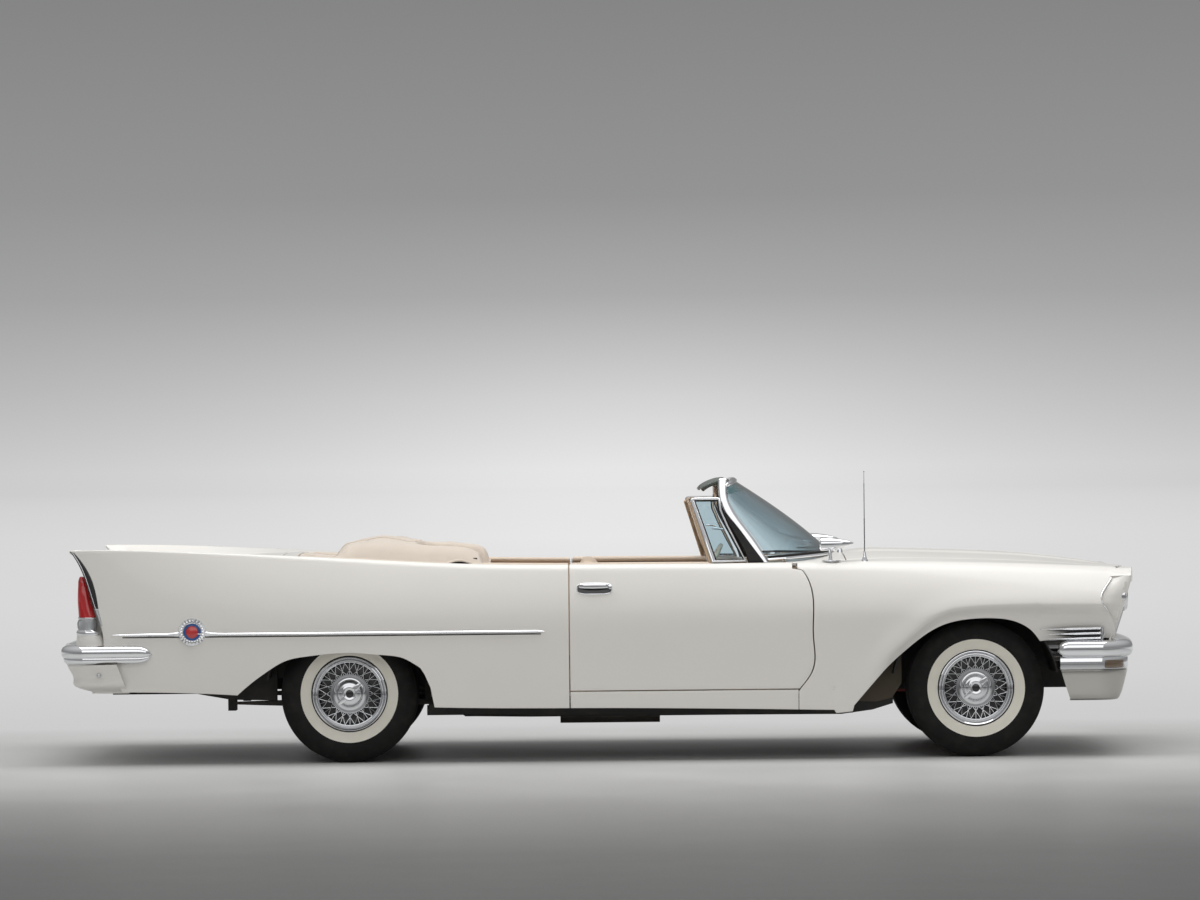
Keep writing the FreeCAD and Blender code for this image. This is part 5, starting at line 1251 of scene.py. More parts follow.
@dataclass
class Nose:
    """The painted nose with its paired lamps and the open grille between them."""

    half: float = 0.905
    sweep: float = 0.080
    hood_sweep: float = 0.175
    lamp_z: float = 0.812
    lamp_ys: tuple[float, float] = (0.676, 0.830)
    radius: float = 0.072
    grille_top: Point = (0.430, 0.868)
    grille_low: Point = (0.560, 0.606)

    def face(self, y: float, z: float, setback: float = 0.0) -> Vector:
        """A point of the nose's face."""
        return Vector((Lines.nose_x(z) - self.sweep * (y / self.half) ** 2 - setback, y, z))

    def opening(self, z: float) -> float:
        """The half width of the grille's opening at a height."""
        t = between((z - self.grille_low[1]) / (self.grille_top[1] - self.grille_low[1]), 0, 1)
        return self.grille_low[0] + (self.grille_top[0] - self.grille_low[0]) * t

    def top(self, y: float) -> float:
        """The upper edge of the nose, level with the hood and the fenders' crests."""
        x = Lines.nose_x(0.94) - self.sweep * (y / self.half) ** 2
        inner = Lines.shelf_y(x)
        if abs(y) <= inner:
            return Lines.hood_z(x) - (Lines.hood_z(x) - Lines.shelf_z(x)) * (y / inner) ** 2
        t = between((abs(y) - inner) / (Lines.crest_y(x) - inner), 0, 1)
        corner = between((abs(y) - 0.80) / (self.half - 0.80), 0, 1)
        return Lines.shelf_z(x) + (Lines.crest_z(x) - Lines.shelf_z(x)) * t - 0.040 * corner ** 2

    def pod_side(self) -> bpy.types.Object:
        """The painted side of the left lamp pod, from the nose back into the fender's edge."""
        edge = BodySide().front_end

        def place(u: float, v: float) -> Vector:
            z = 0.596 + v * (self.top(self.half) - 0.596)
            near = self.half - 0.002 - 0.02 * ease((0.72 - z) / 0.04)
            front = self.face(near, z).x + 0.006 + 0.018 * between((z - 0.62) / 0.30, 0, 1)
            rear = edge(z) - 0.020
            far = side_y(rear, z, Lines.nose_bottom(rear)) + FLARE.offset(rear, z) - 0.016
            return Vector((mix(front, rear, u), mix(near, far, ease(u)), z))

        return Workshop.thicken(Workshop.grid("pod_side_left", 16, 32, place, LEFTWARD), 0.006, 0.0015)

    def pod_trim(self) -> bpy.types.Object:
        """The thin bright line on the left fender's front edge."""
        edge = BodySide().front_end
        spots = []
        for i in range(25):
            z = 0.738 + i * 0.007
            x = edge(z)
            spots.append(Vector((x + 0.001, side_y(x, z, Lines.nose_bottom(x)) + FLARE.offset(x, z) - 0.001, z)))
        return Rack.dress(Workshop.rod("pod_trim_left", spots, 0.0036, 10), CHROME)

    def panels(self) -> list[bpy.types.Object]:
        """The face: a header over the grille, a cheek at each side with lamp holes, a lower bar."""
        def header(u: float, v: float) -> Vector:
            y = (2 * u - 1) * self.half
            top = self.top(y)
            point = self.face(y, 0.886 + (top - 0.886) * min(1.0, v / 0.8))
            share = max(0.0, v / 0.8 - 1.0) * 4.0
            point.x += 0.022 * ease((abs(y) - 0.56) / 0.22) * (1 - share)
            point.x -= share * (0.020 + (self.hood_sweep - self.sweep) * (y / self.half) ** 2)
            edge = side_y(point.x, point.z, Lines.nose_bottom(point.x)) - 0.012
            if abs(y) > edge:
                point.y = math.copysign(abs(y) + (edge - abs(y)) * share, y)
            point.z += share * (0.004 - 0.009 * ease((abs(y) - 0.50) / 0.1))
            return point

        parts = [Workshop.grid("nose_header", 96, 20, header, Vector((1, 0, 0)))]

        def cheek(u: float, v: float) -> Vector:
            z = mix(0.588, 0.889, v)
            inner = self.opening(z)
            outer = self.half - (0.02 if z < 0.70 else 0.0)
            y = mix(inner, outer, u)
            return self.face(y, z, 0.0)

        for side in Side:
            made = Workshop.grid(f"nose_cheek_{side.tag}", 60, 48, cheek, Vector((1, 0, 0)))
            if side is Side.RIGHT:
                made.data.transform(Matrix.Scale(-1, 4, LEFTWARD))
                made.data.flip_normals()
            self.pierce(made, side)
            parts.append(made)
        lower = Workshop.grid("nose_lower", 60, 4, lambda u, v: self.face(
            (2 * u - 1) * self.grille_low[0], 0.588 + v * 0.020), Vector((1, 0, 0)))
        parts.append(lower)
        for part in parts:
            Workshop.thicken(part, 0.010, 0.0015)
        return parts

    def pierce(self, panel: bpy.types.Object, side: Side) -> None:
        """Takes the faces inside each lamp's hole out and rounds the hole's edge."""
        spots = [(side.value * y, self.lamp_z) for y in self.lamp_ys]
        for vert in panel.data.vertices:
            for y, z in spots:
                away = math.hypot(vert.co.y - y, vert.co.z - z)
                if 0 < away < self.radius + 0.010:
                    if away > self.radius - 0.010:
                        scale = (self.radius + 0.001) / away
                        vert.co.y, vert.co.z = y + (vert.co.y - y) * scale, z + (vert.co.z - z) * scale
        Workshop.pick(panel)
        bpy.ops.object.mode_set(mode="EDIT")
        bpy.ops.mesh.select_mode(type="FACE")
        bpy.ops.mesh.select_all(action="DESELECT")
        bpy.ops.object.mode_set(mode="OBJECT")
        for face in panel.data.polygons:
            face.select = any(math.hypot(face.center.y - y, face.center.z - z) < self.radius - 0.001
                              for y, z in spots)
        bpy.ops.object.mode_set(mode="EDIT")
        bpy.ops.mesh.delete(type="FACE")
        bpy.ops.mesh.select_mode(type="VERT")
        bpy.ops.object.mode_set(mode="OBJECT")

    def lamp(self, y: float, tag: str) -> list[bpy.types.Object]:
        """One round lamp: chrome bezel, bowl and ribbed glass."""
        centre = self.face(y, self.lamp_z)
        forward = Vector((1, 0, 0))
        bezel = Workshop.turned(f"bezel_{tag}", [
            (0.0600, 0.0010), (0.0610, 0.0050), (0.0650, 0.0085), (0.0700, 0.0075), (0.0745, 0.0030),
            (0.0760, -0.0020), (0.0740, -0.0300), (0.0700, -0.0300), (0.0690, -0.0050), (0.0620, -0.0020)],
            centre, 64, forward)
        Rack.dress(bezel, CHROME)
        bowl = Workshop.turned(f"bowl_{tag}", [
            (0.0615, -0.0030), (0.0560, -0.0200), (0.0420, -0.0340), (0.0200, -0.0410), (AXIS, -0.0420),
            (AXIS, -0.0440), (0.0210, -0.0430), (0.0450, -0.0360), (0.0600, -0.0200), (0.0650, -0.0030)],
            centre, 48, forward)
        Rack.dress(bowl, MIRROR)
        glass = Workshop.turned(f"glass_{tag}", [
            (0.0612, -0.0010), (0.0560, 0.0040), (0.0400, 0.0085), (0.0200, 0.0110), (AXIS, 0.0120),
            (AXIS, 0.0090), (0.0200, 0.0080), (0.0400, 0.0055), (0.0560, 0.0010), (0.0600, -0.0040)],
            centre, 48, forward)
        Rack.dress(glass, CLEAR_LENS)
        return [bezel, bowl, glass]

    def grille(self) -> bpy.types.Object:
        """An egg-crate of thin bars set back in a bright surround."""
        depth = 0.045
        parts = []
        for i in range(15):
            y = -self.grille_low[0] + 2 * self.grille_low[0] * i / 14
            height = self.grille_top[1] if abs(y) < 0.425 else self.grille_low[1] + (
                self.grille_low[0] - abs(y)) / 0.13 * (self.grille_top[1] - self.grille_low[1])
            if height - self.grille_low[1] < 0.02:
                continue
            bow = self.sweep * (y / self.half) ** 2
            x = Lines.nose_x(0.606) - 0.030 - bow
            parts.append(Workshop.block("grille_upright", Vector((x - depth, y - 0.0022, self.grille_low[1])),
                                        Vector((x, y + 0.0022, height)), 0.0008, 1))
        for i in range(9):
            z = self.grille_low[1] + 0.012 + i * 0.030
            half = self.opening(z)

            def bar(u: float, v: float, z: float = z, half: float = half) -> Vector:
                y = (2 * u - 1) * half
                x = Lines.nose_x(0.606) - 0.026 - self.sweep * (y / self.half) ** 2
                return Vector((x - depth * (1 - v), y, z))

            strip = Workshop.grid("grille_bar", 32, 2, bar, UP)
            parts.append(Workshop.thicken(strip, 0.004, 0.001))
        corners = [(self.grille_low[0], self.grille_low[1]), (-self.grille_low[0], self.grille_low[1]),
                   (-self.grille_top[0], self.grille_top[1]), (self.grille_top[0], self.grille_top[1])]
        ring = []
        for (y0, z0), (y1, z1) in zip(corners, corners[1:] + corners[:1]):
            for k in range(12):
                t = k / 12
                ring.append(self.face(mix(y0, y1, t), mix(z0, z1, t), -0.002))
        parts.append(Workshop.rod("grille_surround", ring, 0.009, 12, cyclic=True))
        return Rack.dress(Workshop.join("grille_chrome", parts), CHROME)

    def build(self) -> None:
        """Builds and books the nose."""
        walls = [self.pod_side()]
        walls.append(Workshop.mirror(walls[0], "pod_side_right"))
        painted = Workshop.join("nose_face", [*self.panels(), *walls])
        Rack.pair(self.pod_trim(), "body", "bright_trim")
        Rack.book(Rack.dress(painted, PAINT), "body", "ivory_paint", ["nose_panel"])
        lamps = []
        for side in Side:
            for k, y in enumerate(self.lamp_ys):
                lamps += self.lamp(side.value * y, f"{side.tag}_{k}")
        Rack.book(Workshop.join("lamp_units", lamps), "body", "lamp_glass", ["headlamps"])
        Rack.book(self.grille(), "body", "bright_trim", ["grille"])
        backing = Workshop.grid("grille_shadow", 24, 8, lambda u, v: self.face(
            (2 * u - 1) * 0.55, 0.600 + v * 0.28, 0.110), Vector((1, 0, 0)))
        Rack.book(Rack.dress(Workshop.thicken(backing, 0.004, 0), BLACK), "body", "black_underbody", ["grille"])


# Tail and trim

@dataclass
class Tail:
    """The tail between the fins: painted panel, painted valance wings, lamps and fin ends."""

    inset_shares: tuple[Point, ...] = (
        (0.372, 0.144), (0.392, 0.068), (0.443, 0.033), (0.520, 0.000), (0.566, 0.012), (0.620, 0.040),
        (0.690, 0.062), (0.784, 0.074), (0.876, 0.082))
    niche_y: float = 0.868
    niche_z: float = 0.666
    lamp_y: float = 0.898
    lens: tuple[tuple[float, float, float, float], ...] = (
        (0.751, -2.6080, 0.0460, 0.0360), (0.776, -2.6120, 0.0425, 0.0350), (0.832, -2.6220, 0.0360, 0.0310),
        (0.887, -2.6280, 0.0290, 0.0260), (0.927, -2.6320, 0.0230, 0.0210), (0.950, -2.6340, 0.0180, 0.0165),
        (0.962, -2.6350, 0.0130, 0.0120), (0.966, -2.6355, 0.0060, 0.0060), (0.967, -2.6356, 0.0004, 0.0004))

    def panel(self) -> bpy.types.Object:
        """The painted panel, wide below the lamps and between their niches above."""
        inset = Track(self.inset_shares, 1.0, 1.0)

        def wide(u: float, v: float) -> Vector:
            z = mix(0.372, self.niche_z, v)
            line = BumperLine(-2.716, Lines.tail_x(z) - 0.002, 0.946, 0.200, 5.200)
            spot, way = line.stations(161)[round(u * 160)]
            point = spot - way * inset(z)
            return Vector((point.x, point.y, z))

        line = BumperLine(-2.716, -2.400, 0.946, 0.200, 5.200)
        inner = [(p, w) for p, w in line.stations(401) if abs((p - w * 0.07).y) <= self.niche_y]

        def narrow(u: float, v: float) -> Vector:
            z = mix(self.niche_z, 0.876, v)
            spot, way = inner[round(u * (len(inner) - 1))]
            point = spot - way * inset(z)
            return Vector((point.x, point.y, z))

        parts = [Workshop.grid("tail_low", 160, 26, wide, Vector((-1, 0, 0))),
                 Workshop.grid("tail_high", len(inner) - 1, 12, narrow, Vector((-1, 0, 0)))]
        for part in parts:
            Workshop.thicken(part, 0.012, 0.0015)
        return Workshop.join("tail_face", parts)

    def fin_end(self) -> bpy.types.Object:
        """The panel that closes the fin behind the lamp, with the niche's inner wall."""
        def inner_y(x: float, z: float) -> float:
            low, high = Lines.shelf_z(x), Lines.crest_z(x)
            if z <= low:
                return self.niche_y - 0.004
            t = (z - low) / (high - low)
            return Lines.shelf_y(x) + (Lines.crest_y(x) - Lines.shelf_y(x)) * t + 0.013

        def place(u: float, v: float) -> Vector:
            z = mix(0.600, 1.086, v)
            x = Lines.tail_x(z) + 0.016
            outer = side_y(x, z, Lines.sill_z(x)) - 0.012
            inner = min(inner_y(x, z), outer - 0.001)
            return Vector((x - 0.004 * math.sin(math.pi * u), mix(inner, outer, u), z))

        made = Workshop.grid("fin_end", 10, 50, place, Vector((-1, 0, 0)))
        Workshop.thicken(made, 0.004, 0.0)
        wall = Workshop.block("niche_wall", Vector((-2.655, 0.862, 0.640)), Vector((-2.545, 0.868, 0.905)), 0.001, 1)
        top = Workshop.block("niche_top", Vector((-2.655, 0.730, 0.880)), Vector((-2.600, 0.868, 0.905)), 0.002, 1)
        return Workshop.join("fin_end_left", [made, wall, top])

    def edge_strip(self) -> bpy.types.Object:
        """A gloss black strip down the fin's rear edge, painted shade for the recess there, ending in bright trim."""
        def strip(name: str, low: float, high: float, wide: Callable[[float], float],
                  lift: float) -> bpy.types.Object:
            def place(u: float, v: float) -> Vector:
                z = mix(low, high, v)
                x = Lines.tail_x(z) - 0.004 + u * wide(v)
                return Vector((x, side_y(x, z, Lines.sill_z(x)) + lift, z))
            made = Workshop.grid(name, 3, 36, place, LEFTWARD)
            return Workshop.thicken(made, 0.014, 0.0015)

        # Painted shade: the fin's rear recess is a gloss black strip.
        shade_strip = strip("fin_channel", 0.800, 1.088,
                      lambda v: 0.016 + 0.020 * math.sin(math.pi * min(1, v * 0.9 + 0.1)), 0.002)
        Rack.dress(shade_strip, GLOSS_BLACK)
        bright = strip("fin_channel_end", 0.712, 0.802, lambda v: 0.012 + 0.010 * v, 0.003)
        Rack.dress(bright, CHROME)
        rim = Workshop.rod("fin_rim", [Vector((Lines.tail_x(z) + 0.004, side_y(
            Lines.tail_x(z), z, Lines.sill_z(Lines.tail_x(z))) + 0.0025, z)) for z in
            [0.712 + i * 0.0125 for i in range(31)]], 0.0028, 8)
        Rack.dress(rim, CHROME)
        return Workshop.join("fin_trim_left", [shade_strip, bright, rim])

    def tube(self, name: str, rows: Sequence[tuple[float, float, float, float]], finish: Finish | GlassFinish,
             flutes: float = 0.0) -> bpy.types.Object:
        """An oval body through rows of height, centre and half sizes."""
        columns = 72

        def place(u: float, v: float) -> Vector:
            z, x, a, b = rows[round(v * (len(rows) - 1))]
            angle = u * math.tau
            swell = 1 + flutes * math.cos(angle * 24)
            return Vector((x + a * swell * math.cos(angle), self.lamp_y + b * swell * math.sin(angle), z))

        made = Workshop.grid(name, columns, len(rows) - 1, place, UP)
        Workshop.tidy(made)
        return Rack.dress(Workshop.smooth(made, 40), finish)

    def lamp(self) -> bpy.types.Object:
        """The tall red lens on its bright base, with the clear lamp below and the painted pod."""
        fine = []
        heights = [Track(tuple((r[0], r[k]) for r in self.lens), 1.0, 1.0) for k in (1, 2, 3)]
        for i in range(33):
            z = 0.751 + (0.967 - 0.751) * (1 - (1 - i / 32) ** 1.6)
            fine.append((z, heights[0](z), max(0.0004, heights[1](z)), max(0.0004, heights[2](z))))
        red = self.tube("tail_lens", fine, RED_LENS, 0.006)
        x = -2.608
        collar = self.tube("lamp_collar", [
            (0.747, x, 0.0200, 0.0200), (0.7485, x, 0.0480, 0.0380), (0.754, x, 0.0500, 0.0400),
            (0.757, x, 0.0490, 0.0390), (0.759, x, 0.0450, 0.0350), (0.759, x, 0.0200, 0.0200)], CHROME)
        clear = self.tube("backup_lens", [
            (0.691, x - 0.002, 0.0440, 0.0370), (0.705, x - 0.002, 0.0500, 0.0400), (0.725, x - 0.002, 0.0515, 0.0405),
            (0.739, x - 0.001, 0.0495, 0.0395), (0.748, x, 0.0450, 0.0360)], CLEAR_LENS)
        core = self.tube("backup_core", [
            (0.687, x, 0.0300, 0.0250), (0.691, x, 0.0380, 0.0310), (0.745, x, 0.0380, 0.0310),
            (0.749, x, 0.0300, 0.0250)], SATIN)
        lip = self.tube("lamp_lip", [
            (0.665, x + 0.006, 0.0300, 0.0300), (0.666, x + 0.006, 0.0600, 0.0430), (0.673, x + 0.006, 0.0640, 0.0455),
            (0.681, x + 0.006, 0.0640, 0.0455), (0.687, x + 0.004, 0.0600, 0.0430), (0.693, x, 0.0520, 0.0405),
            (0.694, x, 0.0300, 0.0300)], CHROME)
        pod = self.tube("lamp_pod", [
            (0.596, x + 0.022, 0.0300, 0.0300), (0.598, x + 0.020, 0.0760, 0.0400), (0.630, x + 0.014, 0.0720, 0.0410),
            (0.663, x + 0.008, 0.0640, 0.0425), (0.667, x + 0.008, 0.0600, 0.0400), (0.667, x, 0.0200, 0.0200)], PAINT)
        return Workshop.join("tail_lamp_left", [red, collar, clear, core, lip, pod])

    def valance(self) -> bpy.types.Object:
        """The painted wing below the bumper's corner, drawn in towards its front."""
        inset = Track(self.inset_shares, 1.0, 1.0)
        low_z, high_z = 0.366, 0.516
        rear_x, front_x, slant = -2.750, -2.402, 0.052
        half, inner_y = 0.948, 0.56

        def place(u: float, v: float) -> Vector:
            z = mix(low_z, high_z, v)
            line = BumperLine(rear_x, front_x - slant * v, half, 0.120, 9.000)
            spots = line.stations(241)[:120]
            stop = next(i for i, (p, _) in enumerate(spots) if p.y < inner_y)
            spot, way = spots[round(u * stop)]
            reach = between(inset(max(z, 0.374)), 0.0, 0.2) - 0.012
            point = spot - way * (reach - 0.030 * ease((spot.x + 2.62) / 0.12))
            return Vector((point.x, point.y, z))

        made = Workshop.grid("valance_wing", 60, 16, place, Vector((-0.5, 1, 0)))
        Rack.dress(Workshop.thicken(made, 0.004, 0.001), PAINT)
        stud = Workshop.turned("valance_stud", [(AXIS, 0.006), (0.006, 0.005), (0.011, 0.001), (0.012, -0.004),
                                                (AXIS, -0.004)], Vector((-2.548, 0.962, 0.462)), 24)
        Rack.dress(stud, SATIN)
        return Workshop.join("valance_left", [made, stud])

    def build(self) -> None:
        """Builds and books the tail."""
        Rack.book(Rack.dress(self.panel(), PAINT), "body", "ivory_paint", ["tail_panel"])
        for piece, slot, node in ((Rack.dress(self.fin_end(), PAINT), "ivory_paint", "tail_panel"),
                                  (self.edge_strip(), "black_underbody", "rear_quarter_left"),
                                  (self.lamp(), "red_lens", "tail_lamps"),
                                  (self.valance(), "ivory_paint", "tail_panel")):
            Rack.pair(piece, "body", slot, [node])


@dataclass
class Trim:
    """Side spears with their medallions, door handles, louvres, mirrors and the antenna."""

    spear_z: float = 0.667

    def skin(self, x: float, z: float) -> float:
        """How wide the body is at a place."""
        return side_y(x, z, Lines.sill_z(x)) + FLARE.offset(x, z)

    def spear(self) -> bpy.types.Object:
        """The long bright strip, pointed behind and blunt at its front, with a neck at the medallion, and a gloss
        black band under it as painted shadow.
        """
        rear, front, middle = -2.486, -0.275, -2.069
        section = ((-1.0, -0.004), (-0.95, 0.004), (-0.55, 0.0085), (0.0, 0.0115), (0.55, 0.0085),
                   (0.95, 0.004), (1.0, -0.004))

        def place(u: float, v: float) -> Vector:
            x = mix(rear, front, u)
            tip = min(1.0, ((x - rear) / 0.20) ** 0.6)
            end = min(1.0, math.sqrt(max(0.0, (front - x) / 0.045)))
            neck = math.exp(-((x - middle) / 0.085) ** 2)
            half = (0.0087 + 0.006 * neck) * tip * end + 0.0003
            across, out = section[round(v * (len(section) - 1))]
            z = self.spear_z + 0.004 * neck + across * half
            return Vector((x, self.skin(x, z) + out * tip * end, z))

        strip = Workshop.grid("spear_strip", 170, len(section) - 1, place, LEFTWARD)
        Workshop.thicken(strip, 0.003, 0.0)
        Rack.dress(strip, CHROME)

        # Painted shadow: a thin gloss black band on the skin just below the strip.
        def under(u: float, v: float) -> Vector:
            x = rear + 0.06 + u * (front - rear - 0.08)
            z = self.spear_z - 0.0105 - v * 0.005
            return Vector((x, self.skin(x, z) + 0.0012, z))

        painted_shade = Workshop.grid("spear_painted_shadow", 120, 1, under, LEFTWARD)
        Rack.dress(Workshop.thicken(painted_shade, 0.002, 0.0), GLOSS_BLACK)
        return Workshop.join("side_spear_left", [strip, painted_shade])

    def medallion(self) -> bpy.types.Object:
        """A round bright badge: a plain red centre, a thin blue ring and a fluted rim."""
        x, z = -2.069, 0.680
        centre = Vector((x, self.skin(x, z), z))
        rim = Workshop.turned("badge_rim", [
            (0.0440, 0.0120), (0.0470, 0.0150), (0.0520, 0.0160), (0.0620, 0.0145), (0.0690, 0.0110),
            (0.0710, 0.0060), (0.0710, -0.0080), (0.0440, -0.0080)], centre, 96)
        for vert in rim.data.vertices:
            offset = vert.co - centre
            radius = math.hypot(offset.x, offset.z)
            if radius > 0.048 and offset.y > 0:
                angle = math.atan2(offset.z, offset.x)
                vert.co.y += 0.0022 * math.cos(angle * 24) * ease((radius - 0.048) / 0.01)
        Rack.dress(Workshop.smooth(rim, 40), CHROME)
        ring = Workshop.turned("badge_ring", [(0.0330, 0.0120), (0.0385, 0.0128), (0.0440, 0.0120), (0.0440, 0.0040),
                                              (0.0330, 0.0040)], centre, 64)
        Rack.dress(ring, BLUE_ENAMEL)
        bead = Workshop.turned("badge_bead", [(0.0300, 0.0125), (0.0315, 0.0150), (0.0330, 0.0125), (0.0330, 0.0040),
                                              (0.0300, 0.0040)], centre, 64)
        Rack.dress(bead, CHROME)
        dome = Workshop.turned("badge_dome", [(AXIS, 0.0190), (0.0120, 0.0180), (0.0220, 0.0155), (0.0300, 0.0120),
                                              (0.0300, 0.0040), (AXIS, 0.0040)], centre, 64)
        Rack.dress(dome, RED_ENAMEL)
        return Workshop.join("medallion_left", [rim, ring, bead, dome])

    def handle(self) -> bpy.types.Object:
        """The door's pull with its button, and a flat gloss black plate in its chrome rim as painted shade for the
        recess.
        """
        x0, x1, z = -0.105, 0.062, 0.888
        recess = []
        for i in range(40):
            a = math.tau * i / 40
            x = (x0 + x1) / 2 + 0.089 * blunt(math.cos(a), 0.5)
            zz = z - 0.008 + 0.028 * blunt(math.sin(a), 0.6)
            recess.append(Vector((x, self.skin(x, zz) + 0.001, zz)))
        # Painted shade: the recess is a flat gloss black plate on the skin.
        plate = Rack.dress(Workshop.slab("handle_recess_painted_shade", recess, Vector((0, -0.004, 0)), 0.0008, 1), GLOSS_BLACK)
        frame_ring = Rack.dress(Workshop.rod("handle_rim", recess, 0.0028, 8, cyclic=True), CHROME)

        def grip(u: float, v: float) -> Vector:
            x = x0 + 0.004 + u * (x1 - x0 - 0.008)
            bow = math.sin(math.pi * u) ** 0.5 if 0 < u < 1 else 0.0
            a = v * math.tau
            half = 0.0125 * (0.75 + 0.25 * bow)
            zz = z + 0.006 + half * math.sin(a)
            return Vector((x, self.skin(x, z) + 0.004 + 0.020 * bow + 0.0045 * math.cos(a), zz))

        pull = Rack.dress(Workshop.smooth(Workshop.tidy(Workshop.grid("handle_pull", 40, 20, grip, LEFTWARD)),
                                          60), CHROME)
        centre = Vector((x1 - 0.004, self.skin(x1, z) + 0.004, z))
        button = Rack.dress(Workshop.turned("handle_button", [(AXIS, 0.020), (0.008, 0.019), (0.011, 0.015),
                                                              (0.012, -0.004), (AXIS, -0.004)], centre, 32), CHROME)
        return Workshop.join("door_handle_left", [plate, frame_ring, pull, button])

    def louvres(self) -> bpy.types.Object:
        """Three pointed bright louvres ahead of the front wheel, each with a gloss black band below it as painted
        shadow.
        """
        made = []
        for k, (z, rear) in enumerate(((0.652, 2.245), (0.627, 2.286), (0.602, 2.286))):
            front = 2.556

            def place(u: float, v: float, z: float = z, rear: float = rear) -> Vector:
                x = mix(rear, front, u)
                grow = min(1.0, (u / 0.55) ** 0.8) if u > 0 else 0.0
                a = v * math.pi
                half = 0.0080 * grow + 0.0004
                zz = z + half * math.cos(a) - 0.004 * (1 - u)
                return Vector((x, self.skin(x, zz) + 0.001 + 0.020 * grow * math.sin(a), zz))

            bar = Workshop.grid(f"louvre_{k}", 40, 12, place, LEFTWARD)
            made.append(Rack.dress(Workshop.thicken(bar, 0.003, 0.0), CHROME))

            # Painted shadow: a gloss black band on the skin under each louvre.
            def shadow_band(u: float, v: float, z: float = z, rear: float = rear) -> Vector:
                x = rear + 0.03 + u * (front - rear - 0.03)
                zz = z - 0.009 - v * 0.010 * min(1.0, u * 2)
                return Vector((x, self.skin(x, zz) + 0.0015, zz))

            gap = Workshop.grid(f"louvre_gap_{k}", 30, 2, shadow_band, LEFTWARD)
            made.append(Rack.dress(Workshop.thicken(gap, 0.002, 0.0), GLOSS_BLACK))
        post = [Vector((2.561 + 0.010 * math.sin(i / 10 * math.pi), self.skin(2.56, 0.592 + i * 0.0072) + 0.006,
                        0.592 + i * 0.0072)) for i in range(11)]
        made.append(Rack.dress(Workshop.rod("louvre_post", post, 0.007, 12), CHROME))
        return Workshop.join("front_louvres_left", made)

    def mirror_unit(self) -> bpy.types.Object:
        """The bullet-shaped mirror on its raked stem and plate."""
        tail = Vector((1.134, 0.845, 1.093))
        forward = Vector((1, 0, 0.02))
        body = Workshop.turned("mirror_body", [
            (0.0300, 0.0000), (0.0335, 0.0040), (0.0345, 0.0120), (0.0340, 0.0300), (0.0315, 0.0620),
            (0.0262, 0.0950), (0.0188, 0.1300), (0.0105, 0.1580), (0.0045, 0.1700), (AXIS, 0.1735),
            (AXIS, 0.0080), (0.0290, 0.0060)], tail, 48, forward)
        Rack.dress(body, CHROME)
        face = Workshop.turned("mirror_glass", [(AXIS, 0.0050), (0.0293, 0.0040), (0.0293, 0.0070), (AXIS, 0.0090)],
                               tail, 48, forward)
        Rack.dress(face, MIRROR)
        foot_z = Lines.crest_z(1.19) - 0.006
        stem = Workshop.rod("mirror_stem", [Vector((1.185, 0.872, foot_z)), Vector((1.186, 0.865, foot_z + 0.03)),
                                            Vector((1.182, 0.852, 1.062)), Vector((1.180, 0.847, 1.070))],
                            0.008, 12, radii=[1.6, 1.1, 1.0, 1.4])
        Rack.dress(stem, CHROME)
        ring = []
        for i in range(28):
            a = math.tau * i / 28
            x = 1.190 + 0.048 * math.cos(a)
            y = 0.872 + 0.018 * math.sin(a)
            ring.append(Vector((x, y, self.upper(x, y) + 0.001)))
        plate = Workshop.slab("mirror_foot", ring, Vector((0, 0, 0.006)), 0.002, 2)
        Rack.dress(plate, CHROME)
        return Workshop.join("fender_mirror_left", [body, face, stem, plate])

    def upper(self, x: float, y: float) -> float:
        """The height of the fender's upper face at a place."""
        t = between((y - Lines.shelf_y(x)) / (Lines.crest_y(x) - Lines.shelf_y(x)), 0, 1)
        return Lines.shelf_z(x) + (Lines.crest_z(x) - Lines.shelf_z(x)) * t

    def antenna(self) -> bpy.types.Object:
        """The mast in its conical foot, and the two sleeves of its sections."""
        base = Vector((1.362, -0.838, self.upper(1.362, 0.838) - 0.002))
        foot = Workshop.turned("antenna_foot", [
            (AXIS, 0.050), (0.0050, 0.050), (0.0058, 0.044), (0.0075, 0.030), (0.0120, 0.014), (0.0170, 0.006),
            (0.0185, 0.002), (0.0185, -0.004), (AXIS, -0.004)], base, 32, UP)
        parts = [Rack.dress(foot, CHROME)]
        heights = (0.045, 0.22, 0.40, 1.466 - base.z)
        for low, high, radius in zip(heights, heights[1:], (0.0034, 0.0026, 0.0018)):
            rod = Workshop.rod("antenna_rod", [base + Vector((0, 0, low)), base + Vector((0, 0, high))], radius, 10)
            parts.append(Rack.dress(rod, CHROME))
        tip = Workshop.turned("antenna_tip", [(AXIS, 0.004), (0.0030, 0.002), (0.0036, -0.002), (0.0025, -0.005),
                                              (AXIS, -0.006)], base + Vector((0, 0, 1.464 - base.z)), 16,
                              UP)
        parts.append(Rack.dress(tip, CHROME))
        return Workshop.join("antenna_mast", parts)

    def build(self) -> None:
        """Builds and books the trim of both sides."""
        rows = ((self.spear(), "body", ["side_spears"]), (self.medallion(), "body", ["side_spears"]),
                (self.handle(), "door_left", []), (self.louvres(), "body", []),
                (self.mirror_unit(), "body", ["mirrors_antenna"]))
        for piece, body, nodes in rows:
            Rack.pair(piece, body, "bright_trim", nodes)
        Rack.book(self.antenna(), "body", "bright_trim", ["mirrors_antenna"])


# Windshield and vent windows

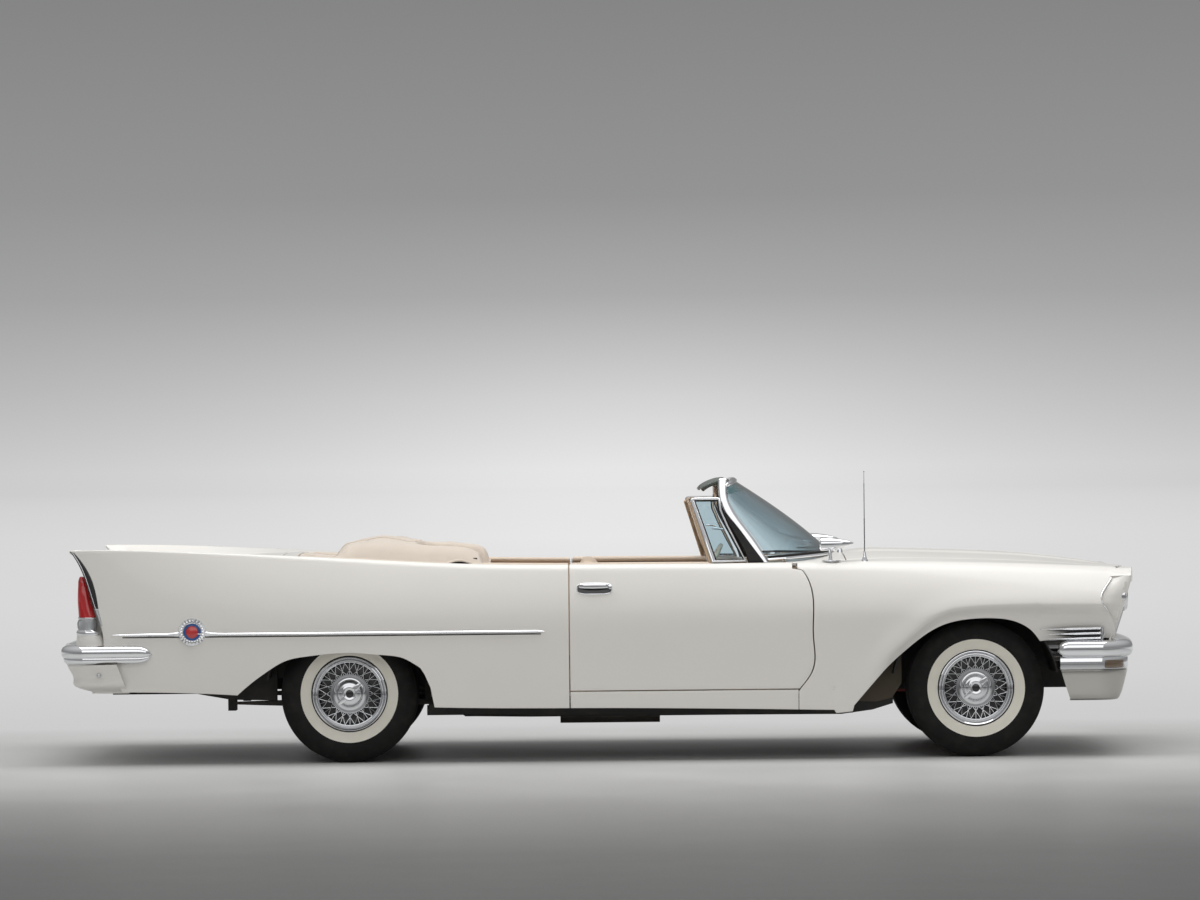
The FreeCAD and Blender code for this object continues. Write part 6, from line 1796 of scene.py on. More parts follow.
@dataclass
class Screen:
    """The wrapped windshield in its bright frame, with visors, wipers and the inside mirror."""

    base_front: float = 1.226
    top_front: float = 0.700
    base_half: float = 0.752
    top_half: float = 0.655
    base_z: float = 1.040
    side_base_z: float = 1.016
    top_z: float = 1.432
    side_top_z: float = 1.402
    bow: float = 0.026
    power: float = 2.6
    post_foot_z: float = 1.002
    post_top_z: float = 1.424
    seal_foot_z: float = 1.006
    seal_top_z: float = 1.345
    post_front: Track = Track(((1.000, 0.872), (1.119, 0.799), (1.194, 0.744), (1.253, 0.704), (1.296, 0.680),
                               (1.349, 0.663), (1.404, 0.664), (1.440, 0.668)), 1.0, 1.0)
    post_rear: Track = Track(((1.000, 0.845), (1.119, 0.757), (1.194, 0.702), (1.244, 0.662), (1.290, 0.636),
                              (1.359, 0.622), (1.404, 0.620), (1.440, 0.622)), 1.0, 1.0)

    def point(self, u: float, v: float, out: float) -> Vector:
        """A point of the pane: u across, v up, out from its face."""
        edge_z = mix(self.side_base_z, self.side_top_z, v)
        side = self.post_front(edge_z) - 0.006
        front = mix(self.base_front, self.top_front, v) + self.bow * math.sin(math.pi * v)
        half = mix(self.base_half, self.top_half, v)
        turn = math.pi / 2 * u
        forward = abs(math.cos(turn)) ** (2 / self.power)
        across = math.copysign(abs(math.sin(turn)) ** (2 / self.power), u)
        mid_z = mix(self.base_z, self.top_z, v)
        slope = (self.base_front - self.top_front) / (self.top_z - self.base_z)
        return Vector((side + (front - side + out) * forward, (half + out) * across,
                       mix(edge_z, mid_z, forward) + out * slope * forward / 2))

    def pane(self, name: str, low: float, high: float, finish: GlassFinish) -> bpy.types.Object:
        """A band of the curved pane between two heights."""
        def place(u: float, v: float) -> Vector:
            return self.point((u * 2 - 1) * 0.985, mix(low, high, v), 0.003)
        made = Workshop.grid(name, 96, 16, place, Vector((1, 0, 0.5)))
        return Rack.dress(Workshop.thicken(made, 0.005, 0.0), finish)

    def rail(self, name: str, v: float, section: Sequence[Point], reach: float,
             finish: Finish) -> bpy.types.Object:
        """A bar along the pane at one height, with a closed section in metres up and out."""
        count = len(section)

        def place(u: float, w: float) -> Vector:
            up, out = section[round(w * count) % count]
            return self.point((u * 2 - 1) * reach, v + up / 0.656, out)

        made = Workshop.grid(name, 96, count, place, UP)
        return Rack.dress(Workshop.smooth(Workshop.tidy(made), 35), finish)

    def post(self) -> bpy.types.Object:
        """The wide bright post at the pane's end, with the black seal behind it."""
        def half(z: float) -> float:
            v = (z - self.side_base_z) / (self.side_top_z - self.side_base_z)
            return self.base_half + (self.top_half - self.base_half) * v

        def place(u: float, v: float) -> Vector:
            z = mix(self.post_foot_z, self.post_top_z, v)
            front, rear = self.post_front(z) + 0.003, self.post_rear(z)
            a = u * math.tau
            x = (front + rear) / 2 + (front - rear) / 2 * blunt(math.cos(a), 0.6)
            y = half(z) + 0.001 + 0.012 * blunt(math.sin(a), 0.75)
            return Vector((x, y, z))

        bar = Workshop.ring("screen_post", 36, 40, place, 60)
        Rack.dress(bar, CHROME)

        def cap(u: float, v: float) -> Vector:
            middle = Vector((0.643, half(self.post_top_z), self.post_top_z))
            rise = Vector((0, 0, 0.012 * math.sin(v * math.pi / 2)))
            return middle + (place(u, 1.0) - middle) * math.cos(v * math.pi / 2) + rise

        top = Rack.dress(Workshop.ring("screen_post_top", 36, 8, cap, 60), CHROME)
        edge = Track(((1.000, 0.772), (1.018, 0.768), (1.119, 0.722), (1.194, 0.678), (1.290, 0.634),
                      (1.350, 0.622)), 1.0, 1.0)

        def seal(u: float, v: float) -> Vector:
            z = mix(self.seal_foot_z, self.seal_top_z, v)
            front, rear = self.post_rear(z) + 0.006, min(edge(z), self.post_rear(z) - 0.002)
            near = 0.070 * (1 - v) ** 1.5
            return Vector((mix(rear, front, u), half(z) + 0.004 + near * (1 - u * 0.6), z))

        strip = Workshop.thicken(Workshop.grid("post_seal", 8, 30, seal, LEFTWARD), 0.010, 0.002)
        Rack.dress(strip, RUBBER)
        return Workshop.join("screen_post_left", [bar, top, strip])

    def visor(self) -> bpy.types.Object:
        """One sun visor, folded up behind the header and bowed over it."""
        def place(u: float, v: float) -> Vector:
            t = math.sin(u * math.pi / 2)
            spread = 0.262 * (1 - 0.10 * abs(2 * u - 1) ** 6)
            y = 0.318 + spread * (2 * v - 1)
            drop = 0.014 * (y / 0.655) ** 2
            return Vector((0.532 + 0.130 * u, y, 1.388 + 0.052 * t ** 0.7 - drop))

        pad = Workshop.grid("visor_pad", 14, 40, place, UP)
        Workshop.modify(pad, "SOLIDIFY", thickness=0.020, offset=-1.0)
        Workshop.modify(pad, "BEVEL", width=0.007, segments=3, limit_method="ANGLE", angle_limit=math.radians(50))
        return Rack.dress(Workshop.smooth(pad, 60), VISOR)

    def header(self) -> bpy.types.Object:
        """The inner rail of the header that the visors hang on."""
        def place(u: float, v: float) -> Vector:
            face = self.point((u * 2 - 1) * 0.93, 0.985, -0.004)
            back = 0.075 * math.sin(math.pi * between(u, 0.02, 0.98)) ** 0.3
            a = v * math.tau
            return face + Vector((-back / 2 - 0.004 + (back / 2 + 0.006) * math.cos(a), 0,
                                  -0.004 - back * 0.16 + 0.010 * math.sin(a)))
        made = Workshop.ring("header_rail", 60, 20, place, 50)
        return Rack.dress(made, VISOR)

    def inside_mirror(self) -> bpy.types.Object:
        """The rear-view mirror under the header on its short arm."""
        arm = Workshop.rod("mirror_arm", [Vector((0.676, 0, 1.412)), Vector((0.690, 0, 1.380)),
                                          Vector((0.672, 0, 1.342))], 0.006, 12)
        ring = []
        for i in range(36):
            a = math.tau * i / 36
            ring.append(Vector((0.664, 0.118 * blunt(math.cos(a), 0.4), 1.330 + 0.030 * blunt(math.sin(a), 0.6))))
        shell = Workshop.slab("mirror_shell", ring, Vector((0.022, 0, 0.004)), 0.006, 3)
        glass = Workshop.slab("mirror_pane", [p + Vector((-0.0015, 0, 0)) + (Vector((0.664, 0, 1.330)) - p) * 0.06
                                              for p in ring], Vector((0.003, 0, 0)), 0.0005, 1)
        return Workshop.join("inside_mirror", [Rack.dress(arm, CHROME), Rack.dress(shell, CHROME),
                                               Rack.dress(glass, MIRROR)])

    def wiper(self, y: float) -> bpy.types.Object:
        """A parked wiper: pivot, arm and blade laid along the pane's foot."""
        foot = Vector((1.262, y, Lines.hood_z(1.262) - 0.012))
        spread = [self.point(u, 0.075, 0.014) for u in (0.10, 0.22, 0.34, 0.46, 0.58)] if y > 0 else \
            [self.point(u, 0.075, 0.014) for u in (-0.34, -0.22, -0.10, 0.02)]
        pivot = Workshop.turned("wiper_pivot", [(AXIS, 0.030), (0.009, 0.028), (0.012, 0.020), (0.015, 0.004),
                                                (0.017, -0.006), (AXIS, -0.006)], foot, 24, UP)
        middle = spread[len(spread) // 2]
        arm = Workshop.rod("wiper_arm", [foot + Vector((0, 0, 0.020)), (foot + middle) / 2 + Vector((0.012, 0, 0.024)),
                                         middle + Vector((0.006, 0, 0.006))], 0.0038, 8)
        blade = Workshop.rod("wiper_blade", spread, 0.0034, 8)
        rubber = Workshop.rod("wiper_rubber", [p - Vector((0.006, 0, 0.004)) for p in spread], 0.0026, 6)
        return Workshop.join("wiper", [Rack.dress(pivot, CHROME), Rack.dress(arm, SATIN), Rack.dress(blade, SATIN),
                                       Rack.dress(rubber, RUBBER)])

    def build(self) -> None:
        """Builds and books the windshield's pieces."""
        glass = Workshop.join("windshield_pane", [self.pane("pane_clear", 0.012, 0.86, TINTED),
                                                  self.pane("pane_shade", 0.86, 0.985, SHADED)])
        Rack.book(glass, "body", "tinted_glass", ["windshield_glass"])
        square = [(-0.020, -0.010), (-0.018, 0.008), (-0.010, 0.013), (0.004, 0.014), (0.012, 0.010), (0.016, 0.000),
                  (0.014, -0.010), (0.000, -0.014)]
        bars = [self.rail("header_bar", 0.985, square, 0.992, CHROME),
                self.rail("foot_moulding", 0.000, [(a * 0.7, b * 0.8) for a, b in square], 0.992, CHROME),
                self.rail("foot_seal", 0.028, [(a * 0.6, b * 0.5) for a, b in square], 0.985, RUBBER),
                self.header()]
        for pair in (self.visor(), self.post()):
            bars += [Workshop.mirror(pair, pair.name + "_right"), pair]
        frame_piece = Workshop.join("windshield_surround", bars)
        Rack.book(frame_piece, "body", "bright_trim", ["windshield_frame"])
        Rack.book(self.inside_mirror(), "body", "bright_trim")
        Rack.book(Workshop.join("wipers", [self.wiper(0.36), self.wiper(-0.30)]), "body", "bright_trim")


@dataclass
class Vent:
    """The hinged quarter window ahead of the door glass, in its bright frame."""

    belt: float = 1.006
    lean: float = math.radians(26)
    height: float = 0.366
    corners: tuple[Point, ...] = ((0.577, 0.0), (0.474, 0.965), (0.482, 0.992), (0.500, 1.0), (0.618, 1.0),
                                  (0.628, 0.985), (0.634, 0.80), (0.668, 0.56), (0.714, 0.28), (0.757, 0.0))

    def lay(self, x: float, share: float, out: float) -> Vector:
        """A place in the leaned window's plane."""
        rise = share * self.height
        foot = 0.897 - 0.030 * between((x - 0.577) / 0.18, 0, 1)
        return Vector((x, foot - math.sin(self.lean) * rise + math.cos(self.lean) * out,
                       self.belt + math.cos(self.lean) * rise + math.sin(self.lean) * out))

    def shrunk(self, rear: float, front: float, top: float, foot: float) -> list[Point]:
        """The outline drawn in from its four sides, in metres."""
        made = []
        for x, share in self.corners:
            mid = 0.577 - 0.103 * share + 0.07
            x2 = x + rear if x < mid else x - front
            made.append((x2, between(share, foot / self.height, 1 - top / self.height)))
        return made

    def build(self) -> None:
        """Builds and books both windows."""
        outer, inner = self.shrunk(0, 0, 0, 0), self.shrunk(0.022, 0.012, 0.014, 0.010)
        rows = [(outer, -0.009), (outer, 0.004), ([((a[0] * 0.8 + b[0] * 0.2), (a[1] * 0.8 + b[1] * 0.2))
                for a, b in zip(outer, inner)], 0.009), ([((a[0] * 0.25 + b[0] * 0.75), (a[1] * 0.25 + b[1] * 0.75))
                for a, b in zip(outer, inner)], 0.009), (inner, 0.004), (inner, -0.009), (outer, -0.009)]
        count = len(outer)

        def place(u: float, v: float) -> Vector:
            ring, out = rows[round(v * (len(rows) - 1))]
            x, share = ring[round(u * count) % count]
            return self.lay(x, share, out)

        surround = Workshop.grid("vent_surround_left", count, len(rows) - 1, place, LEFTWARD)
        Workshop.tidy(surround)
        Workshop.modify(surround, "BEVEL", width=0.002, segments=2, limit_method="ANGLE")
        Rack.dress(Workshop.smooth(surround, 40), CHROME)
        hole = self.shrunk(0.021, 0.011, 0.013, 0.009)
        glass = Workshop.slab("vent_pane_left", [self.lay(x, s, 0.0005) for x, s in hole],
                              self.lay(0.6, 0.5, 0.004) - self.lay(0.6, 0.5, 0.0), 0.0008, 1)
        Rack.dress(glass, TINTED)
        bar = [self.lay(0.571 - 0.103 * s, s, -0.010) for s in (0.0, 0.33, 0.66, 0.94)]
        channel = Rack.dress(Workshop.rod("vent_channel", bar, 0.009, 10), DASH)
        seal = Rack.dress(Workshop.rod("vent_seal", [self.lay(x, s, -0.002) for x, s in
                                                     self.shrunk(0.025, 0.015, 0.017, 0.013)], 0.004, 8, cyclic=True),
                          RUBBER)
        latch = Workshop.rod("vent_latch", [self.lay(0.585, 0.55, -0.020), self.lay(0.610, 0.55, -0.022),
                                            self.lay(0.640, 0.53, -0.018)], 0.005, 10)
        Rack.dress(latch, CHROME)
        left = Workshop.join("vent_frame_left_bars", [surround, channel, seal, latch])
        Rack.pair(left, "door_left", "bright_trim", ["vent_frame_left"])
        Rack.pair(glass, "door_left", "tinted_glass", ["vent_glass_left"])


# Cabin

@dataclass
class Doors:
    """The inside of both doors and of the rear quarters, with the painted jambs between."""

    card_y: float = 0.884
    rear_x: float = -0.148
    bottom_z: float = 0.362
    carpet_z: float = 0.480
    belt_drop: float = 0.014
    side: BodySide = field(default_factory=BodySide)

    def ring(self, inset: float) -> list[Point]:
        """The door's outline in side view, drawn in a little."""
        top = lambda x: Lines.crest_z(x) - self.belt_drop
        made = [(self.rear_x + inset, self.bottom_z + inset + i * 0.030) for i in range(21)]
        made += [(self.rear_x + inset + i * 0.034, top(i * 0.034 + self.rear_x)) for i in range(34)]
        high = Lines.crest_z(0.98) - self.belt_drop
        for i in range(22):
            z = high - i / 21 * (high - self.bottom_z - inset)
            made.append((self.side.door_edge(z) - inset, z))
        last = made[-1][0]
        made += [(last - i / 24 * (last - self.rear_x - inset), self.bottom_z + inset) for i in range(1, 24)]
        return made

    def walls(self) -> bpy.types.Object:
        """The painted edges between the skin and the card."""
        ring = self.ring(0.003)
        count = len(ring)

        def place(u: float, v: float) -> Vector:
            x, z = ring[round(u * count) % count]
            outer = side_y(x, z, Lines.sill_z(x)) - 0.022
            if v > 0.99:
                return Vector((x, self.card_y + 0.001, z))
            return Vector((x, mix(outer, self.card_y, v), z))

        made = Workshop.grid("door_edges", count, 3, place, UP)
        Workshop.tidy(made)
        return Rack.dress(Workshop.thicken(made, 0.003, 0.0), PAINT)

    def two_tone(self, made: bpy.types.Object) -> bpy.types.Object:
        """Leather above and carpet along the foot."""
        Rack.dress(made, LEATHER)
        made.data.materials.append(CARPET.material())
        for face in made.data.polygons:
            if face.center.z < self.carpet_z:
                face.material_index = 1
        return made

    def card(self) -> bpy.types.Object:
        """The padded card with its pleated middle and carpeted foot."""
        low, high = self.bottom_z + 0.004, Lines.crest_z(0.3) - 0.030

        def place(u: float, v: float) -> Vector:
            z = mix(low, high, v)
            rear = self.rear_x + 0.006
            x = rear + u * (self.side.door_edge(z) - 0.008 - rear)
            pad = 0.010 * ease(min(u, 1 - u) / 0.02) * ease(min(v, 1 - v) / 0.04)
            if 0.560 < z < 0.800:
                fold = abs(((x + 5) / 0.062) % 1 - 0.5) * 2
                pad += 0.006 * (1 - fold ** 4) * ease((z - 0.560) / 0.01) * ease((0.800 - z) / 0.01)
            return Vector((x, self.card_y - pad, z))

        made = Workshop.grid("door_card", 240, 60, place, Vector((0, -1, 0)))
        return self.two_tone(Workshop.smooth(Workshop.thicken(made, 0.004, 0.0), 50))

    def fittings(self) -> bpy.types.Object:
        """Armrest, belt rail, strips, window crank and pull."""
        rail = []
        for i in range(30):
            x = self.rear_x + 0.010 + i / 29 * 0.72
            rail.append(Vector((x, self.card_y - 0.002, Lines.crest_z(x) - 0.012)))
        parts = [Rack.dress(Workshop.rod("belt_rail", rail, 0.015, 14), PALE_LEATHER)]
        # Painted shade: the window's slot is a gloss black block.
        slot = Workshop.block("window_slot_painted_shade", Vector((self.rear_x + 0.020, 0.893, 0.960)),
                              Vector((0.560, 0.904, 0.9935)), 0.001, 1)
        parts.append(Rack.dress(slot, GLOSS_BLACK))
        arm = Workshop.block("armrest", Vector((0.020, 0.812, 0.640)), Vector((0.440, 0.878, 0.700)), 0.022, 5)
        parts.append(Rack.dress(Workshop.smooth(arm, 60), PALE_LEATHER))
        for z in (0.490, 0.552, 0.808):
            line = [Vector((self.rear_x + 0.020 + i / 20 * 1.12, self.card_y - 0.012, z)) for i in range(21)]
            parts.append(Rack.dress(Workshop.rod("card_strip", line, 0.0035, 8), CHROME))
        for x, z, way in ((0.560, 0.700, Vector((0.075, 0, 0.050))), (0.740, 0.830, Vector((-0.090, 0, -0.012)))):
            centre = Vector((x, self.card_y - 0.010, z))
            boss = Workshop.turned("crank_boss", [(AXIS, 0.022), (0.014, 0.020), (0.022, 0.008), (0.026, -0.004),
                                                  (AXIS, -0.004)], centre, 32, Vector((0, -1, 0)))
            arm_line = [centre + Vector((0, -0.018, 0)), centre + way * 0.5 + Vector((0, -0.024, 0)),
                        centre + way + Vector((0, -0.022, 0))]
            lever = Workshop.rod("crank_arm", arm_line, 0.0055, 10)
            parts += [Rack.dress(boss, CHROME), Rack.dress(lever, CHROME)]
            if way.x > 0:
                knob = Workshop.turned("crank_knob", [(AXIS, 0.030), (0.009, 0.028), (0.011, 0.016), (0.008, 0.004),
                                                      (AXIS, 0.002)], centre + way + Vector((0, -0.018, 0)), 24,
                                       Vector((0, -1, 0)))
                parts.append(Rack.dress(knob, IVORY_RESIN))
        return Workshop.join("door_fittings", parts)

    def jambs(self) -> bpy.types.Object:
        """The painted posts before and behind the door, and the sill plate."""
        def post(x_at: Callable[[float], float], inner: float, low: float, high: float,
                 name: str) -> bpy.types.Object:
            def place(u: float, v: float) -> Vector:
                z = mix(low, high, v)
                x = x_at(z)
                outer = side_y(x, z, Lines.sill_z(x)) - 0.016
                return Vector((x, mix(inner, outer, u), z))
            return Workshop.thicken(Workshop.grid(name, 6, 40, place, Vector((1, 0, 0))), 0.003, 0.0)

        rear = post(lambda z: self.rear_x - GAP - 0.004, 0.815, 0.352, Lines.crest_z(-0.16) - 0.012, "rear_jamb")
        front = post(lambda z: self.side.door_edge(z) + GAP + 0.004, 0.800, 0.352, Lines.crest_z(1.0) - 0.014,
                     "front_jamb")
        sill = Workshop.block("sill_step", Vector((self.rear_x - 0.004, 0.880, 0.335)),
                              Vector((1.060, 0.955, 0.352)), 0.003, 2)
        plate = Workshop.block("sill_plate", Vector((-0.060, 0.896, 0.3515)), Vector((0.900, 0.946, 0.3545)), 0.001, 1)
        wall = Workshop.block("sill_wall", Vector((self.rear_x - 0.004, 0.880, 0.300)),
                              Vector((1.060, 0.884, 0.340)), 0.001, 1)
        return Workshop.join("door_jambs_left", [Rack.dress(p, f) for p, f in (
            (rear, PAINT), (front, PAINT), (sill, PAINT), (plate, SATIN), (wall, CARPET))])

    def quarter_trim(self) -> bpy.types.Object:
        """The rear passengers' side trim, its top following the body's shelf."""
        def place(u: float, v: float) -> Vector:
            x = -0.154 - u * 0.71
            high = Lines.shelf_z(x) - 0.004
            z = mix(0.330, high, v)
            pad = 0.012 * ease(min(u, 1 - u) / 0.03) * ease(min(v, 1 - v) / 0.04)
            y = Lines.shelf_y(x) - 0.004 - pad - 0.050 * (1 - v) ** 2 * u
            return Vector((x, y, z))

        trim = Workshop.grid("quarter_card", 60, 50, place, Vector((0, -1, 0)))
        self.two_tone(Workshop.smooth(Workshop.thicken(trim, 0.004, 0.0), 50))
        arm = Workshop.block("rear_armrest", Vector((-0.640, 0.655, 0.640)), Vector((-0.200, 0.780, 0.705)), 0.024, 5)
        Rack.dress(Workshop.smooth(arm, 60), PALE_LEATHER)
        rail = [Vector((-0.156 - i / 19 * 0.44, Lines.shelf_y(-0.156 - i / 19 * 0.44) - 0.006,
                        Lines.shelf_z(-0.156 - i / 19 * 0.44) + 0.006)) for i in range(20)]
        edge = Rack.dress(Workshop.rod("quarter_rail", rail, 0.013, 14), PALE_LEATHER)

        def ledge(u: float, v: float) -> Vector:
            x = -0.156 - u * 0.44
            t = v * 0.62
            y = Lines.shelf_y(x) + (Lines.crest_y(x) - Lines.shelf_y(x)) * t
            z = Lines.shelf_z(x) + (Lines.crest_z(x) - Lines.shelf_z(x)) * t
            return Vector((x, y, z + 0.0035))

        top = Workshop.grid("quarter_ledge", 30, 6, ledge, UP)
        Rack.dress(Workshop.thicken(top, 0.003, 0.001), PALE_LEATHER)
        return Workshop.join("quarter_trim_left", [trim, arm, edge, top])

    def build(self) -> None:
        """Builds and books the door and quarter trims."""
        inner = Workshop.join("door_inner_left", [self.walls(), self.card(), self.fittings()])
        for piece, body in ((inner, "door_left"), (self.jambs(), "body"), (self.quarter_trim(), "body")):
            Rack.pair(piece, body, "tan_trim")


@dataclass
class Dash:
    """The instrument panel, its dials and trim, the steering wheel and the carpets."""

    wheel: Vector = field(default_factory=lambda: Vector((0.560, 0.395, 0.890)))
    axis: Vector = field(default_factory=lambda: Vector((-0.88273, 0.0, 0.46987)))
    section: tuple[Point, ...] = (
        (0.955, 1.018), (0.900, 1.022), (0.840, 1.022), (0.800, 1.018), (0.778, 1.008), (0.770, 0.992),
        (0.772, 0.976), (0.784, 0.966), (0.792, 0.956), (0.794, 0.930), (0.796, 0.880), (0.800, 0.862),
        (0.812, 0.846), (0.820, 0.820), (0.826, 0.795), (0.836, 0.780), (0.852, 0.776), (0.930, 0.780))

    def panel(self) -> bpy.types.Object:
        """The panel with its rolled upper edge, following the cowl's crown."""
        lift = Lines.hood_z(0.962) - 0.018 - 1.018

        def place(u: float, v: float) -> Vector:
            t = 2 * u - 1
            x, z = self.section[round(v * (len(self.section) - 1))]
            drop = (Lines.hood_z(0.962) - Lines.shelf_z(0.962)) * t * t * ease((z - 0.80) / 0.2)
            return Vector((x + 0.020 * t ** 4, 0.800 * t, z + (lift - drop) * ease((z - 0.80) / 0.2)))

        made = Workshop.grid("dash_panel", 60, len(self.section) - 1, place, Vector((-1, 0, 0.3)))
        Workshop.thicken(made, 0.006, 0.002)
        return Rack.dress(Workshop.smooth(made, 50), DASH)

    def dial(self, y: float, z: float, radius: float) -> list[bpy.types.Object]:
        """A round instrument with bezel, face, ticks and needle."""
        centre, back = Vector((0.793, y, z)), Vector((-1, 0, 0))
        bezel = Workshop.turned("dial_bezel", [
            (radius * 0.86, 0.004), (radius * 0.90, 0.014), (radius * 0.97, 0.016), (radius * 1.04, 0.010),
            (radius * 1.06, -0.006), (radius * 0.86, -0.006)], centre, 48, back)
        face = Workshop.turned("dial_face", [(AXIS, 0.006), (radius * 0.87, 0.004), (radius * 0.87, -0.004),
                                             (AXIS, -0.004)], centre, 48, back)
        parts = [Rack.dress(bezel, CHROME), Rack.dress(face, GLOSS_BLACK)]
        marks = []
        for i in range(13):
            a = math.radians(-120 + 20 * i)
            way = Vector((0, math.sin(a), math.cos(a)))
            marks.append(Workshop.rod("dial_mark", [centre + way * radius * 0.66 + Vector((-0.0065, 0, 0)),
                                                    centre + way * radius * 0.78 + Vector((-0.0062, 0, 0))],
                                      radius * 0.02, 6))
        marks.append(Workshop.rod("dial_needle", [centre + Vector((-0.010, 0, 0)),
                                                  centre + Vector((-0.009, radius * 0.45, -radius * 0.40))],
                                  radius * 0.022, 6, radii=[1.4, 0.4]))
        parts.append(Rack.dress(Workshop.join("dial_marks", marks), IVORY_RESIN))
        return parts

    def instruments(self) -> list[bpy.types.Object]:
        """Dials, knobs, radio face, glovebox lid and the strip across the panel."""
        parts: list[bpy.types.Object] = []
        for y, z, radius in ((0.480, 0.915, 0.058), (0.310, 0.915, 0.058), (0.395, 0.938, 0.024),
                             (0.395, 0.888, 0.020), (-0.080, 0.915, 0.036)):
            parts += self.dial(y, z, radius)
        line = [Vector((0.797 + 0.020 * (y / 0.8) ** 4, y, 0.856)) for y in [-0.77 + i * 0.07 for i in range(23)]]
        parts.append(Rack.dress(Workshop.rod("dash_strip", line, 0.006, 10), CHROME))
        for y in (0.200, 0.150, 0.020, -0.180, 0.590, 0.640):
            knob = Workshop.turned("dash_knob", [(AXIS, 0.026), (0.009, 0.025), (0.012, 0.018), (0.008, 0.010),
                                                 (0.008, -0.004), (AXIS, -0.004)], Vector((0.812, y, 0.836)), 24,
                                   Vector((-1, 0, 0)))
            parts.append(Rack.dress(knob, IVORY_RESIN))
        lid = Workshop.block("glovebox_lid", Vector((0.789, -0.640, 0.872)), Vector((0.796, -0.240, 0.952)), 0.006, 3)
        parts.append(Rack.dress(lid, DASH))
        radio = Workshop.block("radio_face", Vector((0.788, 0.000, 0.880)), Vector((0.798, 0.200, 0.950)), 0.006, 3)
        parts.append(Rack.dress(radio, SATIN))
        for i in range(9):
            bar = [Vector((0.786, 0.018 + i * 0.0205, 0.888)), Vector((0.786, 0.018 + i * 0.0205, 0.942))]
            parts.append(Rack.dress(Workshop.rod("radio_bar", bar, 0.0035, 8), CHROME))
        return parts

    def steering(self) -> bpy.types.Object:
        """The thin-rimmed wheel: rim, two drooping spokes, horn ring and domed boss."""
        across, up = LEFTWARD, self.axis.cross(LEFTWARD).normalized()
        circle = [(0.206 + 0.0105 * math.cos(math.tau * i / 20), 0.0115 * math.sin(math.tau * i / 20))
                  for i in range(21)]
        rim = Rack.dress(Workshop.turned("steering_rim", circle, self.wheel, 96, self.axis), IVORY_RESIN)
        boss = Workshop.turned("steering_boss", [
            (AXIS, 0.018), (0.020, 0.016), (0.034, 0.010), (0.040, 0.002), (0.040, -0.012), (0.032, -0.034),
            (0.026, -0.048), (AXIS, -0.048)], self.wheel, 48, self.axis)
        parts = [rim, Rack.dress(boss, IVORY_RESIN)]
        for sign in (-1, 1):
            way = (across * sign * math.cos(math.radians(14)) - up * math.sin(math.radians(14))).normalized()
            line = [self.wheel + way * r + self.axis * d for r, d in
                    ((0.030, -0.010), (0.090, -0.016), (0.150, -0.012), (0.200, -0.001))]
            parts.append(Rack.dress(Workshop.rod("steering_spoke", line, 0.0085, 12, radii=[1.8, 1.1, 0.9, 1.2]),
                                    IVORY_RESIN))
        arc = []
        for i in range(33):
            a = math.radians(-104 + 208 * i / 32) - math.pi / 2
            arc.append(self.wheel + (across * math.cos(a) + up * math.sin(a)) * 0.128 - self.axis * 0.004)
        parts.append(Rack.dress(Workshop.rod("horn_ring", arc, 0.0040, 8), CHROME))
        cap = Workshop.turned("horn_cap", [(AXIS, 0.024), (0.012, 0.023), (0.022, 0.018), (0.026, 0.014),
                                           (AXIS, 0.012)], self.wheel, 40, self.axis)
        parts.append(Rack.dress(cap, CHROME))
        return Workshop.join("steering_wheel_rim", parts)

    def carpet(self) -> bpy.types.Object:
        """The carpet over floor, tunnel and toe board."""
        line = [(-0.822, 0.3225), (0.200, 0.3225), (0.700, 0.3225), (1.128, 0.3225), (1.192, 0.374), (1.256, 0.434)]
        spots = []
        for (x0, z0), (x1, z1) in zip(line, line[1:]):
            steps = max(2, int(math.hypot(x1 - x0, z1 - z0) / 0.03))
            spots += [(x0 + (x1 - x0) * i / steps, z0 + (z1 - z0) * i / steps) for i in range(steps)]
        spots.append(line[-1])

        def place(u: float, v: float) -> Vector:
            x, z = spots[round(u * (len(spots) - 1))]
            half = 0.876 if x < 1.02 else 0.790
            y = (2 * v - 1) * half
            hump = 0.3095 + math.sqrt(max(0.0, 0.1245 ** 2 - y * y)) if abs(y) < 0.1245 else 0.0
            return Vector((x, y, max(z, hump)))

        made = Workshop.grid("cabin_carpet", len(spots) - 1, 120, place, UP)
        return Rack.dress(Workshop.smooth(Workshop.thicken(made, 0.0035, 0.0), 50), CARPET)

    def fore(self) -> bpy.types.Object:
        """The lining of the firewall, the kick panels, the pedals and the column's lever."""
        wall = Workshop.block("firewall_lining", Vector((1.2530, -0.780, 0.434)), Vector((1.2575, 0.780, 0.955)),
                              0.001, 1)
        parts = [Rack.dress(wall, CARPET)]
        for sign in (-1, 1):
            low, high = sorted((sign * 0.792, sign * 0.798))
            kick = Workshop.block("kick_panel", Vector((0.900, low, 0.330)), Vector((1.254, high, 0.965)), 0.002, 1)
            parts.append(Rack.dress(kick, LEATHER))
        for y, x, size in ((0.180, 1.120, 0.030), (0.330, 1.060, 0.055)):
            pad = Workshop.block("pedal_pad", Vector((x, y - size, 0.430)), Vector((x + 0.014, y + size, 0.520)),
                                 0.005, 2)
            arm = Workshop.rod("pedal_arm", [Vector((x + 0.012, y, 0.500)), Vector((x + 0.090, y, 0.620)),
                                             Vector((x + 0.110, y, 0.760))], 0.007, 8)
            parts += [Rack.dress(pad, RUBBER), Rack.dress(arm, IRON)]
        stalk = [self.wheel - self.axis * 0.090 + Vector((0, 0.028, 0)),
                 self.wheel - self.axis * 0.085 + Vector((0, 0.100, 0.006)),
                 self.wheel - self.axis * 0.075 + Vector((0, 0.150, 0.014))]
        parts.append(Rack.dress(Workshop.rod("signal_lever", stalk, 0.0042, 8), CHROME))
        return Workshop.join("fore_lining", parts)

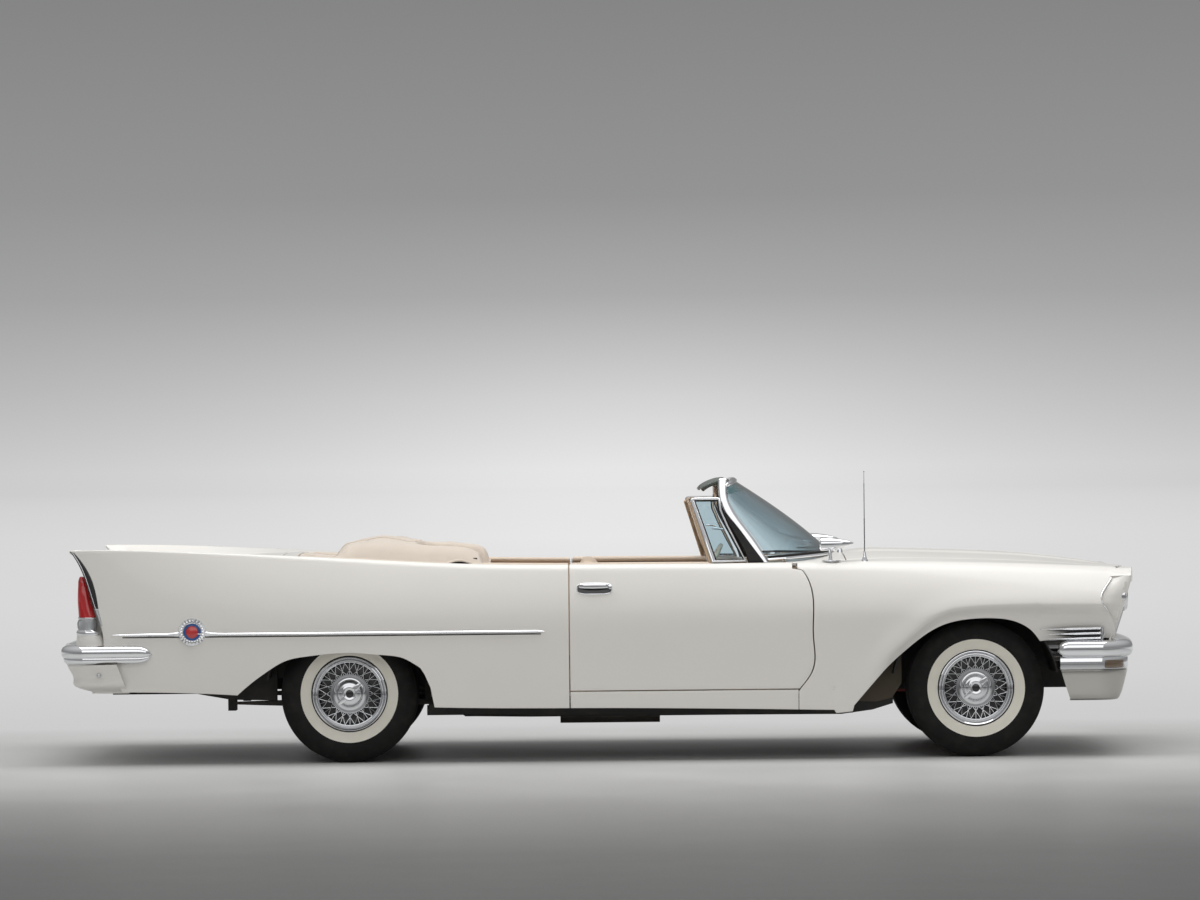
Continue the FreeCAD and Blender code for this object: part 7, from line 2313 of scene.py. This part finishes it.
    def build(self) -> None:
        """Builds and books the panel, the wheel and the carpets."""
        Rack.book(Workshop.join("dash_assembly", [self.panel(), *self.instruments()]), "body", "dash_paint",
                  ["dashboard"])
        Rack.book(self.steering(), "steering_wheel", "wheel_rim_plastic", ["steering_wheel"])
        carpet = Rack.book(self.carpet(), "body", "tan_trim")
        Rack.book(self.fore(), "body", "tan_trim")


@dataclass
class Bench:
    """A pleated bench: a swollen cushion and backrest on their base."""

    name: str
    x: float
    length: float
    half: float
    low: float = 0.330
    top: float = 0.612
    back_top: float = 1.030
    back_depth: float = 0.116
    lean: float = 0.100

    def swell(self, obj: bpy.types.Object, cap: float = 0.022) -> bpy.types.Object:
        """Remeshes a pad finely and blows it up as stuffed leather.

        Args:
            obj: The pad's plain shape.
            cap: How far a point may move, in metres.

        Returns:
            The swollen pad.
        """
        Workshop.modify(obj, "REMESH", mode="VOXEL", voxel_size=0.011)
        before = [v.co.copy() for v in obj.data.vertices]
        Workshop.pick(obj)
        bpy.ops.object.modifier_add(type="CLOTH")
        cloth = obj.modifiers[-1]
        cloth.settings.use_pressure = True
        cloth.settings.uniform_pressure_force = 4.0
        cloth.settings.effector_weights.gravity = 0.0
        cloth.settings.quality = 4
        cloth.point_cache.frame_start, cloth.point_cache.frame_end = 1, 20
        scene = bpy.context.scene
        for step in range(1, 21):
            scene.frame_set(step)
        bpy.ops.object.modifier_apply(modifier=cloth.name)
        scene.frame_set(1)
        for vert, old in zip(obj.data.vertices, before):
            move = vert.co - old
            if move.length > cap:
                vert.co = old + move.normalized() * cap
        return obj

    def pleat(self, obj: bpy.types.Object, along: Callable[[Vector], float], face: Vector) -> None:
        """Presses sewn channels and a border seam into the pad's face.

        Args:
            obj: The swollen pad.
            along: Gives a point's distance from the pad's rear or lower edge.
            face: The way the pleated face looks.
        """
        Workshop.modify(obj, "SUBSURF", levels=1, render_levels=1)
        inner = self.half - 0.085
        normals = [vert.normal.copy() for vert in obj.data.vertices]
        for vert, normal in zip(obj.data.vertices, normals):
            facing = max(0.0, normal.dot(face))
            if facing < 0.35:
                continue
            reach, side = along(vert.co), abs(vert.co.y)
            depth = 0.0
            if side < inner and 0.055 < reach:
                near = abs((vert.co.y / 0.058) % 1 - 0.5) * 0.058
                near = 0.029 - near
                depth = 0.008 * math.exp(-(near / 0.0065) ** 2) * ease((reach - 0.055) / 0.02)
            border = min(abs(side - inner), abs(reach - 0.055) if side < inner else 1.0)
            depth = max(depth, 0.010 * math.exp(-(border / 0.007) ** 2))
            vert.co -= face * depth * facing

    def cushion(self) -> bpy.types.Object:
        """The seat's pad, crowned and rolled over its front edge."""
        low, high = self.low + 0.100, self.top - 0.014
        pad = Workshop.block(f"{self.name}_cushion", Vector((self.x + 0.012, -self.half + 0.012, low)),
                             Vector((self.x + self.length - 0.012, self.half - 0.012, high)), 0.045, 5)
        for vert in pad.data.vertices:
            t = (vert.co.x - self.x) / self.length
            if vert.co.z > (low + high) / 2:
                vert.co.z += 0.010 * t - 0.006
        self.swell(pad, 0.016)
        end = self.x + self.length
        self.pleat(pad, lambda p: end - p.x, UP)
        return Rack.dress(Workshop.smooth(pad, 80), LEATHER)

    def backrest(self) -> bpy.types.Object:
        """The leaning back, with a plain roll along its top."""
        low, high = self.low + 0.090, self.back_top - 0.014
        pad = Workshop.block(f"{self.name}_backrest", Vector((self.x - self.back_depth + 0.010, -self.half + 0.012,
                                                              low)),
                             Vector((self.x - 0.010, self.half - 0.012, high)), 0.040, 5)
        Workshop.modify(pad, "REMESH", mode="VOXEL", voxel_size=0.025)
        self.swell(pad, 0.014)
        lean = self.lean
        for vert in pad.data.vertices:
            t = (vert.co.z - low) / (high - low)
            vert.co.x -= lean * t
            vert.co.z += 0.010 * math.cos(math.pi * vert.co.y / (2 * self.half)) * ease(t * 2 - 1) - 0.004
        self.pleat(pad, lambda p: high - p.z, Vector((0.97, 0, 0.22)).normalized())
        return Rack.dress(Workshop.smooth(pad, 80), LEATHER)

    def base(self) -> bpy.types.Object:
        """The plain base under the cushion with its tunnel arch, and the seat back's hard shell."""
        def skirt(u: float, v: float) -> Vector:
            y = (2 * u - 1) * (self.half - 0.030)
            arch = 0.308 + math.sqrt(max(0.0, 0.135 ** 2 - y * y)) if abs(y) < 0.135 else 0.0
            foot = max(self.low - 0.004, arch)
            high = max(self.low + 0.120, foot + 0.004)
            return Vector((self.x + self.length - 0.045, y, mix(foot, high, v)))

        front = Workshop.grid(f"{self.name}_skirt", 90, 4, skirt, Vector((1, 0, 0)))
        parts = [Workshop.thicken(front, 0.006, 0.001)]
        for sign in (-1, 1):
            ys = sorted((sign * (self.half - 0.030), sign * (self.half - 0.024)))
            parts.append(Workshop.block(f"{self.name}_side", Vector((self.x - 0.080, ys[0], self.low - 0.004)),
                                        Vector((self.x + self.length - 0.040, ys[1], self.low + 0.120)), 0.002, 1))
        return Rack.dress(Workshop.join(f"{self.name}_base", parts), CARPET)

    def build(self) -> None:
        """Builds and books the bench."""
        node = self.name
        cushion = Rack.book(self.cushion(), "body", "tan_trim", [node])
        back = Rack.book(self.backrest(), "body", "tan_trim", [node])
        Rack.book(self.base(), "body", "tan_trim", [node])


@dataclass
class Boot:
    """The snapped-down cloth cover over the folded top: a U round the rear seat."""

    rear_x: float = -1.556
    front_x: float = -0.583
    well_x: float = -0.905
    well_y: float = 0.575
    well_floor: float = 0.952
    well_cut: float = 0.955
    well_corner: float = 0.070
    middle: Track = Track(((-1.556, 1.058), (-1.500, 1.052), (-1.389, 1.041), (-1.362, 1.056), (-1.340, 1.094),
                           (-1.300, 1.116), (-1.252, 1.128), (-1.173, 1.146), (-1.033, 1.134), (-0.831, 1.116),
                           (-0.720, 1.112), (-0.680, 1.104), (-0.650, 1.088), (-0.626, 1.062), (-0.605, 1.017),
                           (-0.590, 0.975)), 1.0, 1.0)
    beside: Track = Track(((-1.556, 1.046), (-1.500, 1.052), (-1.380, 1.047), (-1.350, 1.052), (-1.309, 1.096),
                           (-1.250, 1.112), (-1.146, 1.122), (-0.921, 1.108), (-0.720, 1.096), (-0.658, 1.086),
                           (-0.630, 1.076), (-0.611, 1.058), (-0.596, 1.022), (-0.583, 0.975)), 1.0, 1.0)

    def hem(self, x: float) -> float:
        """The height of the cover's outer hem, lifted where it gapes near its front."""
        gape = 0.020 * math.sin(math.pi * between((x + 0.775) / 0.135, 0, 1)) ** 0.8
        return Lines.shelf_z(x) + 0.006 + gape

    def height(self, x: float, share: float) -> float:
        """The cover's height at a station, for a share of the half width."""
        top = self.middle(x) + (self.beside(x) - self.middle(x)) * ease((abs(share) - 0.25) / 0.5)
        top += 0.0030 * math.sin(x * 34 + share * 5) * math.sin(share * 9 + 1.0) * ease((x + 1.38) / 0.1)
        top -= 0.006 * math.exp(-((abs(share) - 0.76) / 0.018) ** 2) * ease((x + 1.36) / 0.1)
        fold = abs(((x + 1.9 + 0.10 * share * share) / 0.205) % 1 - 0.5) * 2
        top -= 0.0045 * (1 - fold) ** 6 * ease((x + 1.34) / 0.08)
        low = self.hem(x)
        rise = (1 - between((abs(share) - 0.80) / 0.20, 0, 1) ** 3.2)
        return low + max(0.0, top - low) * rise

    def cover(self) -> bpy.types.Object:
        """The sheet itself, with the opening of the seat's well."""
        def place(u: float, v: float) -> Vector:
            x = mix(self.rear_x, self.front_x, u)
            share = math.sin((v - 0.5) * math.pi)
            share = share * 0.55 + (2 * v - 1) * 0.45
            y = share * (Lines.shelf_y(x) - 0.004 + 0.012 * (abs(share) > 0.995))
            z = self.height(x, share)
            corner = self.well_corner
            dx, dy = self.well_x - corner - x, abs(y) - self.well_y - corner
            away = math.hypot(max(0.0, dx + 2 * corner), max(0.0, dy + 2 * corner)) - corner \
                if dx < 0 and dy < 0 else max(self.well_x - x, abs(y) - self.well_y)
            wall = between(away / 0.050, 0, 1)
            drop = 1 - (1 - wall) ** 2.4 if wall > 0 else 0.0
            return Vector((x, y, mix(self.well_floor, z, drop)))

        made = Workshop.grid("boot_cover", 150, 170, place, UP)
        Workshop.pick(made)
        for part in (*made.data.polygons, *made.data.edges):
            part.select = False
        for vert in made.data.vertices:
            vert.select = (vert.co.x > self.well_x + 0.012 and abs(vert.co.y) < self.well_y - 0.012
                           and vert.co.z < self.well_cut)
        bpy.ops.object.mode_set(mode="EDIT")
        bpy.ops.mesh.delete(type="VERT")
        bpy.ops.object.mode_set(mode="OBJECT")
        Workshop.thicken(made, 0.0025, 0.0)
        return Rack.dress(Workshop.smooth(made, 60), CLOTH)

    def seams(self) -> list[bpy.types.Object]:
        """The sewn cross seams, the hem's cord, and black blocks as painted shade under the hem where it gapes."""
        parts = []
        for share in (-0.42, 0.42):
            line = []
            for i in range(48):
                x = self.rear_x + 0.02 + i / 47 * (self.well_x - 0.06 - self.rear_x)
                line.append(Vector((x, share * Lines.shelf_y(x), self.height(x, share) + 0.0010)))
            parts.append(Rack.dress(Workshop.rod("boot_seam", line, 0.0028, 6), CLOTH))
        for sign in (-1, 1):
            line = []
            for i in range(60):
                x = self.rear_x + 0.010 + i / 59 * (self.front_x - 0.012 - self.rear_x)
                line.append(Vector((x, sign * (Lines.shelf_y(x) + 0.006), self.hem(x) + 0.001)))
            parts.append(Rack.dress(Workshop.rod("boot_hem", line, 0.0045, 8), CLOTH))
            # Painted shade: a black block fills the gap under the hem's gape.
            gap_shade = Workshop.block("boot_gap_painted_shade", Vector((-0.800, min(sign * 0.760, sign * 0.790), 0.985)),
                                   Vector((-0.620, max(sign * 0.760, sign * 0.790), 1.040)), 0.004, 2)
            parts.append(Rack.dress(gap_shade, BLACK))
        return parts

    def build(self) -> None:
        """Builds and books the cover with its trimmings."""
        cover = Rack.book(self.cover(), "body", "tan_cloth", ["top_boot"])
        trims = Rack.book(Workshop.join("boot_trimmings", self.seams()), "body", "tan_cloth")
        area = sum(face.area for face in cover.data.polygons) / 2
        log.info("the cover's area is %.2f square metres", area)


@dataclass(frozen=True)
class Splash:
    """Dark plates in the wheel openings and a black strip below the sills, partly splash panels and frame rail and
    partly painted shade under the body; the front plates' brown is painted shade with dust on a body-coloured wall.
    """

    behind: tuple[Point, ...] = ((-2.300, 0.400), (-2.050, 0.345), (-1.900, 0.318), (-1.660, 0.312),
                                 (-1.660, 0.750), (-1.950, 0.750), (-2.050, 0.430))
    ahead: tuple[Point, ...] = ((-0.900, 0.300), (-0.800, 0.300), (-0.800, 0.700), (-0.900, 0.700))
    front: tuple[Point, ...] = ((1.300, 0.285), (1.420, 0.281), (1.500, 0.300), (1.550, 0.375), (1.550, 0.660),
                                (1.300, 0.660))
    rail: tuple[Point, ...] = ((-0.878, 0.290), (-0.878, 0.240), (-0.300, 0.232), (0.300, 0.222), (1.240, 0.219),
                               (1.400, 0.240), (1.505, 0.272), (1.505, 0.300))

    def build(self) -> None:
        """Builds and books the panels of both sides."""
        parts = []
        for name, outline, y, thick in (("splash_behind", self.behind, 0.634, 0.003),
                                        ("splash_ahead", self.ahead, 0.634, 0.003),
                                        ("front_splash_painted_shade", self.front, 0.752, 0.003),
                                        ("sill_strip_and_shade", self.rail, 0.745, 0.030)):
            plate = Workshop.slab(name, [Vector((x, y, z)) for x, z in outline], Vector((0, -thick, 0)), 0.0008, 1)
            parts.append(Rack.dress(plate, SPLASH_SHADE_AND_DUST if name == "front_splash_painted_shade" else BLACK))
        Rack.pair(Workshop.join("splash_left", parts), "body", "black_underbody")


# Stage

@dataclass
class Stage:
    """The pale floor, the soft studio light and the camera of the photo."""

    eye: Vector = field(default_factory=lambda: Vector((0.0134, -26.1, 1.495)))
    lens: float = 148.2
    lift: float = 0.0148
    roll: float = -0.576

    @staticmethod
    def maths(tree: bpy.types.NodeTree, kind: str, first: bpy.types.NodeSocket | float,
              second: bpy.types.NodeSocket | float = 0.0) -> bpy.types.NodeSocket:
        """A maths node's result from two inputs, each a socket or a number."""
        node = tree.nodes.new("ShaderNodeMath")
        node.operation = kind
        for socket, value in zip(node.inputs, (first, second)):
            if isinstance(value, bpy.types.NodeSocket):
                tree.links.new(value, socket)
            else:
                socket.default_value = value
        return node.outputs["Value"]

    @staticmethod
    def ramp(tree: bpy.types.NodeTree, value: bpy.types.NodeSocket, low: float, high: float,
             stops: Sequence[Point]) -> bpy.types.NodeSocket:
        """A grey that follows stops given as value and tone between two limits."""
        span = tree.nodes.new("ShaderNodeMapRange")
        span.inputs["From Min"].default_value = low
        span.inputs["From Max"].default_value = high
        tree.links.new(value, span.inputs["Value"])
        ramp = tree.nodes.new("ShaderNodeValToRGB")
        marks = ramp.color_ramp.elements
        while len(marks) > 1:
            marks.remove(marks[-1])
        for i, (place, tone) in enumerate(stops):
            mark = marks[0] if i == 0 else marks.new(1.0)
            mark.position = (place - low) / (high - low)
            mark.color = (tone, tone, tone, 1)
        tree.links.new(span.outputs["Result"], ramp.inputs["Fac"])
        return ramp.outputs["Color"]

    def fan(self, tree: bpy.types.NodeTree, across: bpy.types.NodeSocket,
            along: bpy.types.NodeSocket) -> bpy.types.NodeSocket:
        """The lit patch of the studio's back: 1 in its middle and 0 at its sides."""
        ratio = self.maths(tree, "DIVIDE", across, along)
        share = self.maths(tree, "DIVIDE", self.maths(tree, "SUBTRACT", ratio, 0.006), 0.09)
        square = self.maths(tree, "MULTIPLY", share, share)
        return self.maths(tree, "DIVIDE", 1.0, self.maths(tree, "ADD", self.maths(tree, "MULTIPLY", square, 1.1),
                                                          1.0))

    def floor(self) -> None:
        """A large concrete floor, darker towards the camera as painted shade, that turns into the pale back wall:
        painted light that glows to camera, glossy and transmission rays, brightest in a patch in its middle.
        """
        Workshop.clear()
        bpy.ops.mesh.primitive_plane_add(size=900)
        plane = bpy.context.object
        plane.name = "studio_floor"
        mat = Rack.dress(plane, Finish("pale_floor", (0.62, 0.62, 0.61), rough=0.40, tone=0.13, scale=8,
                                       depth=0.002)).data.materials[0]
        tree = mat.node_tree
        shader, out = tree.nodes["Principled BSDF"], tree.nodes["Material Output"]
        where = tree.nodes.new("ShaderNodeTexCoord").outputs["Object"]
        split = tree.nodes.new("ShaderNodeSeparateXYZ")
        tree.links.new(where, split.inputs["Vector"])
        # Painted shade: the floor's colour is multiplied down towards the camera.
        painted_shade = self.ramp(tree, split.outputs["Y"], -14.0, 4.0,
                          ((-14.0, 0.05), (-9.5, 0.07), (-7.0, 0.17), (-4.2, 0.44), (-1.5, 0.93), (4.0, 1.0)))
        floor_shade_mix = tree.nodes.new("ShaderNodeMix")
        floor_shade_mix.data_type, floor_shade_mix.blend_type = "RGBA", "MULTIPLY"
        floor_shade_mix.inputs[0].default_value = 1.0
        tree.links.new(shader.inputs["Base Color"].links[0].from_socket, floor_shade_mix.inputs[6])
        tree.links.new(painted_shade, floor_shade_mix.inputs[7])
        tree.links.new(floor_shade_mix.outputs[2], shader.inputs["Base Color"])
        # Painted light: beyond the car the floor glows as the back wall, with a brighter patch in its middle.
        glow = self.fan(tree, split.outputs["X"], self.maths(tree, "ADD", split.outputs["Y"], 26.1))
        far = self.ramp(tree, split.outputs["Y"], 0.0, 450.0,
                        ((0.0, 0.0), (20.0, 0.10), (80.0, 0.18), (300.0, 0.25), (450.0, 0.27)))
        plain = self.ramp(tree, split.outputs["Y"], 0.0, 450.0,
                          ((3.0, 0.60), (9.0, 0.63), (30.0, 0.65), (123.0, 0.60), (300.0, 0.53), (450.0, 0.52)))
        tone = self.maths(tree, "ADD", self.maths(tree, "MULTIPLY", glow, far), plain)
        wall = tree.nodes.new("ShaderNodeEmission")
        tree.links.new(tone, wall.inputs["Color"])
        rays = tree.nodes.new("ShaderNodeLightPath")
        seen = self.maths(tree, "MAXIMUM", rays.outputs["Is Camera Ray"],
                          self.maths(tree, "MAXIMUM", rays.outputs["Is Glossy Ray"],
                                     rays.outputs["Is Transmission Ray"]))
        edge = self.ramp(tree, split.outputs["Y"], 0.0, 6.0, ((1.4, 0.0), (2.8, 1.0)))
        both = tree.nodes.new("ShaderNodeMixShader")
        tree.links.new(self.maths(tree, "MULTIPLY", seen, edge), both.inputs[0])
        tree.links.new(shader.outputs["BSDF"], both.inputs[1])
        tree.links.new(wall.outputs["Emission"], both.inputs[2])
        tree.links.new(both.outputs["Shader"], out.inputs["Surface"])

    def world(self) -> None:
        """The studio's grey back, brightest low in its middle, under a soft ceiling."""
        world = bpy.data.worlds.new("studio")
        bpy.context.scene.world = world
        world.use_nodes = True
        tree = world.node_tree
        where = tree.nodes.new("ShaderNodeTexCoord")
        split = tree.nodes.new("ShaderNodeSeparateXYZ")
        tree.links.new(where.outputs["Generated"], split.inputs["Vector"])
        plain = self.ramp(tree, split.outputs["Z"], 0.0, 1.0, (
            (0.0, 0.52), (0.0145, 0.43), (0.035, 0.345), (0.055, 0.295), (0.095, 0.235), (0.20, 0.25),
            (0.50, 0.42), (1.0, 0.62)))
        high = self.ramp(tree, split.outputs["Z"], 0.0, 0.06, ((0.0, 0.27), (0.0145, 0.215), (0.035, 0.06),
                                                              (0.055, 0.0)))
        behind = self.maths(tree, "MAXIMUM", split.outputs["Y"], 0.02)
        glow = self.maths(tree, "MULTIPLY", self.fan(tree, split.outputs["X"], behind), high)
        tree.links.new(self.maths(tree, "ADD", plain, glow), tree.nodes["Background"].inputs["Color"])

    def lamp(self, name: str, place: Vector, aim: Vector, size: Point, power: float) -> None:
        """A soft box that looks at a point."""
        light = bpy.data.lights.new(name, "AREA")
        light.shape = "RECTANGLE"
        light.size, light.size_y = size
        light.energy = power
        made = bpy.data.objects.new(name, light)
        bpy.context.scene.collection.objects.link(made)
        made.location = place
        made.rotation_euler = (aim - place).to_track_quat("-Z", "Y").to_euler()

    def camera(self) -> None:
        """The camera where the photo was taken from."""
        data = bpy.data.cameras.new("photo_camera")
        data.lens = self.lens
        data.sensor_width = 36
        data.shift_y = self.lift
        data.clip_end = 400
        made = bpy.data.objects.new("photo_camera", data)
        bpy.context.scene.collection.objects.link(made)
        made.location = self.eye
        turn = Matrix.Rotation(math.radians(90), 4, "X") @ Matrix.Rotation(math.radians(self.roll), 4, "Z")
        made.rotation_euler = turn.to_euler()
        bpy.context.scene.camera = made

    def build(self) -> None:
        """Sets the whole stage."""
        self.floor()
        self.world()
        self.lamp("soft_top", Vector((0, -0.8, 7.5)), Vector((0, 0, 0.5)), (10, 5), 465)
        self.lamp("soft_near", Vector((0, -12, 6.0)), Vector((0, 0, 0.6)), (15, 6), 235)
        self.camera()
        bpy.context.scene.view_settings.view_transform = "Standard"


@dataclass(frozen=True)
class CarriedOver:
    """Finishes for the frame's own pieces that keep their shape."""

    finishes: tuple[tuple[Finish, tuple[str, ...]], ...] = (
        (BLACK, ("floor_pan", "frame_rails", "fuel_tank", "firewall", "trunk_floor", "wheelhouses", "cross_members")),
        (IRON, ("rear_axle", "leaf_springs", "front_suspension", "knuckle_left", "knuckle_right")),
        (STEEL, ("exhaust",)), (ENGINE_RED, ("engine",)), (DASH, ("steering_column",)))

    def build(self) -> None:
        """Dresses every node that is still shown."""
        for finish, names in self.finishes:
            for name in names:
                Rack.dress(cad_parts[name], finish)


def write_size() -> None:
    """Brings the view layer up to date.
    """
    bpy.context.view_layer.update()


def main() -> None:
    """Builds every sub-assembly in order."""
    logging.basicConfig(level=logging.INFO)
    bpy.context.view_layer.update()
    front_seat = Bench("front_seat", x=0.100, length=0.500, half=0.690, back_top=1.044)
    rear_seat = Bench("rear_seat", x=-0.655, length=0.430, half=0.640)
    for part in (BodySide(), Crowns(), Wheel(), Nose(), FrontBumper(), RearBumper(), Tail(), Trim(), Screen(), Vent(),
                 Doors(), Dash(), front_seat, rear_seat, Boot(), Splash(), CarriedOver(), Stage()):
        part.build()
        log.info("built %s", type(part).__name__)
    write_size()


if __name__ == "__main__":
    main()
